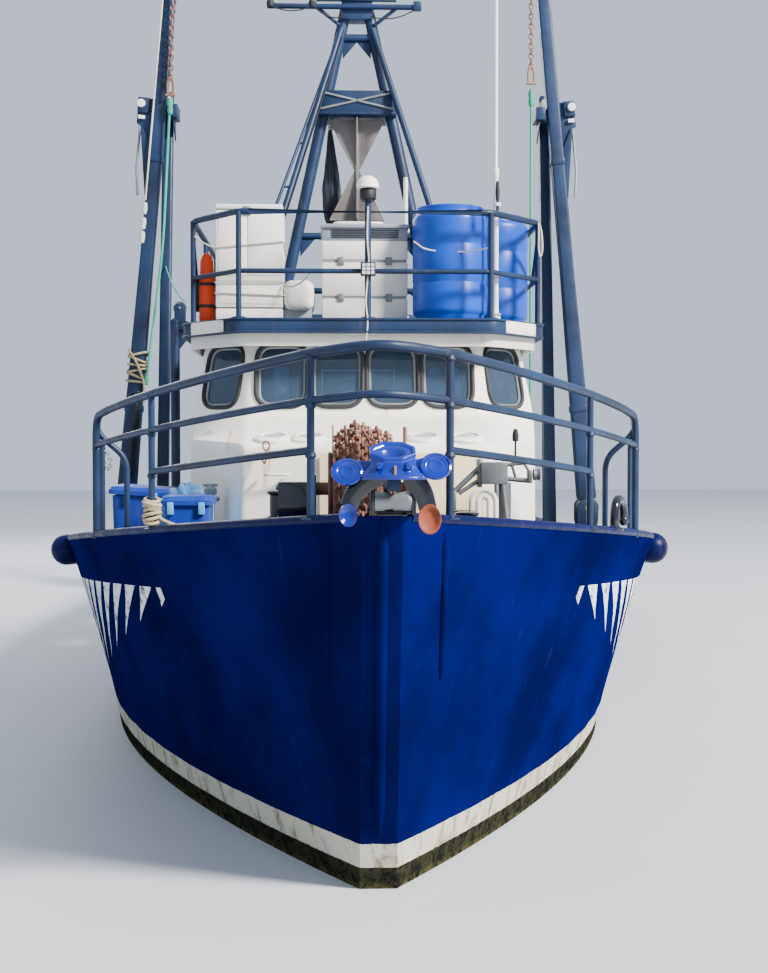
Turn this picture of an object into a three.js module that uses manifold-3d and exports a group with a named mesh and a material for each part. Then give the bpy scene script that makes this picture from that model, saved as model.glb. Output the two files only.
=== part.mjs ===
// Fishing trawler: a steel inshore boat of about 16 m, afloat at its light waterline.
// Millimetres, +Z up. The bow points to -Y and port is +X. The origin is amidships, on the
// centreline, at the waterline.

import * as THREE from 'three';
import { mergeVertices } from 'three/addons/utils/BufferGeometryUtils.js';
import Module from 'manifold-3d';

const wasm = await Module();
wasm.setup();

// Driving dimensions of the hull
const LENGTH = 16000;
const STEM_HEAD_Y = -LENGTH / 2;
const STERN_Y = LENGTH / 2;
const STEM_RAKE = 700;
const STEM_HEAD_Z = 2050;
const FOREFOOT_SWEEP = 900;
const STEM_HALF_WIDTH = 100;
const DECK_HALF_BEAM = 2500;
const WATER_HALF_BEAM = 2260;
const DECK_ENTRANCE = 6000;
const WATER_ENTRANCE = 6600;
const AMIDSHIPS_SHEER = 1400;
const SHEER_RUN = 8500;
const STERN_SPRING = 90;
const STERN_TAPER = 0.12;
const BODY_DEPTH = 1200;
const KEEL_HALF_WIDTH = 70;
const KEEL_BOTTOM = -2000;
const PLATE = 45;

// Decks
const FOREDECK_Z = 1300;
const MAIN_DECK_Z = 750;
const DECK_BREAK_Y = -1650;

// Gap between touching pieces
const GAP = 0.3;

// Deckhouse and roof
const HOUSE_BACK_Y = -1700;
const HOUSE_WALL = 50;
const ROOF_Z = 3220;
const ROOF_THICK = 110;
const ROOF_TOP = ROOF_Z + ROOF_THICK;
const ROOF_HALF = 1385;
const FASCIA_Z = 3128;
const WINDOW_Z = 2922;
const WINDOW_HEIGHT = 464;
const WINDOW_WIDTH = 365;

// Rig
const MAST_Y = -1100;
const MAST_FOOT_X = 1380;
const MAST_HEAD_X = 100;
const MAST_HEAD_Z = 6650;
const COLUMN_Y = -1250;
const BOOM_Y = -1450;
const BOOM_HEEL_X = 2200;
const BOOM_HEEL_Z = 1800;
const BOOM_LENGTH = 6300;
const BOOM_LEAN = THREE.MathUtils.degToRad(5.2);

// Working deck
const WINCH_Y = 800;
const WINCH_AXIS_Z = 1350;
const HATCH_Y = 2800;
const NET_DRUM_Y = 4900;
const NET_DRUM_Z = 1800;
const GANTRY_Y = 7300;
const GANTRY_X = 1950;

// Stern gear
const SHAFT_Z = -1250;
const PROPELLER_Y = 6360;
const PROPELLER_RADIUS = 560;
const RUDDER_Y = 7150;

const PAINT = {
  topsides: new THREE.MeshStandardMaterial({ color: 0x0c2388, roughness: 0.35, metalness: 0.0 }),
  navy: new THREE.MeshStandardMaterial({ color: 0x1d2f52, roughness: 0.45, metalness: 0.0 }),
  white: new THREE.MeshStandardMaterial({ color: 0xf0ebe0, roughness: 0.5, metalness: 0.0 }),
  deck: new THREE.MeshStandardMaterial({ color: 0x5c6e7a, roughness: 0.8, metalness: 0.0 }),
  glass: new THREE.MeshStandardMaterial({ color: 0x2a3644, roughness: 0.08, metalness: 0.0 }),
  brightBlue: new THREE.MeshStandardMaterial({ color: 0x1b6fd0, roughness: 0.4, metalness: 0.0 }),
  anchorBlue: new THREE.MeshStandardMaterial({ color: 0x1f48b4, roughness: 0.25, metalness: 0.0 }),
  orange: new THREE.MeshStandardMaterial({ color: 0xe8501c, roughness: 0.5, metalness: 0.0 }),
  galvanised: new THREE.MeshStandardMaterial({ color: 0x8c9092, roughness: 0.6, metalness: 0.7 }),
  rust: new THREE.MeshStandardMaterial({ color: 0x7a4426, roughness: 0.9, metalness: 0.2 }),
  bronze: new THREE.MeshStandardMaterial({ color: 0xb08a4a, roughness: 0.35, metalness: 0.9 }),
  weathered: new THREE.MeshStandardMaterial({ color: 0x6d6a68, roughness: 0.9, metalness: 0.0 }),
  net: new THREE.MeshStandardMaterial({ color: 0x2f6b4f, roughness: 0.9, metalness: 0.0 }),
  dark: new THREE.MeshStandardMaterial({ color: 0x24272b, roughness: 0.7, metalness: 0.0 }),
  wood: new THREE.MeshStandardMaterial({ color: 0xd9c49a, roughness: 0.8, metalness: 0.0 }),
};

const boat = new THREE.Group();

// Solid helpers

function solidOf(geometry) {
  let plain = geometry.clone();
  plain.deleteAttribute('normal');
  plain.deleteAttribute('uv');
  plain = mergeVertices(plain, 1e-3);
  const points = new Float32Array(plain.getAttribute('position').array);
  const faces = new Uint32Array(plain.getIndex().array);
  if (signedVolume(points, faces) < 0) {
    for (let i = 0; i < faces.length; i += 3) {
      [faces[i + 1], faces[i + 2]] = [faces[i + 2], faces[i + 1]];
    }
  }
  return new wasm.Manifold(new wasm.Mesh({ numProp: 3, vertProperties: points, triVerts: faces }));
}

function signedVolume(points, faces) {
  const [a, b, c] = [new THREE.Vector3(), new THREE.Vector3(), new THREE.Vector3()];
  let sum = 0;
  for (let i = 0; i < faces.length; i += 3) {
    a.fromArray(points, 3 * faces[i]);
    b.fromArray(points, 3 * faces[i + 1]);
    c.fromArray(points, 3 * faces[i + 2]);
    sum += a.dot(b.cross(c)) / 6;
  }
  return sum;
}

function geometryOf(solid) {
  const mesh = solid.getMesh();
  const geometry = new THREE.BufferGeometry();
  const points = new Float32Array(mesh.numVert * 3);
  for (let i = 0; i < mesh.numVert; i++) {
    for (let k = 0; k < 3; k++) points[3 * i + k] = mesh.vertProperties[mesh.numProp * i + k];
  }
  geometry.setAttribute('position', new THREE.BufferAttribute(points, 3));
  geometry.setIndex(new THREE.BufferAttribute(new Uint32Array(mesh.triVerts), 1));
  return geometry;
}

function join(...parts) {
  return parts.flat().reduce((whole, part) => whole.add(part));
}

function cut(whole, ...parts) {
  return parts.flat().reduce((left, part) => left.subtract(part), whole);
}

function piece(name, solid, material) {
  const geometry = geometryOf(solid).toNonIndexed();
  geometry.computeVertexNormals();
  const mesh = new THREE.Mesh(geometry, material.clone());
  mesh.name = name;
  boat.add(mesh);
}

// Primitive solids, placed in the boat's frame

function box(x0, x1, y0, y1, z0, z1) {
  const geometry = new THREE.BoxGeometry(x1 - x0, y1 - y0, z1 - z0);
  geometry.translate((x0 + x1) / 2, (y0 + y1) / 2, (z0 + z1) / 2);
  return solidOf(geometry);
}

function rod(start, end, radius, sides = 8, endRadius = radius) {
  const from = new THREE.Vector3(...start);
  const to = new THREE.Vector3(...end);
  const geometry = new THREE.CylinderGeometry(endRadius, radius, from.distanceTo(to), sides);
  const turn = new THREE.Quaternion().setFromUnitVectors(
    new THREE.Vector3(0, 1, 0), to.clone().sub(from).normalize());
  geometry.applyQuaternion(turn);
  geometry.translate(...from.add(to).multiplyScalar(0.5).toArray());
  return solidOf(geometry);
}

function ball(centre, radius, sides = 8) {
  const geometry = new THREE.SphereGeometry(radius, sides, Math.max(4, sides / 2));
  geometry.translate(...centre);
  return solidOf(geometry);
}

// A bent pipe: its ring is carried along each leg to the plane that halves the next bend
function run(points, radius, sides = 8) {
  const path = points.map((point) => new THREE.Vector3(...point));
  const legs = path.slice(1).map((end, i) => end.clone().sub(path[i]).normalize());
  const turn = new THREE.Quaternion().setFromUnitVectors(new THREE.Vector3(0, 0, 1), legs[0]);
  let ring = Array.from({ length: sides }, (_, k) => {
    const angle = 2 * Math.PI * (k + 0.5) / sides;
    return new THREE.Vector3(radius * Math.cos(angle), radius * Math.sin(angle), 0)
      .applyQuaternion(turn).add(path[0]);
  });
  const rings = [ring];
  path.slice(1).forEach((point, i) => {
    const facing = legs[i].clone().add(legs[Math.min(i + 1, legs.length - 1)]).normalize();
    ring = ring.map((v) => v.clone().addScaledVector(
      legs[i], point.clone().sub(v).dot(facing) / legs[i].dot(facing)));
    rings.push(ring);
  });
  return skin(rings.map((each) => each.map((v) => v.toArray())));
}

// A flat plate: an outline in two coordinates, carried along the third axis
function plate(outline, axis, low, high) {
  const shape = new THREE.Shape(outline.map(([u, v]) => new THREE.Vector2(u, v)));
  const geometry = new THREE.ExtrudeGeometry(shape, {
    depth: high - low, bevelEnabled: false, curveSegments: 6 });
  geometry.translate(0, 0, low);
  const [x, y, z] = [new THREE.Vector3(1, 0, 0), new THREE.Vector3(0, 1, 0), new THREE.Vector3(0, 0, 1)];
  const bases = { x: [y, z, x], y: [x, z, y], z: [x, y, z] };
  geometry.applyMatrix4(new THREE.Matrix4().makeBasis(...bases[axis]));
  return solidOf(geometry);
}

// A round body: radii and heights turned about the vertical, then laid along an axis
function turned(profile, centre, axis = 'z', sides = 16) {
  const geometry = new THREE.LatheGeometry(profile.map(([r, h]) => new THREE.Vector2(r, h)), sides);
  if (axis === 'z') geometry.rotateX(Math.PI / 2);
  if (axis === 'x') geometry.rotateZ(-Math.PI / 2);
  geometry.translate(...centre);
  return solidOf(geometry);
}

// A closed skin through rings of equal length, its two ends closed across matching pairs
function skin(rings) {
  const count = rings[0].length;
  const faces = [];
  for (let i = 0; i < rings.length - 1; i++) {
    for (let k = 0; k < count; k++) {
      const [a, b] = [i * count + k, i * count + (k + 1) % count];
      faces.push(a, b, b + count, a, b + count, a + count);
    }
  }
  for (const [first, flip] of [[0, true], [(rings.length - 1) * count, false]]) {
    for (let k = 0; k < count / 2 - 1; k++) {
      const [a, b, c, d] = [first + k, first + k + 1, first + count - 2 - k, first + count - 1 - k];
      const pair = [[a, b, c], [a, c, d]].filter((t) => new Set(t).size === 3);
      for (const t of pair) faces.push(...(flip ? t.reverse() : t));
    }
  }
  const geometry = new THREE.BufferGeometry();
  geometry.setAttribute('position', new THREE.Float32BufferAttribute(rings.flat(2), 3));
  geometry.setIndex(faces);
  return solidOf(geometry);
}

const mirrored = (side, low, high) => (side > 0 ? [low, high] : [-high, -low]);

// Hull form. t runs from the stem, 0, to the transom, 1, along each level.

function stemY(z) {
  if (z >= 0) return STEM_HEAD_Y + STEM_RAKE * (1 - z / STEM_HEAD_Z);
  return STEM_HEAD_Y + STEM_RAKE + FOREFOOT_SWEEP * (z / BODY_DEPTH) ** 2;
}

function sheerZ(t) {
  const forward = Math.max(0, 1 - t * LENGTH / SHEER_RUN) ** 1.3;
  const aft = Math.max(0, (t - 0.7) / 0.3) ** 2;
  return AMIDSHIPS_SHEER + (STEM_HEAD_Z - AMIDSHIPS_SHEER) * forward + STERN_SPRING * aft;
}

function bodyBottom(t) {
  const rise = Math.max(0, (t - 0.55) / 0.45) ** 1.6;
  const forefoot = Math.max(0, 1 - t / 0.25) ** 2;
  return -BODY_DEPTH + 1000 * rise + 250 * forefoot;
}

function halfBreadth(t, z) {
  const aft = 1 - STERN_TAPER * Math.max(0, (t - 0.6) / 0.4) ** 2;
  const distance = t * (STERN_Y - stemY(z));
  const entry = (length, power) => 1 - Math.max(0, 1 - distance / length) ** power;
  const water = STEM_HALF_WIDTH + (WATER_HALF_BEAM * aft - STEM_HALF_WIDTH) * entry(WATER_ENTRANCE, 2);
  if (z <= 0) {
    const height = Math.max(0, 1 - z / bodyBottom(t));
    const fullness = 0.36 + 0.55 * Math.max(0, 1 - t / 0.4) + 0.25 * Math.max(0, (t - 0.6) / 0.4);
    return KEEL_HALF_WIDTH + (water - KEEL_HALF_WIDTH) * height ** fullness;
  }
  const deck = STEM_HALF_WIDTH + (DECK_HALF_BEAM * aft - STEM_HALF_WIDTH) * entry(DECK_ENTRANCE, 2.2);
  return water + (deck - water) * (z / sheerZ(t)) ** 1.25;
}

function hullPoint(t, z, inset = 0) {
  return [Math.max(20, halfBreadth(t, z) - inset), stemY(z) + t * (STERN_Y - stemY(z)), z];
}

const STATIONS = [0, 0.015, 0.04, 0.075, 0.12, 0.17, 0.23, 0.3, 0.38, 0.5, 0.62, 0.72, 0.81, 0.88, 0.94, 1];
const UNDERWATER = [0, 0.06, 0.2, 0.5, 1];
const TOPSIDES = [0.25, 0.6, 1];

function hullRing(t, levels, inset) {
  const side = levels.map((z) => hullPoint(t, z, inset));
  const across = side.map(([x, y, z]) => [-x, y, z]).reverse();
  return [...across, ...side];
}

function wholeHull() {
  const rings = STATIONS.map((t) => {
    const under = UNDERWATER.map((r) => bodyBottom(t) * (1 - r));
    const above = TOPSIDES.map((r) => sheerZ(t) * r);
    return hullRing(t, [...under, ...above], 0);
  });
  return skin(rings);
}

function insideOfBulwark() {
  const first = 0.018;
  const last = 1 - PLATE / LENGTH;
  const places = [first, ...STATIONS.filter((t) => t > 0.03 && t < 1), last];
  const rings = places.map((t) => hullRing(t, [MAIN_DECK_Z - 200, 1100, sheerZ(t) + 50], PLATE));
  return skin(rings);
}

// Half-round bars welded to the stem plating
function stemBars() {
  const rows = [
    { x: 0, radius: 32, low: 330, high: 2040 },
    { x: -270, radius: 24, low: 1150, high: 1990 },
    { x: 330, radius: 24, low: 1150, high: 1960 },
  ];
  return rows.map(({ x, radius, low, high }) => {
    const at = (z) => {
      let t = 0;
      while (halfBreadth(t, z) < Math.abs(x)) t += 0.0005;
      return [x, stemY(z) + t * (STERN_Y - stemY(z)), z];
    };
    return rod(at(low), at(high), radius, 8);
  });
}

function keelAndSkeg() {
  const outline = [
    [-6100, -500], [-6350, -900], [-5900, -1450], [-4600, -1800], [-1000, KEEL_BOTTOM],
    [7550, KEEL_BOTTOM], [7550, -1880], [6250, -1880], [6050, -1700], [5950, -1400],
    [5950, -1100], [6100, -700], [6100, -350], [5000, -300], [0, -600],
  ];
  const keel = plate(outline, 'x', -KEEL_HALF_WIDTH, KEEL_HALF_WIDTH);
  const boss = rod([0, 5200, SHAFT_Z], [0, 6130, SHAFT_Z], 130, 12);
  const rudderPort = rod([0, RUDDER_Y, -430], [0, RUDDER_Y, 0], 120, 12);
  return join(keel, boss, rudderPort);
}

const FAR = 20000;
const aboveForedeck = box(-FAR, FAR, -FAR, DECK_BREAK_Y, FOREDECK_Z, FAR);
const aboveMainDeck = box(-FAR, FAR, DECK_BREAK_Y, FAR, MAIN_DECK_Z, FAR);
const HOLD = { halfX: 480, halfY: 430, floor: -300 };

// The hull to its decks, the bars and the keel on it, and the fish hold's well
function buildHull(whole) {
  const decked = cut(whole, aboveForedeck, aboveMainDeck);
  const well = box(-HOLD.halfX, HOLD.halfX, HATCH_Y - HOLD.halfY, HATCH_Y + HOLD.halfY,
    HOLD.floor, MAIN_DECK_Z + 10);
  const step = box(-400, 400, DECK_BREAK_Y - 20, DECK_BREAK_Y + 300, MAIN_DECK_Z - 20, 1025);
  piece('hull', join(cut(decked, well), step), PAINT.topsides);
}

function beltingPipe(side) {
  const places = [0.285, 0.32, 0.38, 0.5, 0.62, 0.72, 0.81, 0.88, 0.94, 0.985];
  const points = places.map((t) => {
    const z = sheerZ(t) - 90;
    const [x, y] = hullPoint(t, z);
    return [side * (x + 40), y, z];
  });
  return join(run(points, 128, 10), ball(points[0], 129, 8));
}

// Bulwark plating on the deck edge, with its belting pipe and freeing ports
function buildBulwarks(whole) {
  const shell = cut(whole, insideOfBulwark());
  const clearOfDeck = join(
    box(-FAR, FAR, -FAR, FAR, FOREDECK_Z + GAP, FAR),
    box(-FAR, FAR, DECK_BREAK_Y + GAP, FAR, MAIN_DECK_Z + GAP, FAR));
  const belting = join(beltingPipe(1), beltingPipe(-1));
  const ports = [-400, 1500, 3400, 5300].map((y) => box(-FAR, FAR, y - 250, y + 250, 800, 960));
  const all = cut(join(shell, belting).intersect(clearOfDeck), ports);
  const sternLine = STERN_Y - 100;
  piece('bulwark_port', all.intersect(box(GAP / 2, FAR, -FAR, sternLine, 0, FAR)), PAINT.topsides);
  piece('bulwark_starboard', all.intersect(box(-FAR, -GAP / 2, -FAR, sternLine, 0, FAR)), PAINT.topsides);
  piece('bulwark_stern', all.intersect(box(-FAR, FAR, sternLine + GAP, FAR, 0, FAR)), PAINT.topsides);
  return all;
}

// Deckhouse: a low trunk forward, a sloping shelf, then the wheelhouse walls leaning in
const HOUSE_LEVELS = [
  { z: FOREDECK_Z + GAP, front: -5300, halfFront: 900, shoulder: -3930, halfSide: 1345 },
  { z: 2400, front: -5300, halfFront: 860, shoulder: -3930, halfSide: 1340 },
  { z: 2620, front: -4370, halfFront: 875, shoulder: -3930, halfSide: 1330 },
  { z: ROOF_Z - GAP, front: -4250, halfFront: 850, shoulder: -3810, halfSide: 1225 },
];

function houseRing(level, inset, rise = 0) {
  const { front, halfFront, shoulder, halfSide } = level;
  const z = level.z + rise;
  const corner = front + 60;
  const port = [
    [halfFront - inset * 0.6, corner + inset, z],
    [halfSide - inset, shoulder + inset * 0.4, z],
    [halfSide - inset, HOUSE_BACK_Y - inset, z],
  ];
  const starboard = port.map(([x, y, w]) => [-x, y, w]).reverse();
  return [[0, front + inset, z], ...port, [0, HOUSE_BACK_Y - inset, z], ...starboard];
}

function houseBody(inset, drop = 0, overrun = 0) {
  const rings = HOUSE_LEVELS.map((level, i, all) => {
    let rise = -drop;
    if (i === 0) rise = -overrun;
    if (i === all.length - 1) rise = overrun;
    return houseRing(level, inset, rise);
  });
  return skin(rings);
}

function windowCutter(centre, angle, width = WINDOW_WIDTH, reach = 160) {
  const [w, h, r] = [width / 2, WINDOW_HEIGHT / 2, 75];
  const shape = new THREE.Shape();
  shape.moveTo(-w + r, -h);
  shape.lineTo(w - r, -h);
  shape.absarc(w - r, -h + r, r, -Math.PI / 2, 0);
  shape.lineTo(w, h - r);
  shape.absarc(w - r, h - r, r, 0, Math.PI / 2);
  shape.lineTo(-w + r, h);
  shape.absarc(-w + r, h - r, r, Math.PI / 2, Math.PI);
  shape.lineTo(-w, -h + r);
  shape.absarc(-w + r, -h + r, r, Math.PI, 1.5 * Math.PI);
  const geometry = new THREE.ExtrudeGeometry(shape, {
    depth: 2 * reach, bevelEnabled: false, curveSegments: 2 });
  geometry.translate(0, 0, -reach);
  geometry.rotateX(Math.PI / 2);
  geometry.rotateZ(angle);
  geometry.translate(...centre);
  return solidOf(geometry);
}

const DOOR = { halfWidth: 330, sill: FOREDECK_Z + 90, head: 3090, thick: 45, hinges: [1600, 2850] };
const WINDOWS = [
  { x: -620, y: -4300, turn: 0 }, { x: -208, y: -4320, turn: 0 },
  { x: 208, y: -4320, turn: 0 }, { x: 620, y: -4300, turn: 0 },
  { x: 1070, y: -4080, turn: 45 }, { x: -1070, y: -4080, turn: -45 },
  { x: 1260, y: -3250, turn: 90 }, { x: 1260, y: -2450, turn: 90 },
  { x: -1260, y: -3250, turn: 90 }, { x: -1260, y: -2450, turn: 90 },
  { x: 800, y: HOUSE_BACK_Y, turn: 0 }, { x: -800, y: HOUSE_BACK_Y, turn: 0 },
];

function buildDeckhouse() {
  const inside = houseBody(HOUSE_WALL, HOUSE_WALL, 20);
  const openings = WINDOWS.map(({ x, y, turn }) =>
    windowCutter([x, y, WINDOW_Z], THREE.MathUtils.degToRad(turn)));
  const doorway = box(-DOOR.halfWidth - 6, DOOR.halfWidth + 6, HOUSE_BACK_Y - 100, HOUSE_BACK_Y + 100,
    DOOR.sill - 6, DOOR.head + 6);
  const lugs = DOOR.hinges.flatMap((z) => [z - 75.5, z + 75.5]).map((z) =>
    box(DOOR.halfWidth + 6, DOOR.halfWidth + 28, HOUSE_BACK_Y - 10, HOUSE_BACK_Y + 30, z - 15, z + 15));
  piece('deckhouse_walls', join(cut(houseBody(0), inside, openings, doorway), lugs), PAINT.white);

  const pane = cut(houseBody(HOUSE_WALL + 0.6, HOUSE_WALL, 20), houseBody(HOUSE_WALL + 10, HOUSE_WALL, 30));
  const band = pane.intersect(box(-FAR, FAR, -FAR, FAR, 2640, 3190));
  const clearOfDoor = box(-DOOR.halfWidth - 60, DOOR.halfWidth + 60, HOUSE_BACK_Y - 200, FAR, 0, FAR);
  piece('window_glass', cut(band, clearOfDoor), PAINT.glass);

  const edge = HOUSE_BACK_Y;
  const leaf = box(-DOOR.halfWidth, DOOR.halfWidth, edge - DOOR.thick, edge, DOOR.sill, DOOR.head);
  const light = windowCutter([0, edge, 2720], 0, 340);
  const handle = box(-DOOR.halfWidth + 50, -DOOR.halfWidth + 75, edge - 5, edge + 50, 2200, 2340);
  const hinges = DOOR.hinges.map((z) =>
    rod([DOOR.halfWidth + 12, edge + 16, z - 60], [DOOR.halfWidth + 12, edge + 16, z + 60], 14, 8));
  const straps = DOOR.hinges.map((z) => join(
    box(DOOR.halfWidth - 60, DOOR.halfWidth - 5, edge - 5, edge + 12, z - 40, z + 40),
    box(DOOR.halfWidth - 20, DOOR.halfWidth + 12, edge + 5, edge + 12, z - 40, z + 40)));
  piece('wheelhouse_door', cut(join(leaf, handle, straps, hinges), light), PAINT.white);
}

function roofOutline(margin) {
  const half = ROOF_HALF - margin;
  const front = -4520 + margin;
  const right = [[960 - margin * 0.5, front], [half, -4000], [half, -1580 - margin]];
  return [...right, ...right.map(([x, y]) => [-x, y]).reverse()];
}

function buildRoof() {
  const lip = cut(plate(roofOutline(55), 'z', FASCIA_Z, ROOF_Z + 20),
    plate(roofOutline(85), 'z', FASCIA_Z - 20, ROOF_Z));
  piece('wheelhouse_roof', join(plate(roofOutline(0), 'z', ROOF_Z, ROOF_TOP), lip), PAINT.navy);
  for (const [name, side] of [['number_plate_port', 1], ['number_plate_starboard', -1]]) {
    const facet = new THREE.Vector2(ROOF_HALF - 960, 520);
    const turn = Math.atan2(facet.y, facet.x) * side;
    const geometry = new THREE.BoxGeometry(420, 12, 96);
    geometry.rotateZ(turn);
    const [nx, ny] = [Math.sin(Math.abs(turn)) * side, -Math.cos(turn)];
    const lift = 6 + GAP;
    geometry.translate(side * (960 + ROOF_HALF) / 2 + nx * lift, -4260 + ny * lift, ROOF_Z + 56);
    piece(name, solidOf(geometry), PAINT.white);
  }
}

// Inside the wheelhouse
const HELM = { x: 250, y: -4020, z: 2460, tilt: 0.35 };

function buildHelm() {
  const desk = plate([[-5100, 1400], [-3800, 1400], [-3760, 2250], [-4000, 2430], [-4250, 2330],
    [-4290, 2150], [-5100, 2150]], 'x', -800, 800);
  const legs = box(-700, 700, -4900, -3850, FOREDECK_Z + GAP, 1450);
  piece('helm_console', join(desk, legs), PAINT.white);

  const spokes = [0, 1, 2, 3].map((i) => {
    const a = i * Math.PI / 2 + Math.PI / 4;
    return rod([0, 0, 0], [185 * Math.cos(a), 0, 185 * Math.sin(a)], 11, 6);
  });
  const rim = turned([[175, -12], [199, -12], [199, 12], [175, 12], [175, -12]], [0, 0, 0], 'y', 16);
  const hub = rod([0, -66, 0], [0, 20, 0], 34, 10);
  piece('helm_wheel', join(hub, rim, spokes).translate([250, -3700, 2080]), PAINT.dark);

  const seat = box(0, 480, -3200, -2740, 1950, 2060);
  const back = box(0, 480, -2780, -2690, 2000, 2600);
  const stalk = rod([240, -2960, FOREDECK_Z + 40], [240, -2960, 2000], 50, 10);
  const foot = rod([240, -2960, FOREDECK_Z + GAP], [240, -2960, FOREDECK_Z + 45], 210, 12);
  piece('helm_seat', join(seat, back, stalk, foot), PAINT.dark);
}

// Guard rail on the bow bulwark
const RAIL_INSET = 25;

function railFoot(side, distance) {
  const t = distance / LENGTH;
  const z = sheerZ(t);
  const [x, y] = hullPoint(t, z, RAIL_INSET);
  return [side * x, y, z];
}

function raised([x, y, z], height, inward = 0) {
  return [x - Math.sign(x) * inward, y, z + height];
}

function buildBowRail(bulwark) {
  const POSTS = [330, 1750, 2780];
  const WAY = [330, 800, 1270, 1750, 2280, 2780];
  const RAILS = [{ height: 900, centre: true, radius: 27 }, { height: 600, centre: true, radius: 21 },
    { height: 310, centre: false, radius: 21 }];
  const parts = [];
  for (const { height, centre, radius } of RAILS) {
    const sides = [1, -1].map((side) => WAY.map((d) => raised(railFoot(side, d), height)));
    if (centre) {
      const nose = [0, -7930, STEM_HEAD_Z + height];
      parts.push(run([...sides[1].reverse(), nose, ...sides[0]], radius, 6));
    } else {
      parts.push(run(sides[0], radius, 6), run(sides[1], radius, 6));
    }
  }
  for (const side of [1, -1]) {
    for (const distance of POSTS) {
      const foot = railFoot(side, distance);
      parts.push(rod(raised(foot, -10), raised(foot, 900), 20, 6));
    }
    parts.push(ball(raised(railFoot(side, 2780), 900), 28, 6));
  }
  piece('bow_rail', setOn(join(parts), bulwark), PAINT.navy);
}

// What stands on the bulwark: cut clear of it all round, without the chips outside the plating
function setOn(solid, bulwark) {
  const shifts = [[0, 0, GAP], [GAP, 0, 0], [-GAP, 0, 0], [0, GAP, 0], [0, -GAP, 0]];
  const bodies = cut(solid, shifts.map((shift) => bulwark.translate(shift))).decompose();
  return bodies.sort((a, b) => b.volume() - a.volume())[0];
}

// Guard rail round the roof
function buildUpperRail() {
  const side = (s, x) => [[s * 930, -4440], [x, -3950], [x, -2850], [x, -1750]];
  const way = [...side(-1, -1310).reverse(), ...side(1, 1350)];
  const parts = [];
  for (const [z, radius] of [[4115, 24], [3680, 20]]) {
    parts.push(run(way.map(([x, y]) => [x, y, z]), radius, 6));
  }
  for (const [x, y] of way) parts.push(rod([x, y, ROOF_TOP + GAP], [x, y, 4125], 23, 6));
  parts.push(rod([20, -4440, ROOF_TOP + GAP], [20, -4440, 4190], 24, 8));
  for (const x of [1350, -1310]) parts.push(rod([x, -3950, 4010], [x, -3650, 3680], 16, 6));
  parts.push(rod([930, -4440, 4110], [985, -4380, 4130], 12, 6));
  parts.push(rod([985, -4380, 4090], [985, -4380, 4365], 14, 8));
  piece('upper_rail', join(parts), PAINT.navy);
}

function roofBox(name, x0, x1, y0, y1, height, material, ...extras) {
  piece(name, join(box(x0, x1, y0, y1, ROOF_TOP + GAP, ROOF_TOP + height), extras), material);
}

function waterDrum(name, x, y) {
  const profile = [[0, 0], [264, 0], [285, 60], [285, 820], [258, 880], [0, 880]];
  piece(name, turned(profile, [x, y, ROOF_TOP + GAP], 'z', 18), PAINT.brightBlue);
}

function buildRoofGear() {
  roofBox('deck_locker', -1130, -620, -4050, -3480, 905, PAINT.white);
  const cap = box(-332, 352, -3980, -3380, 4070, 4100);
  const scanner = box(-230, 150, -3850, -3560, 4090, 4140);
  const aerial = rod([345, -3560, 4090], [345, -3560, 4540], 18, 8);
  roofBox('roof_cabinet', -320, 340, -3960, -3400, 745, PAINT.white, cap, scanner, aerial);
  waterDrum('water_drum_1', 660, -4020);
  waterDrum('water_drum_2', 1035, -3585);

  const canister = rod([-497, -4050, 3550], [-497, -3500, 3550], 114, 14);
  const chocks = [-3930, -3620].map((y) => box(-600, -400, y - 25, y + 25, ROOF_TOP + GAP, 3520));
  const rail = box(-560, -440, -3940, -3610, ROOF_TOP + GAP, ROOF_TOP + 30);
  piece('life_raft', join(canister, chocks, rail), PAINT.white);

  const can = turned([[0, 0], [45, 10], [62, 60], [62, 400], [50, 500], [25, 550], [0, 556]],
    [-1212, -3880, ROOF_TOP + GAP], 'z', 12);
  piece('rescue_buoy', can, PAINT.orange);

  const body = rod([20, -4440, 4190 + GAP], [20, -4440, 4290], 62, 12);
  const dome = turned([[0, 4285], [84, 4285], [78, 4330], [45, 4372], [0, 4380]], [20, -4440, 0], 'z', 14);
  piece('camera_dome', join(body, dome), PAINT.white);
  piece('floodlight', box(-35, 75, -4519, -4464 - GAP, 3640, 3740), PAINT.white);

  const whip = rod([990, -4240, ROOF_TOP + GAP], [990, -4240, 6500], 20, 8, 10);
  const foot = rod([990, -4240, ROOF_TOP + GAP], [990, -4240, ROOF_TOP + 60], 35, 8);
  piece('whip_aerial', join(whip, foot), PAINT.white);
}

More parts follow.
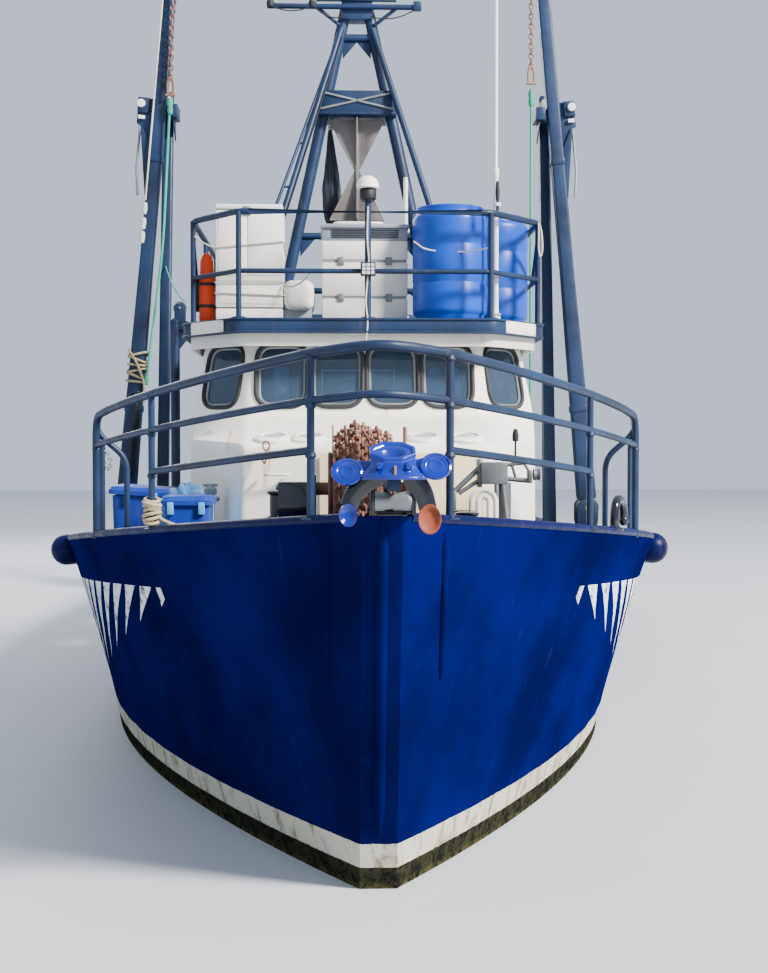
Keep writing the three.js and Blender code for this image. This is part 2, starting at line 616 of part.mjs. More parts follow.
// Mast: two stout legs from the main deck and two light legs from the roof
function buildMast() {
  const legX = (z) => THREE.MathUtils.mapLinear(z, MAIN_DECK_Z, MAST_HEAD_Z, MAST_FOOT_X, MAST_HEAD_X);
  const parts = [];
  for (const s of [1, -1]) {
    parts.push(rod([s * MAST_FOOT_X, MAST_Y, MAIN_DECK_Z + 25], [s * MAST_HEAD_X, MAST_Y, MAST_HEAD_Z], 58));
    parts.push(rod([s * MAST_FOOT_X, MAST_Y, MAIN_DECK_Z + GAP],
      [s * MAST_FOOT_X, MAST_Y, MAIN_DECK_Z + 25], 120));
    parts.push(rod([s * 1060, -1950, ROOF_TOP + 16], [s * 150, MAST_Y - 40, 6420], 30));
    parts.push(rod([s * 1060, -1950, ROOF_TOP + GAP], [s * 1060, -1950, ROOF_TOP + 16], 60));
  }
  const lightLeg = (share, out) => [-1060 - out + (910 + out) * share, -1950 + (MAST_Y + 1910) * share,
    ROOF_TOP + 16 + (6420 - ROOF_TOP - 16) * share];
  parts.push(rod(lightLeg(0.02, 150), lightLeg(0.985, 150), 16, 6));
  for (const share of [0.06, 0.2, 0.34, 0.48, 0.62, 0.76]) {
    parts.push(rod(lightLeg(share, 0), lightLeg(share, 150), 11, 6));
  }
  for (const [z, radius] of [[3900, 30], [4430, 34], [6340, 40]]) {
    parts.push(rod([-legX(z), MAST_Y, z], [legX(z), MAST_Y, z], radius));
  }
  parts.push(box(-380, 380, MAST_Y - 170, MAST_Y + 320, 5570, 5600));
  parts.push(box(-380, 380, MAST_Y - 170, MAST_Y - 150, 5570, 5800));
  parts.push(box(-380, 380, MAST_Y + 300, MAST_Y + 320, 5570, 5800));
  parts.push(box(-150, 150, MAST_Y - 90, MAST_Y + 90, 6500, 6720));
  parts.push(rod([-860, MAST_Y - 110, 6610], [600, MAST_Y - 110, 6610], 26));
  parts.push(box(-400, 380, MAST_Y - 110, MAST_Y - 60, 6670, 6700));
  for (const s of [1, -1]) {
    parts.push(rod([s * 400, MAST_Y - 90, 6620], [s * 170, MAST_Y - 60, 6450], 18, 6));
  }
  for (const x of [-830, -430]) {
    parts.push(rod([x, MAST_Y - 110, 6600], [x, MAST_Y - 110, 6790], 38, 10));
  }
  parts.push(box(540, 620, MAST_Y - 150, MAST_Y - 70, 6580, 6660));
  parts.push(rod([0, MAST_Y, 6700], [0, MAST_Y, 6740], 120, 12));
  piece('mast', join(parts), PAINT.navy);

  const radome = [[0, 0], [190, 0], [215, 40], [215, 110], [180, 170], [80, 205], [0, 210]];
  piece('radome', turned(radome, [0, MAST_Y, 6740 + GAP], 'z', 18), PAINT.white);

  const bow = [[-265, 5555], [265, 5555], [14, 5065], [265, 4580], [-265, 4580], [-14, 5065]];
  const across = plate(bow.map(([u, z]) => [u, z]), 'y', MAST_Y - 6, MAST_Y + 6);
  const along = plate(bow.map(([u, z]) => [u * 0.55 + MAST_Y, z]), 'x', -6, 6);
  const pole = rod([0, MAST_Y, 4475], [0, MAST_Y, 5570 - GAP], 24, 8);
  piece('day_shape', join(across, along, pole), PAINT.weathered);

  const bag = turned([[0, 4560], [70, 4600], [105, 4750], [100, 4950], [60, 5150], [40, 5350], [22, 5480],
    [14, 5570 - GAP], [0, 5570 - GAP]], [-255, MAST_Y + 240, 0], 'z', 10);
  piece('signal_bag', bag, PAINT.dark);
}

// Columns that the booms stow against, and the pedestals at the booms' heels
function columnX(z) {
  return THREE.MathUtils.mapLinear(z, MAIN_DECK_Z, 5500, 1895, 1805);
}

function buildColumns() {
  for (const [name, side] of [['port', 1], ['starboard', -1]]) {
    const top = 5760;
    const half = 50;
    const shaft = skin([[MAIN_DECK_Z + GAP, 1.15], [top, 1]].map(([z, grow]) => {
      const [x, w] = [side * columnX(z), half * grow];
      return [[x - w, COLUMN_Y + w, z], [x - w, COLUMN_Y - w, z], [x + w, COLUMN_Y - w, z],
        [x + w, COLUMN_Y + w, z]];
    }));
    const brace = rod([side * 2000, -300, MAIN_DECK_Z + 20], [side * columnX(4350), COLUMN_Y + 30, 4350], 45);
    const foot = rod([side * 2000, -300, MAIN_DECK_Z + GAP], [side * 2000, -300, MAIN_DECK_Z + 20], 90);
    const rungs = [1400, 2000, 2600, 3200, 3800].map((z) => {
      const y = THREE.MathUtils.mapLinear(z, MAIN_DECK_Z, 4350, -300, COLUMN_Y + 30);
      const x = THREE.MathUtils.mapLinear(z, MAIN_DECK_Z, 4350, 2000, columnX(4350));
      return rod([side * columnX(z), COLUMN_Y, z], [side * x, y, z], 16, 6);
    });
    const [a, b] = mirrored(side, 1690, 1780);
    const rest = box(a, b, BOOM_Y - 60, COLUMN_Y, 5480, 5600);
    const disc = rod([side * 1802, COLUMN_Y - 75, 5670], [side * 1802, COLUMN_Y + 75, 5670], 46, 12);
    piece(`column_${name}`, join(shaft, brace, foot, rungs, rest, disc), PAINT.navy);

    const [x0, x1] = mirrored(side, BOOM_HEEL_X - 110, BOOM_HEEL_X + 90);
    const block = box(x0, x1, BOOM_Y - 125, BOOM_Y + 95, MAIN_DECK_Z + GAP, 1640);
    const cheeks = [-125, 75].map((off) => box(x0, x1, BOOM_Y + off, BOOM_Y + off + 20, 1630, 1880));
    const pin = rod([side * BOOM_HEEL_X, BOOM_Y - 135, BOOM_HEEL_Z],
      [side * BOOM_HEEL_X, BOOM_Y + 105, BOOM_HEEL_Z], 38, 12);
    piece(`boom_heel_${name}`, join(block, cheeks, pin), PAINT.navy);
  }
}

// A short davit beside the wheelhouse, its arm over the side deck
function buildSidePost() {
  const [x, y] = [-1665, -2000];
  const post = rod([x, y, FOREDECK_Z + GAP], [x, y, 3530], 42, 10);
  const foot = rod([x, y, FOREDECK_Z + GAP], [x, y, FOREDECK_Z + 18], 95, 12);
  const arm = box(x - 30, -1400, y - 28, y + 28, 3440, 3520);
  const gusset = plate([[x + 20, 3240], [x + 20, 3450], [x + 180, 3450]], 'y', y - 8, y + 8);
  const cheeks = [-34, 22].map((off) => box(x - 5, x + 95, y + off, y + off + 12, 3500, 3640));
  const sheave = rod([x + 45, y - 45, 3640], [x + 45, y + 45, 3640], 62, 14);
  piece('side_post', join(post, foot, arm, gusset, cheeks, sheave), PAINT.navy);
}

// Booms, stowed upright and leaning inboard, each turning on its heel pin
function buildBooms() {
  for (const [name, side] of [['boom_port', 1], ['boom_starboard', -1]]) {
    const shaft = skin([[110, 88], [900, 78], [2300, 63], [BOOM_LENGTH, 60]].map(([z, w]) =>
      [[-w, w - 15, z], [-w, -w - 15, z], [w, -w - 15, z], [w, w - 15, z]]));
    const eye = join(rod([0, -95, 0], [0, 65, 0], 100, 16), box(-80, 80, -95, 65, 0, 130));
    const bore = rod([0, -200, 0], [0, 200, 0], 39.4, 16);
    const arm = plate([[50, 2950], [70, 2950], [165, 3600], [205, 3620], [205, 3860], [50, 3860]],
      'y', -55, 25);
    const disc = rod([172, -80, 3800], [172, 45, 3800], 38, 12);
    const headPlate = box(-170, 100, -35, 5, BOOM_LENGTH - 170, BOOM_LENGTH + 40);
    const sheave = rod([0, -85, BOOM_LENGTH - 20], [0, 55, BOOM_LENGTH - 20], 85, 14);
    const boom = cut(join(shaft, eye, arm, disc, headPlate, sheave), bore);
    const geometry = geometryOf(boom);
    if (side < 0) geometry.rotateZ(Math.PI).translate(0, -30, 0);
    geometry.rotateY(-side * BOOM_LEAN);
    geometry.translate(side * BOOM_HEEL_X, BOOM_Y, BOOM_HEEL_Z);
    piece(name, solidOf(geometry), PAINT.navy);
  }
}

// Foredeck gear
const ANCHOR_X = 30;

function buildAnchor() {
  const cheeks = [-75, 125].map((off) => box(ANCHOR_X + off - 20, ANCHOR_X + off, -8130, -7560, 2062, 2200));
  const bed = box(ANCHOR_X - 95, ANCHOR_X + 125, -7990, -7560, 2062, 2080);
  const roller = rod([ANCHOR_X - 85, -8080, 2130], [ANCHOR_X + 115, -8080, 2130], 48, 12);
  const saddle = box(ANCHOR_X - 60, ANCHOR_X + 90, STEM_HEAD_Y + 1, -7900, STEM_HEAD_Z + GAP, 2070);
  piece('bow_roller', join(cheeks, bed, roller, saddle), PAINT.galvanised);

  const x = ANCHOR_X + 15;
  const shank = box(x - 32, x + 32, -8230, -7350, 2178 + GAP, 2250);
  const ring = turned([[40, -16], [72, -16], [72, 16], [40, 16], [40, -16]], [x, -7290, 2215], 'x', 12);
  const crown = plate([[-170, 2225], [-110, 2210], [110, 2210], [170, 2225], [170, 2330], [105, 2370],
    [-105, 2370], [-170, 2330]].map(([u, z]) => [u + x, z]), 'y', -8330, -8200);
  const collar = rod([x, -8380, 2310], [x, -8200, 2310], 105, 8);
  const bore = rod([x, -8500, 2310], [x, -8330, 2310], 60, 8);
  const palms = [-1, 1].map((s) => rod([x + s * 215, -8300, 2265], [x + s * 215, -8210, 2265], 80, 12));
  const flukes = [-1, 1].map((s) => skin([
    [2280, 170, -8250, 45, 50], [2130, 205, -8235, 50, 45], [2000, 190, -8200, 38, 30], [1935, 175, -8180, 8, 8],
  ].map(([z, off, y, w, d]) => [[x + s * off - w, y + d, z], [x + s * off - w, y - d, z],
    [x + s * off + w, y - d, z], [x + s * off + w, y + d, z]])));
  piece('anchor', join(shank, ring, cut(join(crown, collar), bore), palms, flukes), PAINT.anchorBlue);
}

const CHAIN_DRUM = { x: -80, y: -6780, z: 2150 };

function buildForedeckGear() {
  const { x, y, z } = CHAIN_DRUM;
  const base = box(x - 330, x + 330, y - 300, y + 300, FOREDECK_Z + GAP, 1380);
  const cheek = [[y - 260, 1370], [y + 260, 1370], [y + 90, 2230], [y - 90, 2230]];
  const cheeks = [[-300, -255], [255, 300]].map(([low, high]) => plate(cheek, 'x', x + low, x + high));
  const motor = box(x - 470, x - 300, y - 120, y + 120, 1950, 2190);
  const bores = rod([x - 320, y, z], [x + 400, y, z], 38.9, 16);
  piece('anchor_winch', cut(join(base, cheeks, motor), bores), PAINT.galvanised);

  const core = [[0, -298], [38, -298], [38, -240], [310, -240], [325, -110], [325, 110], [310, 240],
    [38, 240], [38, 298], [0, 298]];
  piece('chain_drum', turned(core, [x, y, z], 'x', 16), PAINT.rust);

  for (const [name, side, height] of [['bitts_port', 1, 700], ['bitts_starboard', -1, 830]]) {
    const [cx, cy, top] = [side * 560, -6330, FOREDECK_Z + height];
    const posts = [-130, 130].map((off) => join(
      rod([cx, cy + off, FOREDECK_Z + GAP], [cx, cy + off, top - 10], 57, 10),
      rod([cx, cy + off, top - 20], [cx, cy + off, top], 75, 10)));
    const horns = [-130, 130].map((off) => rod([cx - 110, cy + off, top - 250], [cx + 110, cy + off, top - 250], 25, 6));
    const bar = rod([cx, cy - 130, top - 120], [cx, cy + 130, top - 120], 30, 6);
    const sole = box(cx - 110, cx + 110, cy - 230, cy + 230, FOREDECK_Z + GAP, FOREDECK_Z + 20);
    piece(name, join(posts, horns, bar, sole), PAINT.navy);
  }

  const hauler = join(
    rod([850, -5870, FOREDECK_Z + GAP], [850, -5870, 2200], 50, 10),
    rod([850, -5870, FOREDECK_Z + GAP], [850, -5870, FOREDECK_Z + 20], 130, 12),
    box(700, 1000, -5950, -5790, 2150, 2290),
    rod([1000, -5870, 2225], [1080, -5870, 2225], 85, 14),
    box(560, 720, -5900, -5860, 2120, 2330));
  piece('line_hauler', hauler, PAINT.galvanised);

  const BINS = [
    { name: 'fish_bin_1', x: -1640, y: -4220, halfX: 220, halfY: 300, top: 2090 },
    { name: 'fish_bin_2', x: -1190, y: -5520, halfX: 150, halfY: 190, top: 2070 },
  ];
  for (const bin of BINS) {
    const body = skin([[FOREDECK_Z + GAP, 0.9], [bin.top - 60, 1]].map(([w, k]) => [
      [bin.x - bin.halfX * k, bin.y + bin.halfY * k, w], [bin.x - bin.halfX * k, bin.y - bin.halfY * k, w],
      [bin.x + bin.halfX * k, bin.y - bin.halfY * k, w], [bin.x + bin.halfX * k, bin.y + bin.halfY * k, w]]));
    const lid = box(bin.x - bin.halfX - 20, bin.x + bin.halfX + 20, bin.y - bin.halfY - 20,
      bin.y + bin.halfY + 20, bin.top - 60, bin.top);
    piece(bin.name, join(body, lid), PAINT.brightBlue);
  }
}

// A horned fairlead on the port bulwark and a plywood board against the trunk's front
function buildLooseGear(bulwark) {
  const way = [[2210, 0], [2210, 150], [2240, 200], [2310, 225], [2390, 205], [2430, 150], [2430, 95]];
  const horn = run(way.map(([distance, height]) => raised(railFoot(1, distance), height - 5)), 32, 8);
  piece('fairlead_port', setOn(horn, bulwark), PAINT.dark);

  const leaning = [[-5400, FOREDECK_Z + GAP], [-5382, FOREDECK_Z + GAP], [-5301, 2345], [-5319, 2345]];
  piece('plywood_board', plate(leaning, 'x', -330, 780), PAINT.wood);
}

// Trawl winch, hatch, net drum, gantry and trawl doors on the main deck
function buildWinch() {
  const base = box(-1150, 1150, WINCH_Y - 420, WINCH_Y + 420, MAIN_DECK_Z + GAP, 860);
  const cheek = [[WINCH_Y - 330, 850], [WINCH_Y + 330, 850], [WINCH_Y + 110, 1480], [WINCH_Y - 110, 1480]];
  const cheeks = [-1100, -130, 1060].map((x) => plate(cheek, 'x', x, x + 40));
  const gearbox = box(-130, 130, WINCH_Y - 200, WINCH_Y + 200, 850, 1530);
  const bore = rod([-1300, WINCH_Y, WINCH_AXIS_Z], [1300, WINCH_Y, WINCH_AXIS_Z], 47.5, 16);
  piece('winch_frame', cut(join(base, cheeks, gearbox), bore), PAINT.navy);

  const half = (s) => [[46, 0], [46, 170], [360, 170], [360, 195], [250, 195], [250, 965], [360, 965],
    [360, 990], [46, 990], [46, 1140], [115, 1145], [115, 1310]]
    .map(([r, h]) => [r, s * h]);
  const profile = [[0, -1310], ...half(-1).reverse().slice(0, -1), ...half(1).slice(1), [0, 1310]];
  piece('winch_drums', turned(profile, [0, WINCH_Y, WINCH_AXIS_Z], 'x', 14), PAINT.rust);
}

function buildHatch() {
  const [hx, hy, wall, top] = [HOLD.halfX + 60, HOLD.halfY + 60, 60, 1180];
  const outer = box(-hx, hx, HATCH_Y - hy, HATCH_Y + hy, MAIN_DECK_Z + GAP, top);
  const inner = box(-hx + wall, hx - wall, HATCH_Y - hy + wall, HATCH_Y + hy - wall, 0, top + 10);
  const lugs = [-300, 300].flatMap((x) => [
    box(x - 45, x - 15, HATCH_Y - hy - 60, HATCH_Y - hy + 10, top - 60, top),
    box(x - 45, x - 15, HATCH_Y - hy - 60, HATCH_Y - hy - 2, top - 60, top + 36)]);
  const pins = [-300, 300].map((x) =>
    rod([x - 60, HATCH_Y - hy - 32, top + 12], [x + 30, HATCH_Y - hy - 32, top + 12], 11, 8));
  piece('hatch_coaming', join(cut(outer, inner), lugs, pins), PAINT.navy);

  const leaf = box(-hx - 20, hx + 20, HATCH_Y - hy, HATCH_Y + hy + 20, top + GAP, top + 60);
  const eyes = [-300, 300].map((x) => cut(
    join(box(x - 7, x + 25, HATCH_Y - hy - 55, HATCH_Y - hy + 30, top + 6, top + 45),
      rod([x - 7, HATCH_Y - hy - 32, top + 12], [x + 25, HATCH_Y - hy - 32, top + 12], 26, 12)),
    rod([x - 100, HATCH_Y - hy - 32, top + 12], [x + 100, HATCH_Y - hy - 32, top + 12], 11.9, 12)));
  const slots = [-300, 300].map((x) =>
    box(x - 65, x - 7 + GAP, HATCH_Y - hy - 70, HATCH_Y - hy + 22, top - 80, top + 80));
  const handle = box(-120, 120, HATCH_Y + hy - 80, HATCH_Y + hy - 50, top + 55, top + 90);
  piece('hatch_lid', join(cut(leaf, slots), eyes, handle), PAINT.white);
}

function buildNetDrum() {
  for (const [name, side] of [['net_stand_port', 1], ['net_stand_starboard', -1]]) {
    const outline = [[NET_DRUM_Y - 480, MAIN_DECK_Z + GAP], [NET_DRUM_Y + 480, MAIN_DECK_Z + GAP],
      [NET_DRUM_Y + 150, NET_DRUM_Z + 150], [NET_DRUM_Y - 150, NET_DRUM_Z + 150]];
    const window = [[NET_DRUM_Y - 250, 900], [NET_DRUM_Y + 250, 900], [NET_DRUM_Y + 130, 1450],
      [NET_DRUM_Y - 130, 1450]];
    const [a, b] = mirrored(side, 1310, 1390);
    const [c, d] = mirrored(side, 1310, 1560);
    const foot = box(c, d, NET_DRUM_Y - 480, NET_DRUM_Y + 480, MAIN_DECK_Z + GAP, MAIN_DECK_Z + 20);
    const motor = rod([side * 1380, NET_DRUM_Y, NET_DRUM_Z], [side * 1600, NET_DRUM_Y, NET_DRUM_Z], 120, 12);
    const bore = rod([side * 1200, NET_DRUM_Y, NET_DRUM_Z], [side * 1480, NET_DRUM_Y, NET_DRUM_Z], 51.6, 16);
    const frame = cut(plate(outline, 'x', a, b), plate(window, 'x', a - 10, b + 10));
    piece(name, cut(join(frame, foot, motor), bore), PAINT.navy);
  }
  const profile = [[0, -1440], [50, -1440], [50, -1270], [680, -1260], [680, -1225], [260, -1215],
    [390, -1000], [450, -500], [470, 0], [450, 500], [390, 1000], [260, 1215], [680, 1225], [680, 1260],
    [50, 1270], [50, 1440], [0, 1440]];
  piece('net_drum', turned(profile, [0, NET_DRUM_Y, NET_DRUM_Z], 'x', 14), PAINT.net);
}

function buildGantry() {
  const top = 4450;
  const parts = [];
  for (const s of [1, -1]) {
    const [a, b] = mirrored(s, GANTRY_X - 75, GANTRY_X + 75);
    parts.push(box(a, b, GANTRY_Y - 75, GANTRY_Y + 75, MAIN_DECK_Z + GAP, top));
    parts.push(rod([s * GANTRY_X, GANTRY_Y - 1300, MAIN_DECK_Z + 30], [s * GANTRY_X, GANTRY_Y, 3300], 55));
    parts.push(rod([s * GANTRY_X, GANTRY_Y - 1300, MAIN_DECK_Z + GAP],
      [s * GANTRY_X, GANTRY_Y - 1300, MAIN_DECK_Z + 20], 110));
    parts.push(rod([s * GANTRY_X, GANTRY_Y, 3700], [s * (GANTRY_X - 650), GANTRY_Y, top - 40], 45));
    const block = box(s * 1450 - 40, s * 1450 + 40, GANTRY_Y - 90, GANTRY_Y + 90, top - 420, top - 100);
    const sheave = rod([s * 1450 - 30, GANTRY_Y, top - 380], [s * 1450 + 30, GANTRY_Y, top - 380], 150, 14);
    parts.push(block, sheave);
  }
  parts.push(box(-GANTRY_X - 75, GANTRY_X + 75, GANTRY_Y - 75, GANTRY_Y + 75, top - 150, top));
  parts.push(box(-300, 300, GANTRY_Y - 60, GANTRY_Y + 60, top, top + 90));
  piece('stern_gantry', join(parts), PAINT.navy);

  for (const [name, side] of [['trawl_door_port', 1], ['trawl_door_starboard', -1]]) {
    const face = GANTRY_X + 75 + GAP;
    const [a, b] = mirrored(side, face, face + 60);
    const outline = [[6750, 1720], [6650, 1850], [6650, 2650], [6750, 2750], [7850, 2750], [7950, 2650],
      [7950, 1850], [7850, 1720]];
    const [c, d] = mirrored(side, face + 55, face + 110);
    const ribs = [6950, 7300, 7650].map((y) => box(c, d, y - 25, y + 25, 1780, 2690));
    const shoe = box(a, side > 0 ? b + 30 : b, 6700, 7900, 1690, 1760);
    const bracket = rod([side * (face + 50), 7300, 2250], [side * (face + 230), 7300, 2250], 40, 10);
    piece(name, join(plate(outline, 'x', a, b), ribs, shoe, bracket), PAINT.rust);
  }
}

function buildExhaust() {
  const casing = box(-1180, -700, -620, -60, MAIN_DECK_Z + GAP, 1650);
  const pipe = run([[-940, -340, 1600], [-940, -340, 3850], [-940, -240, 4000]], 85, 12);
  piece('exhaust_stack', join(casing, pipe), PAINT.weathered);
}

// Propeller and rudder
function buildSternGear() {
  const hub = turned([[0, -229.5], [45, -229.5], [45, -215], [95, -215], [110, -60], [105, 120], [60, 240], [0, 270]],
    [0, PROPELLER_Y, SHAFT_Z], 'y', 16);
  const blades = [0, 1, 2, 3].map((i) => {
    const rings = [[60, 110, 62], [220, 200, 40], [400, 230, 25], [520, 150, 16], [PROPELLER_RADIUS, 50, 8]]
      .map(([radius, chord, thick]) => {
        const pitch = Math.atan(130 / radius);
        const [c, s] = [Math.cos(pitch), Math.sin(pitch)];
        const corners = [[-chord, -thick], [-chord, thick], [chord, thick], [chord, -thick]];
        return corners.map(([u, v]) => [(u * c - v * s) / 1.6, (u * s + v * c) / 1.6, radius]);
      });
    const blade = skin(rings);
    return blade.rotate([0, i * 90, 0]).translate([0, PROPELLER_Y - 20, SHAFT_Z]);
  });
  piece('propeller', join(hub, blades), PAINT.bronze);

  const outline = (grow) => [[RUDDER_Y - 190, 0], [RUDDER_Y - 120, 45 * grow], [RUDDER_Y + 60, 60 * grow],
    [RUDDER_Y + 620, 12], [RUDDER_Y + 620, -12], [RUDDER_Y + 60, -60 * grow], [RUDDER_Y - 120, -45 * grow]];
  const blade = plate(outline(1).map(([y, x]) => [x, y]), 'z', -1830, -560);
  const stock = rod([0, RUDDER_Y, -600], [0, RUDDER_Y, -430 - GAP], 55, 12);
  const pintle = rod([0, RUDDER_Y, -1880 + GAP], [0, RUDDER_Y, -1800], 45, 12);
  piece('rudder', join(blade, stock, pintle), PAINT.dark);
}

const whole = join(wholeHull(), stemBars(), keelAndSkeg());
buildHull(whole);
const bulwark = buildBulwarks(whole);
buildDeckhouse();
buildRoof();
buildHelm();
buildBowRail(bulwark);
buildUpperRail();
buildRoofGear();
buildMast();
buildColumns();
buildSidePost();
buildBooms();
buildAnchor();
buildForedeckGear();
buildLooseGear(bulwark);
buildWinch();
buildHatch();
buildNetDrum();
buildGantry();
buildExhaust();
buildSternGear();

export default boat;
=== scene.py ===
"""Fishing trawler: the dressed boat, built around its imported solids.

Metres. The bow points to -Y, port is +X, Z is up and the waterline is z = 0.
Each sub-assembly is a class with its sizes as fields. Its pieces are numpy surfaces: a function of
two parameters on a grid, or a section carried along a path.
"""

import logging
import math
from dataclasses import dataclass
from enum import Enum
from typing import Iterable, NamedTuple, Optional, Sequence, Union

import bmesh
import bpy
import numpy as np
from mathutils import Matrix


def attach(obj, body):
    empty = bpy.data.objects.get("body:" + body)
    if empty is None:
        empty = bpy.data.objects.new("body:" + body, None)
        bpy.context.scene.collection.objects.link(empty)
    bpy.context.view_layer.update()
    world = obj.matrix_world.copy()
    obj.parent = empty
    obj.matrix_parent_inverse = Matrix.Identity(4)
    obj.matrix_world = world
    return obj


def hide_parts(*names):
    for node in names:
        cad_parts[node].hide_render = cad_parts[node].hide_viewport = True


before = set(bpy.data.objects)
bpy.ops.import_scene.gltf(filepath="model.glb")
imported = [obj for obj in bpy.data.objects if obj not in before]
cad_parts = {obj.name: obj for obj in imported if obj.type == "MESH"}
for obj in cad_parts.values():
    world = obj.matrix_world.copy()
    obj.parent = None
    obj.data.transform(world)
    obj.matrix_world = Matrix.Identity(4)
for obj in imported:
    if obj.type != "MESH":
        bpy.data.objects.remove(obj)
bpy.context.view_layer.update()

LOG = logging.getLogger("trawler")
Array = np.ndarray
Rgb = tuple[int, int, int]
Point = Sequence[float]
Line = Sequence[Point]
Socket = bpy.types.NodeSocket
Value = Union[Socket, float]
TAU = 2 * math.pi


class Axis(Enum):
    """The boat axis that a turned piece or a prism lies along."""

    X = 0
    Y = 1
    Z = 2


class Ends(Enum):
    """How the two ends of a surface are closed."""

    OPEN = "open"
    FAN = "fan"
    ZIP = "zip"


# Surfaces


def unit(vectors: Array) -> Array:
    """Return the vectors divided by their lengths."""
    return vectors / np.maximum(np.linalg.norm(vectors, axis=-1, keepdims=True), 1e-12)


@dataclass
class Form:
    """Points and faces of a surface. Each array in faces has rows of corner numbers."""

    points: Array
    faces: list[Array]

    def __add__(self, other: "Form") -> "Form":
        """Return both forms as one."""
        shifted = [rows + len(self.points) for rows in other.faces]
        return Form(np.vstack([self.points, other.points]), self.faces + shifted)

    def moved(self, shift: Point = (0, 0, 0), turn: Optional[Array] = None) -> "Form":
        """Return the form turned by a 3 by 3 matrix and then shifted."""
        points = self.points if turn is None else self.points @ turn.T
        return Form(points + np.asarray(shift, float), self.faces)

    def mirrored(self) -> "Form":
        """Return the form with port and starboard exchanged."""
        return Form(self.points * [-1, 1, 1], self.faces)

    def on(self, side: int) -> "Form":
        """Return the form itself for port, side 1, or its mirror image for starboard, side -1."""
        return self if side > 0 else self.mirrored()

    def both(self) -> "Form":
        """Return the form with its mirror image."""
        return self + self.mirrored()

    def copies(self, places: Array, frames: Optional[Array] = None) -> "Form":
        """Return one copy at each place.

        Args:
            places: the places, one row each.
            frames: 3 by 3 matrices whose columns are each copy's own axes.

        Returns:
            All copies as one form. Point p of copy k lies at place k plus frame k times p.
        """
        places = np.asarray(places, float).reshape(-1, 3)
        count = len(places)
        if frames is None:
            frames = np.broadcast_to(np.eye(3), (count, 3, 3))
        points = np.einsum("kij,pj->kpi", frames, self.points) + places[:, None]
        steps = np.arange(count)[:, None, None] * len(self.points)
        faces = [(rows[None] + steps).reshape(-1, rows.shape[1]) for rows in self.faces]
        return Form(points.reshape(-1, 3), faces)


def gather(forms: Iterable[Form]) -> Form:
    """Return several forms as one."""
    first, *rest = list(forms)
    for form in rest:
        first = first + form
    return first


def around(count: int) -> Array:
    """Return equal steps of angle round a circle."""
    return TAU * np.arange(count) / count


def circle(count: int, wide: float = 1.0, high: float = 1.0) -> Array:
    """Return an ellipse about the origin, as pairs (wide cos a, high sin a)."""
    return np.stack([wide * np.cos(around(count)), high * np.sin(around(count))], -1)


def turn_about(axis: Axis, degrees: float) -> Array:
    """Return the matrix that turns by an angle about one axis of the boat."""
    c, s = math.cos(math.radians(degrees)), math.sin(math.radians(degrees))
    a, b = (axis.value + 1) % 3, (axis.value + 2) % 3
    matrix = np.eye(3)
    matrix[a, a], matrix[a, b], matrix[b, a], matrix[b, b] = c, -s, s, c
    return matrix


def surface(grid: Array, around: bool = True, loop: bool = False, ends: Ends = Ends.FAN,
            poles: Optional[Array] = None) -> Form:
    """Join a grid of points into a surface.

    Args:
        grid: points, n rows of m, as an n by m by 3 array.
        around: whether each row closes on itself.
        loop: whether the last row joins the first.
        ends: how the first and last rows are closed.
        poles: the two middle points of the fans, or None for the rows' means.

    Returns:
        The form. Its quads join neighbours (i, j), (i+1, j), (i+1, j+1) and (i, j+1).
    """
    rows, count = grid.shape[:2]
    i = np.arange(rows if loop else rows - 1)[:, None]
    j = np.arange(count if around else count - 1)[None, :]
    here, ahead, beside = i * count, (i + 1) % rows * count, (j + 1) % count
    faces = [np.stack([here + j, ahead + j, ahead + beside, here + beside], -1).reshape(-1, 4)]
    points = grid.reshape(-1, 3)
    if not loop and ends is Ends.FAN:
        middle = grid[[0, -1]].mean(1) if poles is None else np.asarray(poles, float)
        k = np.arange(count)
        last = (rows - 1) * count
        for hub, base in ((len(points), 0), (len(points) + 1, last)):
            faces.append(np.stack([np.full(count, hub), base + k, base + (k + 1) % count], -1))
        points = np.vstack([points, middle])
    if not loop and ends is Ends.ZIP:
        k = np.arange(count // 2 - 1)
        for base in (0, (rows - 1) * count):
            pairs = [base + k, base + k + 1, base + count - 2 - k, base + count - 1 - k]
            faces.append(np.stack(pairs, -1))
    return Form(points, faces)


def eased(corners: Line, reach: float, steps: int = 6,
          ring: bool = False) -> Array:
    """Round the corners of a line.

    Each corner becomes the parabola that leaves one leg and meets the next at the reach from
    the corner, or at 45 hundredths of a shorter leg.

    Args:
        corners: the line's corners.
        reach: how far from a corner its curve starts.
        steps: the points on each curve.
        ring: whether the line closes on itself.

    Returns:
        The rounded line's points.
    """
    p = np.asarray(corners, float)
    legs = np.stack([np.roll(p, 1, 0) - p, np.roll(p, -1, 0) - p])
    start, end = p + unit(legs) * np.minimum(reach, 0.45 * np.linalg.norm(legs, axis=-1, keepdims=True))
    s = np.linspace(0, 1, steps)[None, :, None]
    curves = (1 - s) ** 2 * start[:, None] + 2 * s * (1 - s) * p[:, None] + s**2 * end[:, None]
    if ring:
        return curves.reshape(-1, p.shape[1])
    return np.vstack([p[:1], curves[1:-1].reshape(-1, p.shape[1]), p[-1:]])


def spaced(path: Array, step: float) -> Array:
    """Return points along a line at equal steps of its own length."""
    path = np.asarray(path, float)
    gone = np.concatenate([[0], np.cumsum(np.linalg.norm(np.diff(path, axis=0), axis=1))])
    at = np.linspace(0, gone[-1], max(2, int(round(gone[-1] / step)) + 1))
    return np.stack([np.interp(at, gone, path[:, k]) for k in range(3)], -1)


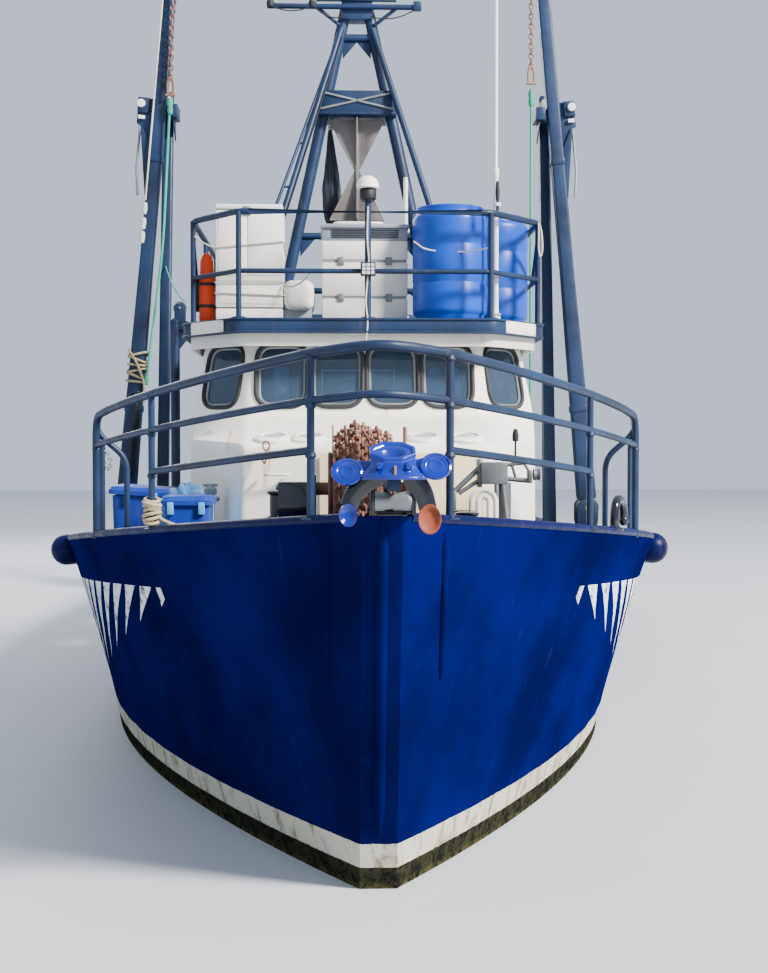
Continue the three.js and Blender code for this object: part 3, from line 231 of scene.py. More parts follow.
def slack(start: Point, end: Point, sag: float, steps: int = 16) -> Array:
    """Return a hanging line: the straight line less sag times 4 s (1 - s)."""
    s = np.linspace(0, 1, steps)[:, None]
    line = np.asarray(start, float) * (1 - s) + np.asarray(end, float) * s
    return line - np.array([0, 0, 1]) * 4 * sag * s * (1 - s)


def directions(path: Array, loop: bool = False, up: Optional[Point] = None) -> Array:
    """Give each point of a line its own axes.

    Args:
        path: the line's points.
        loop: whether the line closes on itself.
        up: a direction that the second axis keeps to, or None for the least used boat axis.

    Returns:
        3 by 3 matrices with columns tangent, side and their cross product. The tangent is the
        difference of the neighbours, and the side is up less its share along the tangent.
    """
    if loop:
        ahead, behind = np.roll(path, -1, 0), np.roll(path, 1, 0)
    else:
        ahead = np.vstack([path[1:], path[-1:]])
        behind = np.vstack([path[:1], path[:-1]])
    tangent = unit(ahead - behind)
    lean = np.eye(3)[np.abs(tangent).max(0).argmin()] if up is None else np.asarray(up, float)
    side = unit(lean - (tangent @ lean)[:, None] * tangent)
    return np.stack([tangent, side, np.cross(tangent, side)], -1)


def tube(path: Line, radius: Union[float, Array], sides: int = 14,
         loop: bool = False, section: Optional[Array] = None,
         up: Optional[Point] = None) -> Form:
    """Carry a section along a path.

    Args:
        path: the path's points.
        radius: the section's size, one for all or one for each point.
        sides: the corners of a round section.
        loop: whether the path closes on itself.
        section: the section's own corners in units of radius, or None for a circle.
        up: the direction that the section's first axis keeps to.

    Returns:
        The tube. A point of it is the path's point plus radius times the section's corner in
        the path's own side axes.
    """
    path = np.asarray(path, float)
    if section is None:
        angle = around(sides) + math.pi / sides
        section = np.stack([np.cos(angle), np.sin(angle)], -1)
    axes = directions(path, loop, up)
    size = np.broadcast_to(np.asarray(radius, float), (len(path),))[:, None, None]
    across = np.einsum("kij,mj->kmi", axes[:, :, 1:], section)
    return surface(path[:, None] + size * across, loop=loop)


def bar(start: Point, end: Point, radius: float, sides: int = 14,
        far_radius: Optional[float] = None) -> Form:
    """Return a straight round bar, tapered where a far radius is given."""
    ends = np.array([start, end], float)
    return tube(ends, np.array([radius, radius if far_radius is None else far_radius]), sides)


def turned(profile: Sequence[tuple[float, float]], centre: Point = (0, 0, 0),
           axis: Axis = Axis.Z, sides: int = 28, loop: bool = False) -> Form:
    """Turn a profile about an axis.

    Args:
        profile: pairs of radius and height, from one end to the other.
        centre: where height 0 lies.
        axis: the axis that it is turned about.
        sides: the steps around.
        loop: whether the profile closes on itself, as a ring's does.

    Returns:
        The body. Its point at angle a is (radius cos a, radius sin a, height). Its ends are
        closed on the axis, or joined where the profile is a loop.
    """
    rows = np.asarray(profile, float)
    open_rows = rows[rows[:, 0] > 1e-9]
    heights = np.broadcast_to(open_rows[:, None, 1:], (len(open_rows), sides, 1))
    grid = np.concatenate([open_rows[:, None, :1] * circle(sides), heights], -1)
    poles = np.array([[0, 0, rows[0, 1]], [0, 0, rows[-1, 1]]])
    form = surface(grid, loop=loop, poles=None if loop else poles)
    order = {Axis.X: [2, 0, 1], Axis.Y: [1, 2, 0], Axis.Z: [0, 1, 2]}[axis]
    return Form(form.points[:, order], form.faces).moved(centre)


def both_ways(half: Line) -> list[tuple[float, float]]:
    """Return a turned profile from its upper half, from the middle to the end."""
    return [(radius, -height) for radius, height in reversed(half)] + list(half)


def lifted(outline: Line, axis: Axis, level: float) -> Array:
    """Return a flat outline's points at one level of the axis across it."""
    return np.insert(np.asarray(outline, float), axis.value, level, axis=1)


def prism(outline: Line, axis: Axis, low: float, high: float) -> Form:
    """Carry a flat outline along an axis.

    Args:
        outline: its corners, in the two other axes in the order X, Y, Z.
        axis: the axis that it is carried along.
        low: where it starts.
        high: where it ends.

    Returns:
        The closed body, with one face at each end.
    """
    form = surface(np.stack([lifted(outline, axis, level) for level in (low, high)]), ends=Ends.OPEN)
    k = np.arange(len(outline))[None]
    return Form(form.points, form.faces + [k, k + len(outline)])


def block(x: tuple[float, float], y: tuple[float, float], z: tuple[float, float]) -> Form:
    """Return a body with six flat faces, for a bevel to finish."""
    return prism([(x[0], y[0]), (x[1], y[0]), (x[1], y[1]), (x[0], y[1])], Axis.Z, *z)


def blocks(*spans: Point) -> Form:
    """Return several bodies with six flat faces, each from its ends in X, then Y, then Z."""
    return gather(block(span[:2], span[2:4], span[4:]) for span in spans)


def ring_outline(width: float, height: float, corner: float, steps: int = 7) -> Array:
    """Return a rounded rectangle about the origin, as pairs."""
    w, h = width / 2, height / 2
    return eased([(-w, -h), (w, -h), (w, h), (-w, h)], corner * 1.6, steps, ring=True)


def hoop(width: float, height: float, corner: float, wire: float, axis: Axis, level: float = 0.0,
         sides: int = 8) -> Form:
    """Return a round wire bent to a rounded rectangle that looks along an axis."""
    return tube(lifted(ring_outline(width, height, corner), axis, level), wire, sides, loop=True)


def pipe(corners: Line, reach: float, radius: float, sides: int = 8, steps: int = 6) -> Form:
    """Return a round bar bent along a line whose corners are rounded."""
    return tube(eased(corners, reach, steps), radius, sides)


def plate(x: tuple[float, float], z: tuple[float, float], corner: float, y: tuple[float, float],
          steps: int = 5) -> Form:
    """Return an upright plate across the boat with rounded corners."""
    corners = [(x[0], z[0]), (x[1], z[0]), (x[1], z[1]), (x[0], z[1])]
    return prism(eased(corners, corner, steps, ring=True), Axis.Y, *y)


def box_tube(path: Line, half: Union[float, Array],
             up: Point = (0, 1, 0)) -> Form:
    """Return a square tube along a path, its corners rounded by an eighth of its side."""
    return tube(path, half, section=ring_outline(2, 2, 0.22, 4), up=up)


def flange(radius: float, place: Point, neck: float, height: float = 0.016) -> Form:
    """Return a round foot plate with a weld fillet up to its pipe."""
    top = height + 0.02
    rows = [(0, 0), (radius, 0), (radius, height), (neck + 0.012, height + 0.003), (neck, top), (0, top)]
    return turned(rows, place, sides=24)


def sheave(radius: float, width: float, centre: Point, axis: Axis) -> Form:
    """Return a grooved wheel: a rim on each side, a groove between them and a hub."""
    w, r = width / 2, radius
    half = [(1, 1), (0.86, 1), (0.8, 0.7), (0.34, 0.7), (0.3, 1.2), (0, 1.2)]
    ring = [(r * a, w * b) for a, b in half]
    return turned([(a, -b) for a, b in ring[::-1]] + [(r * 0.8, 0)] + ring, centre, axis, 30)


def heads(places: Line, size: float, axis: Axis, sign: float = 1.0) -> Form:
    """Return six-sided bolt heads with washers on a face that looks along an axis."""
    rows = np.array([(0, 0), (1.5, 0), (1.5, 0.25), (1, 0.25), (1, 1), (0, 1)]) * size
    return turned(rows * [1, sign], axis=axis, sides=6).copies(places)


def rope(path: Array, radius: float, lay: float, strands: int = 3) -> Form:
    """Return a laid rope.

    Args:
        path: the line that it follows.
        radius: its outer radius.
        lay: the length of one turn of its strands.
        strands: how many strands show.

    Returns:
        A tube whose radius at angle a and length s swells with the size of
        cos(strands (a - TAU s / lay) / 2), so that the strands wind around it.
    """
    line = spaced(path, lay / 6)
    sides = 6 * strands
    gone = np.concatenate([[0], np.cumsum(np.linalg.norm(np.diff(line, axis=0), axis=1))])
    swell = 0.74 + 0.26 * np.abs(np.cos(strands * (around(sides)[None] - TAU * gone[:, None] / lay) / 2))
    across = np.einsum("kij,mj->kmi", directions(line)[:, :, 1:], circle(sides)) * swell[..., None]
    return surface(line[:, None] + radius * across)


def chain(path: Array, wire: float, length: float) -> Form:
    """Return a chain of oval links.

    Args:
        path: the line that it follows.
        wire: the radius of its wire.
        length: the outer length of a link.

    Returns:
        One oval link, (a cos t, b sin t), swept by its wire and copied along the line, each
        turned a quarter from the last.
    """
    line = spaced(path, length - 3.2 * wire)
    oval = lifted(circle(12, length / 2 - wire, length * 0.3), Axis.Z, 0)
    link = tube(oval, wire, 6, loop=True, up=(0, 0, 1))
    axes = directions(line)
    odd = np.arange(len(line)) % 2 == 1
    axes[odd] = axes[odd][:, :, [0, 2, 1]] * [1, 1, -1]
    return link.copies(line, axes)


# Finishes


def tone(colour: Rgb) -> tuple[float, float, float, float]:
    """Return a screen colour, 0 to 255, as the linear colour that a shader takes."""
    c = np.asarray(colour, float) / 255
    linear = np.where(c <= 0.04045, c / 12.92, ((c + 0.055) / 1.055) ** 2.4)
    return (*linear.tolist(), 1.0)


class Shader:
    """One material's node tree. Each method adds a node and returns its output."""

    def __init__(self, name: str) -> None:
        """Start the tree with its shader, its output and the boat's coordinates."""
        self.material = bpy.data.materials.new(name)
        self.material.use_nodes = True
        self.tree = self.material.node_tree
        self.tree.nodes.clear()
        self.body = self.tree.nodes.new("ShaderNodeBsdfPrincipled")
        output = self.tree.nodes.new("ShaderNodeOutputMaterial")
        self.tree.links.new(self.body.outputs[0], output.inputs[0])
        self.coordinates = self.tree.nodes.new("ShaderNodeTexCoord").outputs["Object"]
        self.axes = self.node("ShaderNodeSeparateXYZ", self.coordinates).outputs

    def node(self, kind: str, *inputs: object, **settings: object) -> bpy.types.Node:
        """Add a node.

        Args:
            kind: the node's type.
            inputs: a socket or a value for each input in order, or None to leave it.
            settings: the node's own properties.

        Returns:
            The node.
        """
        made = self.tree.nodes.new(kind)
        for key, value in settings.items():
            setattr(made, key, value)
        for socket, value in zip(made.inputs, inputs):
            if isinstance(value, bpy.types.NodeSocket):
                self.tree.links.new(value, socket)
            elif value is not None:
                socket.default_value = value
        return made

    def put(self, name: str, value: object) -> None:
        """Give an input of the shader a socket or a constant."""
        socket = self.body.inputs[name]
        if isinstance(value, bpy.types.NodeSocket):
            self.tree.links.new(value, socket)
        else:
            socket.default_value = value

    def math(self, operation: str, a: Value, b: Value = 0.0) -> Socket:
        """Return one sum on two numbers."""
        return self.node("ShaderNodeMath", a, b, operation=operation).outputs[0]

    def times(self, *values: Value) -> Socket:
        """Return the product of several numbers."""
        product = values[0]
        for value in values[1:]:
            product = self.math("MULTIPLY", product, value)
        return product

    def noise(self, scale: float, detail: float = 4.0, rough: float = 0.55, warp: float = 0.0,
              stretch: Point = (1, 1, 1)) -> Socket:
        """Return noise on the boat's coordinates, after they are multiplied by the stretch."""
        place = self.node("ShaderNodeMapping", self.coordinates)
        place.inputs["Scale"].default_value = stretch
        made = self.node("ShaderNodeTexNoise", place.outputs[0])
        for name, value in (("Scale", scale), ("Detail", detail), ("Roughness", rough),
                            ("Distortion", warp)):
            made.inputs[name].default_value = value
        return made.outputs[0]

    def fade(self, value: Value, low: float, high: float, to_low: float = 0.0,
             to_high: float = 1.0) -> Socket:
        """Return a smooth step of a value from one level to another."""
        return self.node("ShaderNodeMapRange", value, low, high, to_low, to_high,
                         interpolation_type="SMOOTHSTEP").outputs[0]

    def between(self, value: Value, low: float, high: float, soft: float) -> Socket:
        """Return 1 where a value lies between two levels, with soft edges."""
        rise = self.fade(value, low - soft, low + soft)
        fall = self.fade(value, high - soft, high + soft, 1.0, 0.0)
        return self.times(rise, fall)

    def mix(self, share: Value, a: object, b: object) -> Socket:
        """Return a colour between two."""
        made = self.tree.nodes.new("ShaderNodeMix")
        made.data_type = "RGBA"
        for index, value in ((0, share), (6, a), (7, b)):
            if isinstance(value, bpy.types.NodeSocket):
                self.tree.links.new(value, made.inputs[index])
            else:
                made.inputs[index].default_value = value
        return made.outputs[2]

    def relief(self, height: Socket, strength: float, depth: float = 0.01,
               under: Optional[Socket] = None) -> Socket:
        """Return a bumped normal, over another one where it is given."""
        made = self.node("ShaderNodeBump")
        made.inputs["Strength"].default_value = strength
        made.inputs["Distance"].default_value = depth
        self.tree.links.new(height, made.inputs["Height"])
        if under is not None:
            self.tree.links.new(under, made.inputs["Normal"])
        return made.outputs[0]


@dataclass(frozen=True)
class Weep:
    """A run of rust down a painted face, from one point."""

    x: float
    top: float
    length: float
    width: float


@dataclass(frozen=True)
class Coating:
    """Paint, plastic or bare metal with drift of colour, grime, streaks, rust and relief."""

    colour: Rgb
    shade: Rgb
    rough: tuple[float, float] = (0.35, 0.55)
    metal: float = 0.0
    gloss: float = 0.0
    drift: float = 1.6
    grime: float = 0.2
    streaks: float = 0.0
    rust: float = 0.0
    grain: float = 60.0
    relief: float = 0.12
    weeps: tuple[Weep, ...] = ()
    shine: float = 0.3

    def material(self, name: str) -> bpy.types.Material:
        """Build the material.

        Args:
            name: the material's name.

        Returns:
            The material. Slow noise drifts between colour and shade, noise stretched in Z
            draws streaks, fine noise gives grime and grain, and rust eats in where a warped
            noise is highest.
        """
        s = Shader(name)
        drift = s.fade(s.noise(self.drift, 6), 0.3, 0.72)
        colour = s.mix(drift, tone(self.colour), tone(self.shade))
        fine = s.noise(self.grain, 5, 0.6)
        if self.grime:
            dirt = s.times(s.fade(s.noise(7.0, 8, 0.7, 0.6), 0.5, 0.78), self.grime)
            colour = s.mix(dirt, colour, s.mix(0.6, tone(self.shade), tone((52, 46, 38))))
        if self.streaks:
            run = s.fade(s.noise(16.0, 5, 0.6, 0.0, (1, 1, 0.07)), 0.54, 0.76)
            broken = s.fade(s.noise(2.3, 3), 0.42, 0.62)
            colour = s.mix(s.times(run, broken, self.streaks), colour, tone((118, 92, 60)))
        rough = s.fade(s.noise(9.0, 5), 0.2, 0.8, *self.rough)
        height = fine
        for weep in self.weeps:
            off = s.math("ABSOLUTE", s.math("SUBTRACT", s.axes[0], weep.x))
            wide = s.fade(off, 0.2 * weep.width, weep.width, 1.0, 0.0)
            down = s.between(s.axes[2], weep.top - weep.length, weep.top, 0.02)
            fading = s.fade(s.axes[2], weep.top - weep.length, weep.top, 0.25, 1.0)
            torn = s.fade(s.noise(30.0, 4, 0.6, 0.0, (1, 1, 0.12)), 0.36, 0.62)
            colour = s.mix(s.times(wide, down, torn, fading), colour, tone((168, 104, 38)))
        if self.rust:
            eaten = s.noise(11.0, 10, 0.72, 0.8)
            share = s.fade(eaten, 0.74 - 0.3 * self.rust, 0.8 - 0.3 * self.rust)
            flakes = s.fade(s.noise(42.0, 4), 0.35, 0.65)
            colour = s.mix(share, colour, s.mix(flakes, tone((92, 46, 24)), tone((154, 88, 46))))
            rough = s.math("MAXIMUM", rough, s.times(share, 0.9))
            height = s.math("ADD", fine, s.times(share, 0.8))
        s.put("Base Color", colour)
        s.put("Roughness", rough)
        s.put("Metallic", self.metal)
        s.put("Coat Weight", self.gloss)
        s.put("Coat Roughness", 0.08)
        s.put("Specular IOR Level", self.shine)
        s.put("Normal", s.relief(height, self.relief, 0.004))
        return s.material


@dataclass(frozen=True)
class Topsides:
    """The hull's paint: blue sides, a white boot stripe, black below and flashes on the bow."""

    blue: Rgb = (0, 8, 84)
    deep: Rgb = (0, 5, 54)
    stripe: tuple[float, float] = (0.13, 0.27)
    flash_ends: tuple[float, float] = (-6.05, -1.9)
    flash_levels: tuple[float, float] = (0.64, 1.24)
    flash_rise: float = 0.27
    flash_pitch: float = 0.25
    seam_level: float = 1.02
    seams: tuple[float, ...] = (-6.1, -3.9, -1.2, 1.8, 4.6)

    def material(self, name: str) -> bpy.types.Material:
        """Build the material.

        Args:
            name: the material's name.

        Returns:
            The material. Its bands follow Z, the flashes follow Y plus a share of Z, and
            weld seams, plate hollows, weed, stains and scuffs come from noise.
        """
        s = Shader(name)
        _, y, z = s.axes
        blue = s.mix(s.fade(s.noise(0.9, 5), 0.3, 0.7), tone(self.blue), tone(self.deep))
        scuff = s.fade(s.noise(5.0, 8, 0.75, 0.4, (1, 0.35, 1.6)), 0.63, 0.74)
        rubbed = s.fade(z, 0.2, 1.3, 1.0, 0.2)
        blue = s.mix(s.times(scuff, rubbed, 0.12), blue, tone((40, 52, 96)))
        run = s.fade(s.noise(11.0, 6, 0.6, 0.0, (1, 1, 0.05)), 0.6, 0.76)
        blue = s.mix(s.times(run, 0.1), blue, tone((70, 80, 120)))
        worn = s.fade(s.noise(14.0, 8, 0.7), 0.34, 0.5)
        sides = s.mix(s.times(self.flashes(s), worn), blue, tone((226, 229, 232)))
        stain = s.fade(s.noise(9.0, 8, 0.7, 0.5, (1, 1, 0.4)), 0.46, 0.66)
        white = s.mix(stain, tone((184, 181, 166)), tone((122, 114, 86)))
        weed = s.fade(s.noise(16.0, 8, 0.75, 0.6), 0.4, 0.6)
        black = s.mix(weed, tone((20, 21, 22)), tone((46, 47, 33)))
        black = s.mix(s.times(s.fade(z, 0.0, 0.05, 1.0, 0.0), weed), black, tone((72, 68, 42)))
        edge = s.math("ADD", z, s.times(s.math("SUBTRACT", s.noise(24.0, 5), 0.5), 0.012))
        low, high = self.stripe
        colour = s.mix(s.fade(edge, low - 0.004, low + 0.004), black, white)
        colour = s.mix(s.fade(edge, high - 0.002, high + 0.002), colour, sides)
        pit = s.fade(s.noise(8.0, 12, 0.78, 0.9), 0.69, 0.73)
        s.put("Base Color", s.mix(s.times(pit, 0.8), colour, tone((110, 62, 34))))
        dull = s.fade(z, 0.1, 0.3, 0.8, 0.0)
        rough = s.math("ADD", s.fade(s.noise(4.0, 6), 0.25, 0.75, 0.2, 0.36), s.times(scuff, 0.25))
        s.put("Roughness", s.math("MINIMUM", s.math("ADD", rough, s.times(dull, 0.6)), 0.9))
        s.put("Specular IOR Level", 0.0)
        near = s.math("ABSOLUTE", s.math("SUBTRACT", z, self.seam_level))
        for place in self.seams:
            near = s.math("MINIMUM", near, s.math("ABSOLUTE", s.math("SUBTRACT", y, place)))
        welds = s.fade(near, 0.0, 0.014, 1.0, 0.0)
        hollows = s.relief(s.noise(1.6, 2, 0.4), 0.35, 0.06)
        s.put("Normal", s.relief(s.math("ADD", welds, s.noise(70.0, 4)), 0.22, 0.004, hollows))
        return s.material

    def flashes(self, s: Shader) -> Socket:
        """Mark the white flashes on the bow.

        Args:
            s: the material's node tree.

        Returns:
            1 on a flash and 0 beside it. The flashes repeat along Y plus 1.6 Z, and each is
            widest at its head and comes to a point at its foot.
        """
        _, y, z = s.axes
        low, high = self.flash_levels
        fore, aft = self.flash_ends
        top = high + self.flash_rise
        slant = s.math("ADD", y, s.times(z, 1.6))
        wave = s.math("FRACT", s.math("DIVIDE", slant, self.flash_pitch))
        head = s.node("ShaderNodeMapRange", y, fore, aft, top, high).outputs[0]
        foot = s.node("ShaderNodeMapRange", y, fore, -3.6, top - 0.1, low).outputs[0]
        share = s.math("DIVIDE", s.math("SUBTRACT", z, foot), s.math("SUBTRACT", head, foot))
        flash = s.math("LESS_THAN", wave, s.times(share, 0.72))
        tall = s.times(s.math("GREATER_THAN", share, 0.0), s.math("LESS_THAN", share, 1.0))
        return s.times(flash, s.between(y, fore, aft, 0.01), tall)


@dataclass(frozen=True)
class Pane:
    """Tinted window glass with a film of salt."""

    tint: Rgb = (100, 128, 160)

    def material(self, name: str) -> bpy.types.Material:
        """Build the material: clear glass whose salt, from noise, is rough and pale."""
        s = Shader(name)
        salt = s.fade(s.noise(6.0, 7, 0.7), 0.52, 0.8)
        s.put("Base Color", s.mix(s.times(salt, 0.25), tone(self.tint), tone((200, 204, 206))))
        s.put("Roughness", s.fade(salt, 0.0, 1.0, 0.03, 0.22))
        s.put("Transmission Weight", 0.82)
        s.put("IOR", 1.45)
        return s.material


@dataclass(frozen=True)
class Cloth:
    """Woven canvas or netting, its weave from two crossed waves."""

    colour: Rgb
    shade: Rgb
    threads: float = 220.0
    relief: float = 0.5

    def material(self, name: str) -> bpy.types.Material:
        """Build the material: crossed waves for the weave, and noise for fading."""
        s = Shader(name)
        kind = "ShaderNodeTexWave"
        waves = [s.node(kind, s.coordinates, self.threads, 1.5, bands_direction=way).outputs[1]
                 for way in ("DIAGONAL", "Z")]
        weave = s.math("ADD", *waves)
        faded = s.fade(s.noise(4.0, 7, 0.65), 0.32, 0.7)
        colour = s.mix(faded, tone(self.colour), tone(self.shade))
        s.put("Base Color", s.mix(s.times(weave, 0.16), colour, tone((12, 12, 14))))
        s.put("Roughness", 0.86)
        s.put("Sheen Weight", 0.25)
        s.put("Normal", s.relief(weave, self.relief, 0.002))
        return s.material


class Finish(Enum):
    """The boat's finishes by name."""

    TOPSIDES = Topsides()
    BULWARK = Coating((2, 10, 72), (1, 7, 50), (0.3, 0.5), grime=0.3, streaks=0.2, rust=0.1, shine=0.1)
    NAVY = Coating((24, 46, 80), (15, 29, 54), streaks=0.2, rust=0.12)
    CREAM = Coating((246, 242, 230), (236, 231, 217), (0.38, 0.55), grime=0.12, streaks=0.22, rust=0.02,
                    gloss=0.1, weeps=(Weep(-0.69, 2.38, 0.5, 0.035), Weep(0.16, 2.72, 0.1, 0.02),
                                      Weep(0.66, 2.68, 0.16, 0.02), Weep(-0.98, 2.5, 0.24, 0.02)))
    # The fascia's white is greyer than the walls' cream: painted shade under the roof's overhang.
    FASCIA = Coating((222, 220, 212), (206, 204, 196), (0.4, 0.6), streaks=0.3)
    DECK = Coating((88, 106, 118), (70, 84, 94), (0.75, 0.95), grime=0.5, rust=0.2, grain=160.0, relief=0.6)
    PLASTIC = Coating((236, 234, 228), (222, 219, 210), (0.35, 0.5), grime=0.15, streaks=0.12, grain=90.0)
    GLASS = Pane()
    RUBBER = Coating((34, 36, 40), (52, 54, 58), (0.55, 0.8), grime=0.3, grain=120.0)
    BLACK = Coating((24, 26, 30), (38, 40, 44), (0.45, 0.65), grime=0.3, grain=90.0)
    DRUM = Coating((8, 74, 186), (6, 60, 164), (0.3, 0.45), grime=0.18, streaks=0.1, grain=40.0, relief=0.06)
    BIN = Coating((14, 52, 150), (10, 38, 118), (0.4, 0.6), grime=0.35, streaks=0.2)
    PALE_BIN = Coating((92, 160, 220), (70, 136, 200), (0.45, 0.65), grime=0.3)
    ORANGE = Coating((232, 72, 24), (208, 56, 20), (0.4, 0.6), grime=0.25, streaks=0.2, grain=80.0)
    GALVANISED = Coating((150, 154, 156), (116, 120, 122), (0.4, 0.65), metal=0.75, grime=0.35,
                         streaks=0.2, rust=0.22, grain=30.0)
    WEATHERED = Coating((126, 120, 116), (98, 94, 92), (0.7, 0.9), grime=0.5, streaks=0.4, rust=0.16,
                        grain=40.0, relief=0.3)
    CANVAS = Cloth((26, 32, 50), (40, 46, 66))
    ANCHOR = Coating((6, 34, 146), (3, 20, 98), (0.12, 0.26), grime=0.25, rust=0.1, gloss=0.5, grain=26.0,
                     relief=0.2)
    RUST = Coating((152, 112, 98), (106, 72, 60), (0.75, 0.95), grime=0.4, rust=0.55, grain=44.0, relief=0.7)
    RUSTED_TIP = Coating((140, 66, 40), (92, 44, 32), (0.6, 0.85), grime=0.5, rust=0.5, grain=50.0,
                         relief=0.6)
    NET = Cloth((44, 104, 78), (30, 78, 60), 120.0, 0.9)
    BRONZE = Coating((176, 138, 74), (138, 104, 56), (0.25, 0.5), metal=0.9, grime=0.4, grain=30.0)
    ANTIFOULING = Coating((26, 27, 28), (44, 42, 32), (0.75, 0.95), grime=0.6, rust=0.12, grain=30.0,
                          relief=0.5)
    PLYWOOD = Coating((244, 196, 98), (226, 172, 78), (0.6, 0.8), grime=0.3, grain=34.0)
    WHITE_ROPE = Coating((214, 212, 200), (180, 176, 160), (0.8, 0.95), grime=0.4, grain=200.0, relief=0.4)
    GREEN_ROPE = Coating((40, 138, 112), (66, 158, 132), (0.7, 0.9), grime=0.3, grain=200.0, relief=0.4)
    BEIGE_ROPE = Coating((184, 170, 140), (150, 134, 104), (0.8, 0.95), grime=0.4, grain=200.0, relief=0.4)
    LAMP = Coating((208, 214, 216), (176, 184, 190), (0.12, 0.25), gloss=0.6, grime=0.1, grain=20.0)
    GREY = Coating((150, 156, 162), (130, 136, 144), (0.4, 0.6), streaks=0.15, grain=70.0)
    POLISHED_NAVY = Coating((14, 19, 32), (8, 11, 20), (0.12, 0.3), rust=0.14, gloss=0.6, grain=30.0)
    WIRE = Coating((104, 98, 92), (66, 60, 56), (0.5, 0.8), metal=0.4, grime=0.5, rust=0.5, relief=0.5)
    PALE_NET = Cloth((64, 150, 214), (40, 116, 190), 160.0, 0.9)
    SOOT = Coating((84, 80, 76), (34, 32, 32), (0.7, 0.95), metal=0.3, grime=0.5, rust=0.4, grain=40.0,
                   relief=0.4)

    def material(self) -> bpy.types.Material:
        """Return the finish's material, built once."""
        name = self.name.lower()
        return bpy.data.materials.get(name) or self.value.material(name)


# Pieces


def mesh_of(shape: Union[Form, Iterable[Form]], name: str) -> bpy.types.Mesh:
    """Put one or more forms into a mesh, weld what coincides and turn the faces outwards."""
    form = shape if isinstance(shape, Form) else gather(shape)
    mesh = bpy.data.meshes.new(name)
    corners = np.concatenate([rows.ravel() for rows in form.faces])
    sizes = np.concatenate([np.full(len(rows), rows.shape[1]) for rows in form.faces])
    starts = np.concatenate([[0], np.cumsum(sizes)[:-1]])
    mesh.vertices.add(len(form.points))
    mesh.vertices.foreach_set("co", form.points.astype(np.float32).ravel())
    mesh.loops.add(len(corners))
    mesh.loops.foreach_set("vertex_index", corners.astype(np.int32))
    mesh.polygons.add(len(sizes))
    mesh.polygons.foreach_set("loop_start", starts.astype(np.int32))
    mesh.update(calc_edges=True)
    mesh.validate()
    tidy_mesh(mesh)
    return mesh


def tidy_mesh(mesh: bpy.types.Mesh, flatten: bool = False) -> None:
    """Weld a mesh's doubles, merge its flat faces where asked, and turn its faces outwards."""
    edit = bmesh.new()
    edit.from_mesh(mesh)
    bmesh.ops.remove_doubles(edit, verts=edit.verts, dist=2e-5)
    bmesh.ops.dissolve_degenerate(edit, edges=edit.edges, dist=1e-6)
    if flatten:
        limit = math.radians(0.6)
        bmesh.ops.dissolve_limit(edit, angle_limit=limit, verts=edit.verts, edges=edit.edges)
    bmesh.ops.recalc_face_normals(edit, faces=edit.faces)
    edit.to_mesh(mesh)
    edit.free()


def new_object(name: str, data: Optional[bpy.types.ID]) -> bpy.types.Object:
    """Return a new object of the scene."""
    obj = bpy.data.objects.new(name, data)
    bpy.context.scene.collection.objects.link(obj)
    return obj


def settle(obj: bpy.types.Object) -> None:
    """Make the result of an object's modifiers its own mesh."""
    shown = obj.evaluated_get(bpy.context.evaluated_depsgraph_get())
    mesh = bpy.data.meshes.new_from_object(shown)
    old = obj.data
    obj.modifiers.clear()
    obj.data = mesh
    bpy.data.meshes.remove(old)


class SubAssembly:
    """A part of the boat that makes and dresses its own pieces."""

    def add(self, name: str, shape: Union[Form, Iterable[Form], bpy.types.Mesh], finish: Finish,
            *replaces: str, body: str = "root", bevel: float = 0.0, angle: float = 38.0,
            holes: Optional[Form] = None) -> bpy.types.Object:
        """Make one piece.

        Args:
            name: the piece's name.
            shape: its form or forms, or a mesh that is ready.
            finish: its finish.
            replaces: the CAD nodes that it stands for.
            body: the body that it rides on.
            bevel: the width of the bevel on its edges.
            angle: the angle past which an edge stays sharp.
            holes: closed forms that are cut out of it.

        Returns:
            The piece's object.
        """
        obj = new_object(name, shape if isinstance(shape, bpy.types.Mesh) else mesh_of(shape, name))
        cutter = None
        if holes is not None:
            cutter = new_object(name + "_cutter", mesh_of(holes, name + "_cutter"))
            cut = obj.modifiers.new("cut", "BOOLEAN")
            cut.object, cut.solver, cut.operation = cutter, "EXACT", "DIFFERENCE"
        if bevel:
            edge = obj.modifiers.new("bevel", "BEVEL")
            edge.width, edge.segments, edge.limit_method = bevel, 2, "ANGLE"
            edge.angle_limit = math.radians(32)
            edge.use_clamp_overlap = True
        if obj.modifiers:
            settle(obj)
        if cutter is not None:
            bpy.data.objects.remove(cutter)
        obj.data.polygons.foreach_set("use_smooth", np.ones(len(obj.data.polygons), bool))
        obj.data.set_sharp_from_angle(angle=math.radians(angle))
        obj.data.materials.clear()
        obj.data.materials.append(finish.material())
        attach(obj, body)
        if replaces:
            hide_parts(*replaces)
        LOG.info("%s: %d faces on %s", name, len(obj.data.polygons), body)
        return obj

    def eased_copy(self, node: str, finish: Finish, bevel: float, name: Optional[str] = None,
                   body: str = "root") -> bpy.types.Object:
        """Stand a copy of a CAD node's form, with its edges eased, in the node's place.

        Args:
            node: the CAD node.
            finish: the copy's finish.
            bevel: the width of the ease.
            name: the piece's name, or None for the node's with _body.
            body: the body that it rides on.

        Returns:
            The piece's object.
        """
        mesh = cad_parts[node].data.copy()
        mesh.name = name or node + "_body"
        tidy_mesh(mesh, flatten=True)
        return self.add(mesh.name, mesh, finish, node, body=body, bevel=bevel)


# Hull


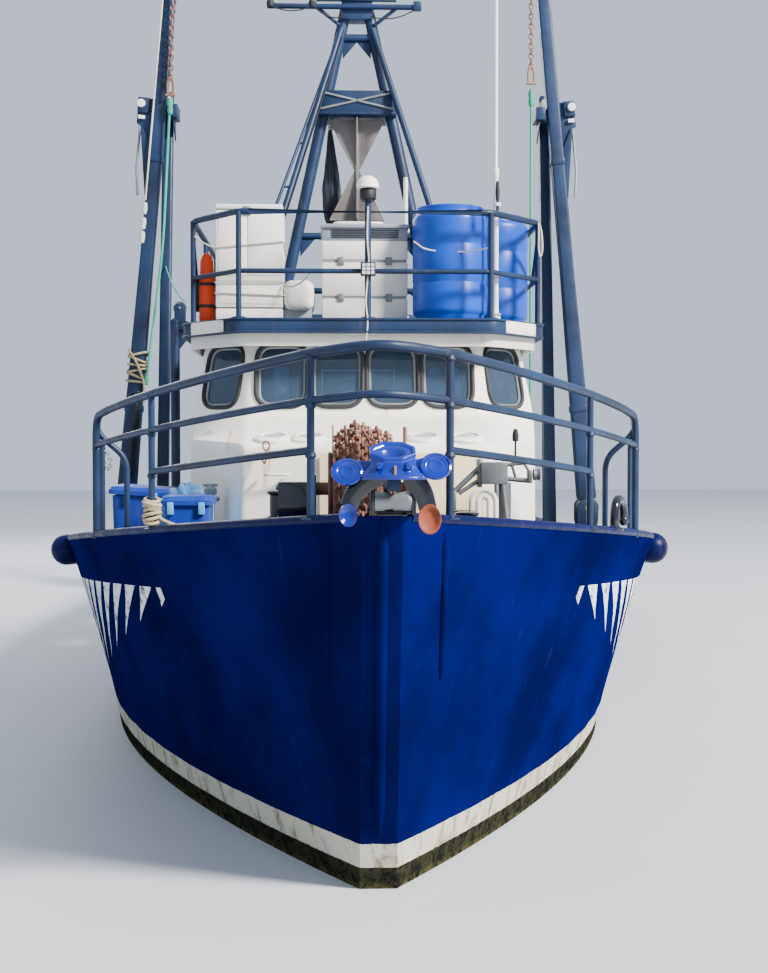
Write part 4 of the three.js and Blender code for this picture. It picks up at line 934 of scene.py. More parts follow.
@dataclass(frozen=True)
class HullLines:
    """The hull's lines. Station t runs from the stem, 0, to the transom, 1, at each level z."""

    stem_head: float = 2.05
    stem_y: float = -8.0
    stern_y: float = 8.0
    rake: float = 0.7
    forefoot: float = 0.9
    nose: float = 0.1
    deck_beam: float = 2.5
    water_beam: float = 2.26
    sheer_midships: float = 1.4
    depth: float = 1.2
    keel: float = 0.07
    plate: float = 0.045

    def stem(self, z: Array) -> Array:
        """Return the stem's y: straight above the water and a parabola below it."""
        above = self.stem_y + self.rake * (1 - z / self.stem_head)
        return np.where(z >= 0, above, self.stem_y + self.rake + self.forefoot * (z / self.depth) ** 2)

    def sheer(self, t: Array) -> Array:
        """Return the bulwark's top: a power curve forward and a square one aft."""
        forward = np.maximum(0, 1 - t * 16 / 8.5) ** 1.3
        aft = np.maximum(0, (t - 0.7) / 0.3) ** 2
        return self.sheer_midships + (self.stem_head - self.sheer_midships) * forward + 0.09 * aft

    def bottom(self, t: Array) -> Array:
        """Return the body's lowest level."""
        rise = np.maximum(0, (t - 0.55) / 0.45) ** 1.6
        return -self.depth + rise + 0.25 * np.maximum(0, 1 - t / 0.25) ** 2

    def half(self, t: Array, z: Array) -> Array:
        """Return the half breadth: powers of the distance from the stem and of the height."""
        aft = 1 - 0.12 * np.maximum(0, (t - 0.6) / 0.4) ** 2
        gone = t * (self.stern_y - self.stem(z))
        water = self.nose + (self.water_beam * aft - self.nose) * (1 - np.maximum(0, 1 - gone / 6.6) ** 2)
        rise = np.clip(1 - np.minimum(z, 0) / self.bottom(t), 0, 1)
        full = 0.36 + 0.55 * np.maximum(0, 1 - t / 0.4) + 0.25 * np.maximum(0, (t - 0.6) / 0.4)
        below = self.keel + (water - self.keel) * rise**full
        deck = self.nose + (self.deck_beam * aft - self.nose) * (1 - np.maximum(0, 1 - gone / 6.0) ** 2.2)
        above = water + (deck - water) * (np.maximum(z, 0) / self.sheer(t)) ** 1.25
        return np.where(z <= 0, below, above)

    def point(self, t: Array, z: Array, inset: float = 0.0) -> Array:
        """Return points on the port side, moved inboard by the inset."""
        t, z = np.broadcast_arrays(np.asarray(t, float), np.asarray(z, float))
        x = np.maximum(0.02, self.half(t, z) - inset)
        return np.stack([x, self.stem(z) + t * (self.stern_y - self.stem(z)), z], -1)

    def station(self, y: Array, z: Array) -> Array:
        """Return the station of a place along the boat at a level."""
        return (y - self.stem(z)) / (self.stern_y - self.stem(z))

    def rail(self, distance: Union[Array, float], height: float = 0.0, inset: float = 0.025) -> Array:
        """Return the port bulwark's top, or points over it, at distances aft of the stem head."""
        t = np.asarray(distance, float) / 16
        return self.point(t, self.sheer(t), inset) + [0, 0, height]


LINES = HullLines()


@dataclass
class Hull(SubAssembly):
    """Hull plating with bulwarks, decks, belting, stem bars, keel and freeing ports."""

    foredeck: float = 1.3
    main_deck: float = 0.75
    underside: float = 0.69
    deck_break: float = -1.65
    belting: float = 0.128
    ports: tuple[float, ...] = (-0.4, 1.5, 3.4, 5.3)
    hold: tuple[float, float, float] = (0.48, 0.43, -0.3)
    hatch_y: float = 2.8
    bars: tuple[tuple[float, float, float, float], ...] = (
        (0, 0.032, 0.33, 2.04), (-0.27, 0.024, 1.15, 1.99), (0.33, 0.024, 1.15, 1.96))

    def plating(self) -> Form:
        """Return the hull's skin.

        Returns:
            Rings of stations. Each ring goes up the outside, over the bulwark's cap, down its
            inside to a floor under the deck, and back on the other side. The outside is drawn
            in by waves between the frames, as thin plate is after welding.
        """
        t = np.concatenate([np.linspace(0, 0.12, 50), np.linspace(0.12, 1, 171)[1:]])[:, None]
        under = np.linspace(0, 1, 16)[None] ** 1.4
        above = np.linspace(0, 1, 40)[None, 1:]
        z = np.concatenate([LINES.bottom(t) * (1 - under), LINES.sheer(t) * above], 1)
        outside = LINES.point(t, z)
        x, y = outside[..., 0], outside[..., 1]
        frames = np.sin(math.pi * y / 0.55) ** 2 * np.sin(math.pi * np.clip(z, 0, 3) / 0.62) ** 2
        dents = 0.5 + 0.5 * np.sin(2.3 * y + 1.7) * np.sin(3.1 * z + 0.6 * y)
        knock = 0.012 * np.exp(-((y + 7.25) ** 2 + (z - 1.12) ** 2) / 0.03)
        fade = np.clip(x / 0.5 - 0.2, 0, 1) * (z > 0.02) * np.clip((LINES.sheer(t) - z) / 0.15, 0, 1)
        outside[..., 0] = x - (0.006 * frames * (0.4 + dents) + knock) * fade
        inner_t = np.clip(t, 0.018, 1 - LINES.plate / 16)
        cap = LINES.point(t, LINES.sheer(t), 0.006) + [0, 0, 0.004]
        cap_in = LINES.point(inner_t, LINES.sheer(inner_t), LINES.plate - 0.006) + [0, 0, 0.004]
        down = LINES.sheer(inner_t) + (0.7 - LINES.sheer(inner_t)) * np.linspace(0, 1, 8)[None]
        inside = LINES.point(inner_t, down, LINES.plate)
        side = np.concatenate([outside, cap, cap_in, inside], 1)
        ring = np.concatenate([side, side[:, ::-1] * [-1, 1, 1]], 1)
        return surface(ring, ends=Ends.ZIP)

    def deck(self, level: float, floor: float, start: float, stop: float) -> Form:
        """Return a deck between the bulwarks.

        Args:
            level: its top.
            floor: its underside.
            start: the first station, as a distance along the boat.
            stop: its aft end.

        Returns:
            Rings across the boat that follow the inside of the plating at both levels.
        """
        s = np.linspace(0, 1, 90)[:, None]
        z = np.array([[level, floor]])
        first, last = LINES.station(start, z), LINES.station(stop, z)
        t = np.maximum(first, 0.019) + (last - np.maximum(first, 0.019)) * s
        side = LINES.point(t, z + 0 * t, LINES.plate - 0.002)
        return surface(np.concatenate([side, side[:, ::-1] * [-1, 1, 1]], 1), ends=Ends.ZIP)

    def build(self) -> None:
        """Make the hull's pieces."""
        cuts = blocks(*((-3, 3, y - 0.25, y + 0.25, 0.8, 0.96) for y in self.ports))
        half_x, half_y, floor = self.hold
        well = block((-half_x, half_x), (self.hatch_y - half_y, self.hatch_y + half_y), (floor, 0.9))
        self.add("hull_plating", self.plating(), Finish.TOPSIDES, "hull", "bulwark_port",
                 "bulwark_starboard", "bulwark_stern", holes=cuts + well, angle=30)
        foredeck = self.deck(self.foredeck, self.underside, -9.0, self.deck_break)
        main_deck = self.deck(self.main_deck, self.underside, self.deck_break, 7.955)
        self.add("foredeck", foredeck, Finish.DECK)
        self.add("main_deck", main_deck, Finish.DECK, holes=well)
        t = np.linspace(0.285, 0.985, 90)
        line = LINES.point(t, LINES.sheer(t) - 0.09) + [0.04, 0, 0]
        gone = np.linspace(0.98, 0, 9)
        ahead = line[0] - unit(line[1] - line[0]) * self.belting * gone[:, None]
        size = np.concatenate([np.sqrt(1 - gone**2), np.ones(len(line) - 1)]) * self.belting
        self.add("belting", tube(np.vstack([ahead, line[1:]]), size, 22).both(), Finish.BULWARK)
        self.add("stem_bars", self.stem_bars(), Finish.TOPSIDES)
        keel = prism([(-6.1, -0.5), (-6.35, -0.9), (-5.9, -1.45), (-4.6, -1.8), (-1.0, -2.0), (7.55, -2.0),
                      (7.55, -1.88), (6.25, -1.88), (6.05, -1.7), (5.95, -1.4), (5.95, -1.1), (6.1, -0.7),
                      (6.1, -0.35), (5.0, -0.3), (0.0, -0.6)], Axis.X, -0.07, 0.07)
        boss = tube([(0, y, -1.25) for y in (5.2, 5.5, 6.05, 6.13)], np.array([0.05, 0.13, 0.13, 0.115]), 26)
        trunk = bar((0, 7.15, -0.43), (0, 7.15, 0), 0.12, 22)
        self.add("keel", keel + boss + trunk, Finish.ANTIFOULING, bevel=0.012)
        step = block((-0.4, 0.4), (-1.67, -1.35), (0.73, 1.025))
        self.add("deck_step", step, Finish.DECK, bevel=0.012)
        self.frames()

    def stem_bars(self) -> Form:
        """Return the half-round bars on the stem, each along the plating at its own offset."""
        bars = []
        t = np.linspace(0, 0.2, 801)[:, None]
        step = np.arange(24)
        taper = np.clip(np.minimum(step, step[::-1]) / 1.5, 0.3, 1)
        for x, radius, low, high in self.bars:
            z = np.linspace(low, high, 24)
            first = (LINES.half(t, z[None]) >= abs(x)).argmax(0)
            station = t[first, 0] if x else 0 * z
            path = np.stack([x + 0 * z, LINES.point(station, z)[:, 1] + 0.002, z], -1)
            bars.append(tube(path, radius * taper, 12))
        return gather(bars)

    def frames(self) -> None:
        """Make the flat frames inside the bulwark and its capping bar."""
        stays = []
        for distance in np.arange(1.2, 15.4, 0.92):
            y = LINES.stem_y + distance
            deck = self.foredeck if y < self.deck_break else self.main_deck
            top = float(LINES.sheer(np.array(distance / 16))) - 0.03
            upper, lower = (LINES.point(LINES.station(y, np.array(z)), z, LINES.plate)[0]
                            for z in (top, deck))
            outline = [(upper + 0.02, top), (upper - 0.03, top), (lower - 0.12, deck), (lower + 0.02, deck)]
            stays.append(prism(outline, Axis.Y, y - 0.004, y + 0.004))
        self.add("bulwark_stays", gather(stays).both(), Finish.BULWARK)
        t = np.concatenate([np.linspace(0.004, 0.1, 30), np.linspace(0.1, 0.992, 90)[1:]])
        side = LINES.point(t, LINES.sheer(t), 0.022)
        self.add("capping_bar", tube(side, 0.026, 12).both(), Finish.BULWARK)


# House


class Level(NamedTuple):
    """The house's outline at one height: its front, its shoulders and their half widths."""

    z: float
    front: float
    half_front: float
    shoulder: float
    half_side: float


@dataclass
class House(SubAssembly):
    """Trunk, sloping shelf and wheelhouse, with windows, door, roof and fascia."""

    wall: float = 0.05
    back: float = -1.7
    nose: float = 0.06
    levels: tuple[Level, ...] = (
        Level(1.3003, -5.3, 0.9, -3.93, 1.345), Level(2.4, -5.3, 0.86, -3.93, 1.34),
        Level(2.62, -4.37, 0.875, -3.93, 1.33), Level(3.2197, -4.25, 0.85, -3.81, 1.225))
    window_z: float = 2.922
    window: tuple[float, float, float] = (0.365, 0.464, 0.075)
    windows: tuple[tuple[float, float], ...] = (
        (-0.62, 0), (-0.208, 0), (0.208, 0), (0.62, 0), (1.07, 45), (-1.07, -45))
    side_windows: tuple[float, ...] = (-3.25, -2.45)
    back_window: float = 0.8
    door_z: float = 2.72
    deck_lights: tuple[float, ...] = (-0.655, -0.404, 0.39, 0.682)
    roof_levels: tuple[float, float] = (3.22, 3.33)
    wheel: tuple[float, float, float] = (0.25, -3.7, 2.08)

    def ring(self, level: Level, inset: float) -> Array:
        """Return the house's outline at a level: a front, two long shoulders and a flat back."""
        side = level.half_side - inset
        port = [(level.half_front - inset * 0.6, level.front + self.nose + inset),
                (side, level.shoulder + inset * 0.4), (side, self.back - inset)]
        outline = [(0, level.front + inset), *port, *[(-x, y) for x, y in reversed(port)]]
        return lifted(eased(outline, 0.05, 5, ring=True), Axis.Z, level.z)

    def shell(self) -> Form:
        """Return the walls.

        Returns:
            An outer and an inner skin, each the outline carried up through the levels with
            its knuckles eased, joined by a rim at the deck and one at the roof.
        """
        skins = []
        for inset in (0.0, self.wall):
            rings = np.stack([self.ring(level, inset) for level in self.levels])
            rings[1:3, :, 2] -= inset
            skins.append(np.stack([eased(rings[:, k], 0.045, 5) for k in range(rings.shape[1])], 1))
        return surface(np.concatenate([skins[0], skins[1][::-1]]), loop=True)

    def face(self, x: float, y: float, degrees: float) -> tuple[Array, Array]:
        """Find the wall's outer face at a window.

        Args:
            x: the window's place across, which counts on the front and the back.
            y: the window's place along, which counts on the sides.
            degrees: the way that it faces, 0 for the front and 180 for the back.

        Returns:
            A point of the face at the window's height, and the window's own axes as columns:
            along the wall, inwards and up the wall.
        """
        low, high = np.array(self.levels[2]), np.array(self.levels[3])
        z, front, half_front, shoulder, half_side = (
            low + (high - low) * (self.window_z - low[0]) / (high[0] - low[0]))
        rise, lean_front, _, _, lean_side = high - low
        side = float(np.sign(x)) if x else 1.0
        if degrees == 180:
            return np.array([x, self.back, z]), turn_about(Axis.Z, 180)
        if abs(degrees) == 90:
            along, up = np.array([0, side, 0]), np.array([side * lean_side, 0, rise])
            point = np.array([side * half_side, y, z])
        elif degrees:
            fore = front + self.nose
            along = np.array([half_side - half_front, side * (shoulder - fore), 0])
            up = np.array([side * lean_side / 2, lean_front, rise])
            point = np.array([side * (half_front + half_side) / 2, (fore + shoulder) / 2, z])
        else:
            along, up = np.array([half_front, side * self.nose, 0]), np.array([0, lean_front, rise])
            point = np.array([x, front + self.nose * abs(x) / half_front, z])
        along = unit(along.astype(float))
        up = unit(up - (up @ along) * along)
        return point, np.stack([along, np.cross(up, along), up], -1)

    def build(self) -> None:
        """Make the house's pieces."""
        places = [(x, 0.0, degrees) for x, degrees in self.windows]
        places += [(s * 1.26, y, s * 90) for s in (1, -1) for y in self.side_windows]
        places += [(s * self.back_window, 0.0, 180) for s in (1, -1)]
        spots, frames = (np.array(rows) for rows in zip(*[self.face(*place) for place in places]))
        width, height, corner = self.window
        opening = prism(ring_outline(width, height, corner), Axis.Y, -0.16, 0.16)
        pane = prism(ring_outline(width - 0.02, height - 0.02, corner - 0.01), Axis.Y, 0.016, 0.022)
        gasket = hoop(width + 0.024, height + 0.024, corner + 0.012, 0.017, Axis.Y, -0.004, 10)
        lip = hoop(width - 0.024, height - 0.024, corner - 0.012, 0.012, Axis.Y, 0.012)
        doorway = block((-0.336, 0.336), (self.back - 0.1, self.back + 0.1), (1.384, 3.096))
        self.add("house_walls", self.shell(), Finish.CREAM, "deckhouse_walls",
                 holes=opening.copies(spots, frames) + doorway, angle=28)
        self.add("window_gaskets", gasket.copies(spots, frames), Finish.RUBBER)
        self.add("window_lips", lip.copies(spots, frames), Finish.GALVANISED)
        self.add("window_panes", pane.copies(spots, frames), Finish.GLASS, "window_glass")
        self.shelf()
        self.roof()
        self.door()
        self.cabin()

    def shelf(self) -> None:
        """Make the round deck lights on the sloping shelf and the fittings of the front."""
        slope = 0.22 / 0.93
        frames = np.broadcast_to(turn_about(Axis.X, math.degrees(math.atan(slope))), (4, 3, 3))
        spots = [(x, -5.11, 2.4 + 0.19 * slope) for x in self.deck_lights]
        rim = turned([(0, -0.01), (0.125, -0.01), (0.125, 0.008), (0.1, 0.026), (0.086, 0.026), (0.082, 0.01),
                      (0, 0.01)], sides=36)
        lens = turned([(0, 0.008), (0.082, 0.008), (0.08, 0.016), (0.05, 0.022), (0, 0.024)], sides=30)
        self.add("deck_light_rims", rim.copies(spots, frames), Finish.CREAM)
        self.add("deck_light_lenses", lens.copies(spots, frames), Finish.LAMP)
        handle = [(-0.7, -5.29, 2.2), (-0.7, -5.35, 2.2), (-0.54, -5.35, 2.2), (-0.54, -5.29, 2.2)]
        self.add("trunk_handle", pipe(handle, 0.03, 0.009, 10), Finish.CREAM)
        eye = tube(lifted(circle(16, 0.022, 0.03), Axis.Y, 0), 0.006, 8, loop=True)
        eye = eye.moved((-0.69, -5.325, 2.395))
        hook = [(-0.69, -5.33, 2.37), (-0.69, -5.34, 2.3), (-0.7, -5.35, 2.27), (-0.715, -5.34, 2.3)]
        self.add("trunk_hook", eye + pipe(hook, 0.02, 0.007), Finish.RUST)

    def outline(self, margin: float) -> Array:
        """Return the roof's outline, drawn in by a margin."""
        half, front = 1.385 - margin, -4.52 + margin
        right = [(0.96 - margin * 0.5, front), (half, -4.0), (half, -1.58 - margin)]
        return eased(right + [(-x, y) for x, y in reversed(right)], 0.06, 5, ring=True)

    def roof(self) -> None:
        """Make the roof with its gutter bar, the fascia under it and the number plates."""
        self.add("roof", prism(self.outline(0), Axis.Z, *self.roof_levels), Finish.NAVY, "wheelhouse_roof",
                 bevel=0.014)
        for z in (3.228, 3.322):
            gutter = tube(lifted(self.outline(-0.004), Axis.Z, z), 0.009, 8, loop=True)
            self.add(f"roof_gutter_{int(z * 1000)}", gutter, Finish.NAVY)
        rings = ((0.055, 3.222), (0.06, 3.128), (0.085, 3.128), (0.09, 3.222))
        fascia = np.stack([lifted(self.outline(margin), Axis.Z, z) for margin, z in rings])
        # The fascia band takes a greyer white than the walls, as painted shade under the roof's overhang.
        self.add("roof_fascia", surface(fascia, loop=True), Finish.FASCIA, bevel=0.003)
        for name in ("number_plate_port", "number_plate_starboard"):
            self.eased_copy(name, Finish.PLASTIC, 0.004)
        screw = turned([(0, 0), (0.007, 0), (0.006, 0.004), (0, 0.005)], axis=Axis.Y, sides=12)
        angle = math.atan2(0.52, 0.425)
        along, out = (np.array([math.cos(a), math.sin(a), 0]) for a in (angle, angle - TAU / 4))
        centre = np.array([1.1725, -4.26, 3.276]) + out * 0.0128
        spots = np.array([centre + along * u + [0, 0, v] for u in (-0.19, 0.19) for v in (-0.034, 0.034)])
        screws = [screw.copies(spots * [side, 1, 1]) for side in (1, -1)]
        self.add("plate_screws", screws, Finish.GALVANISED)

    def door(self) -> None:
        """Make the door's leaf, its light with a gasket, and the bead of its panel."""
        leaf = "wheelhouse_door"
        self.eased_copy(leaf, Finish.CREAM, 0.006, "door_leaf", leaf)
        gasket = hoop(0.34, 0.464, 0.075, 0.014, Axis.Y, -1.697, 10).moved((0, 0, self.door_z))
        self.add("door_gasket", gasket, Finish.RUBBER, body=leaf)
        pane = prism(ring_outline(0.345, 0.469, 0.077), Axis.Y, -1.725, -1.719).moved((0, 0, self.door_z))
        self.add("door_pane", pane, Finish.GLASS, body=leaf)
        bead = hoop(0.5, 0.72, 0.06, 0.007, Axis.Y, -1.7).moved((0, 0, 1.9))
        self.add("door_panel_bead", bead, Finish.CREAM, body=leaf)

    def cabin(self) -> None:
        """Dress the console and the seat, and make the wheel with its spokes."""
        self.eased_copy("helm_console", Finish.CREAM, 0.012)
        self.eased_copy("helm_seat", Finish.BLACK, 0.03)
        tips = lifted(circle(8, 0.185, 0.185)[1::2], Axis.Y, 0)
        spokes = [bar((0, 0, 0), tip, 0.012, 10, 0.009) for tip in tips]
        rim = tube(lifted(circle(40, 0.187, 0.187), Axis.Y, 0), 0.012, 12, loop=True)
        hub = turned([(0, -0.066), (0.026, -0.066), (0.03, -0.02), (0.036, -0.012), (0.036, 0.012),
                      (0.02, 0.022), (0, 0.024)], axis=Axis.Y)
        wheel = gather([rim, hub, *spokes]).moved(self.wheel)
        self.add("helm_wheel_rim", wheel, Finish.BLACK, "helm_wheel", body="helm_wheel")


# Rails


@dataclass
class BowRail(SubAssembly):
    """Pipe rail round the foredeck, its rails on posts that stand on the bulwark."""

    posts: tuple[float, ...] = (0.33, 1.75)
    end: float = 2.78
    heights: tuple[float, ...] = (0.85, 0.61, 0.355)
    droop: float = 0.035
    radii: tuple[float, ...] = (0.027, 0.021, 0.021)
    post: float = 0.021

    def rail(self, height: float, radius: float) -> Form:
        """Return a rail that goes right round the bow, the top one down into the end posts."""
        port = LINES.rail(np.linspace(self.posts[0], self.end, 22), height)
        if height == self.heights[0]:
            port[:, 2] -= self.droop * np.linspace(0, 1, 22)
            last = port[-1]
            bend = eased([port[-3], last + [0, 0, -0.01], last - [0, 0, 0.34]], 0.3, 9)[1:]
            port = np.vstack([port[:-3], bend, [last - [0, 0, height - 0.004]]])
        nose = np.array([[0.0, -7.93, LINES.stem_head + height]])
        corners = np.vstack([port[2:0:-1], port[:1], nose, port[:1] * [-1, 1, 1], port[1:3] * [-1, 1, 1]])
        return tube(np.vstack([port[:2:-1], eased(corners, 0.3, 9), port[3:] * [-1, 1, 1]]), radius, 14)

    def build(self) -> None:
        """Make the rails, the posts with their flanges, the end braces and the weld beads."""
        rise, end = LINES.rail, self.end
        posts = np.array(self.posts)
        low = LINES.rail(np.linspace(*self.posts, 14), self.heights[2])
        foot = turned([(0, 0), (0.05, 0), (0.05, 0.008), (0.026, 0.012), (0.024, 0.02), (0, 0.02)], sides=20)
        bead = turned([(0, -0.044), (0.024, -0.04), (0.03, -0.03), (0.024, -0.01), (0, -0.01)], sides=14)
        forms = [tube(low, self.radii[2], 14), foot.copies(rise(np.append(posts, end), 0.001)),
                 bead.copies([rise(distance, height) for distance in posts for height in self.heights]),
                 bead.copies(rise(end, self.heights[1]))]
        forms += [bar(rise(distance, 0.002), rise(distance, 0.83), self.post) for distance in posts]
        top = rise(end, 0.74)
        inner = top + [-0.2, 0.05, 0]
        brace = [top, top + [-0.03, 0.01, -0.07], inner - [0, 0, 0.22], (inner[0], inner[1], 1.3)]
        stay = rise(end - 0.09) - [0.02, 0, 0]
        forms += [pipe(brace, 0.09, 0.021, 12, 7), bar(stay, stay + [0, 0, 0.62], 0.016, 12)]
        rails = [self.rail(height, radius) for height, radius in zip(self.heights[:2], self.radii)]
        self.add("bow_rail_pipes", [*rails, gather(forms).both()], Finish.NAVY, "bow_rail")
        steps = [(0, 0, 0), (0.025, 0.02, -0.13), (0.05, 0.02, -0.17), (0.07, 0.02, -0.1), (0.02, 0.0, -0.01)]
        loop = rise(end, 0.6) * [-1, 1, 1] + [0.03, 0, 0] + np.array(steps)
        self.add("rail_chain", chain(eased(loop, 0.04, 5), 0.0035, 0.034), Finish.GALVANISED)


@dataclass
class UpperRail(SubAssembly):
    """Pipe rail round the roof, with the centre post of the camera."""

    front: tuple[float, float] = (0.93, -4.44)
    side_port: float = 1.35
    side_starboard: float = -1.31
    stations: tuple[float, ...] = (-3.95, -2.85, -1.75)
    top: float = 4.115
    middle: float = 3.68
    foot: float = 3.3305
    centre: tuple[float, float] = (0.02, -4.44)
    aerial: tuple[float, float] = (0.985, -4.38)

    def build(self) -> None:
        """Make the rail, its posts and feet, the aerial and the lines at its corners."""
        x, y = self.front
        way = [(self.side_starboard, place) for place in reversed(self.stations)]
        way += [(-x, y), (x, y), *[(self.side_port, place) for place in self.stations]]
        line = [(*way[0], self.foot), *[(*place, self.top) for place in way], (*way[-1], self.foot)]
        foot = turned([(0, 0), (0.055, 0), (0.055, 0.01), (0.03, 0.016), (0, 0.016)], sides=20)
        forms = [pipe(line, 0.07, 0.024, 14),
                 pipe([(*place, self.middle) for place in way], 0.05, 0.019, 14),
                 *[bar((*place, self.foot), (*place, self.top), 0.021) for place in way[1:-1]],
                 *[bar((side, -3.95, 4.01), (side, -3.65, self.middle), 0.015, 12)
                   for side in (self.side_port, self.side_starboard)],
                 bar((*self.centre, self.foot), (*self.centre, 4.19), 0.024, 16),
                 foot.copies([(*place, self.foot) for place in (*way, self.centre)]),
                 pipe([(x, y, 4.11), (*self.aerial, 4.12), (*self.aerial, 4.3)], 0.03, 0.012, 12)]
        self.add("upper_rail_pipes", forms, Finish.NAVY, "upper_rail")
        tip = turned([(0, 4.22), (0.014, 4.22), (0.017, 4.28), (0.012, 4.355), (0, 4.362)], (*self.aerial, 0),
                     sides=16)
        self.add("short_aerial", tip, Finish.BLACK)
        band = turned([(0.012, 4.17), (0.026, 4.175), (0.027, 4.195), (0.012, 4.2)], (*self.aerial, 0),
                      sides=20, loop=True)
        self.add("aerial_band", band, Finish.PLASTIC)
        cable = [(0.02, -4.465, 4.15), (0.012, -4.47, 3.9), (0.03, -4.47, 3.75), (0.0, -4.475, 3.45),
                 (0.02, -4.525, 3.3), (0.0, -4.52, 3.14)]
        self.add("camera_cable", pipe(cable, 0.12, 0.006, 8, 8), Finish.WHITE_ROPE)
        hang = np.array([(0, 0, 4.14), (0.025, -0.02, 4.04), (0.03, -0.03, 3.9), (0.012, -0.035, 3.84),
                         (-0.002, -0.03, 3.9), (0.002, -0.015, 4.05)]) + [self.side_port, -3.97, 0]
        lashing = tube(eased(hang, 0.05, 6, ring=True), 0.007, 8, loop=True)
        self.add("rail_lashing", lashing, Finish.WHITE_ROPE)


# Roof


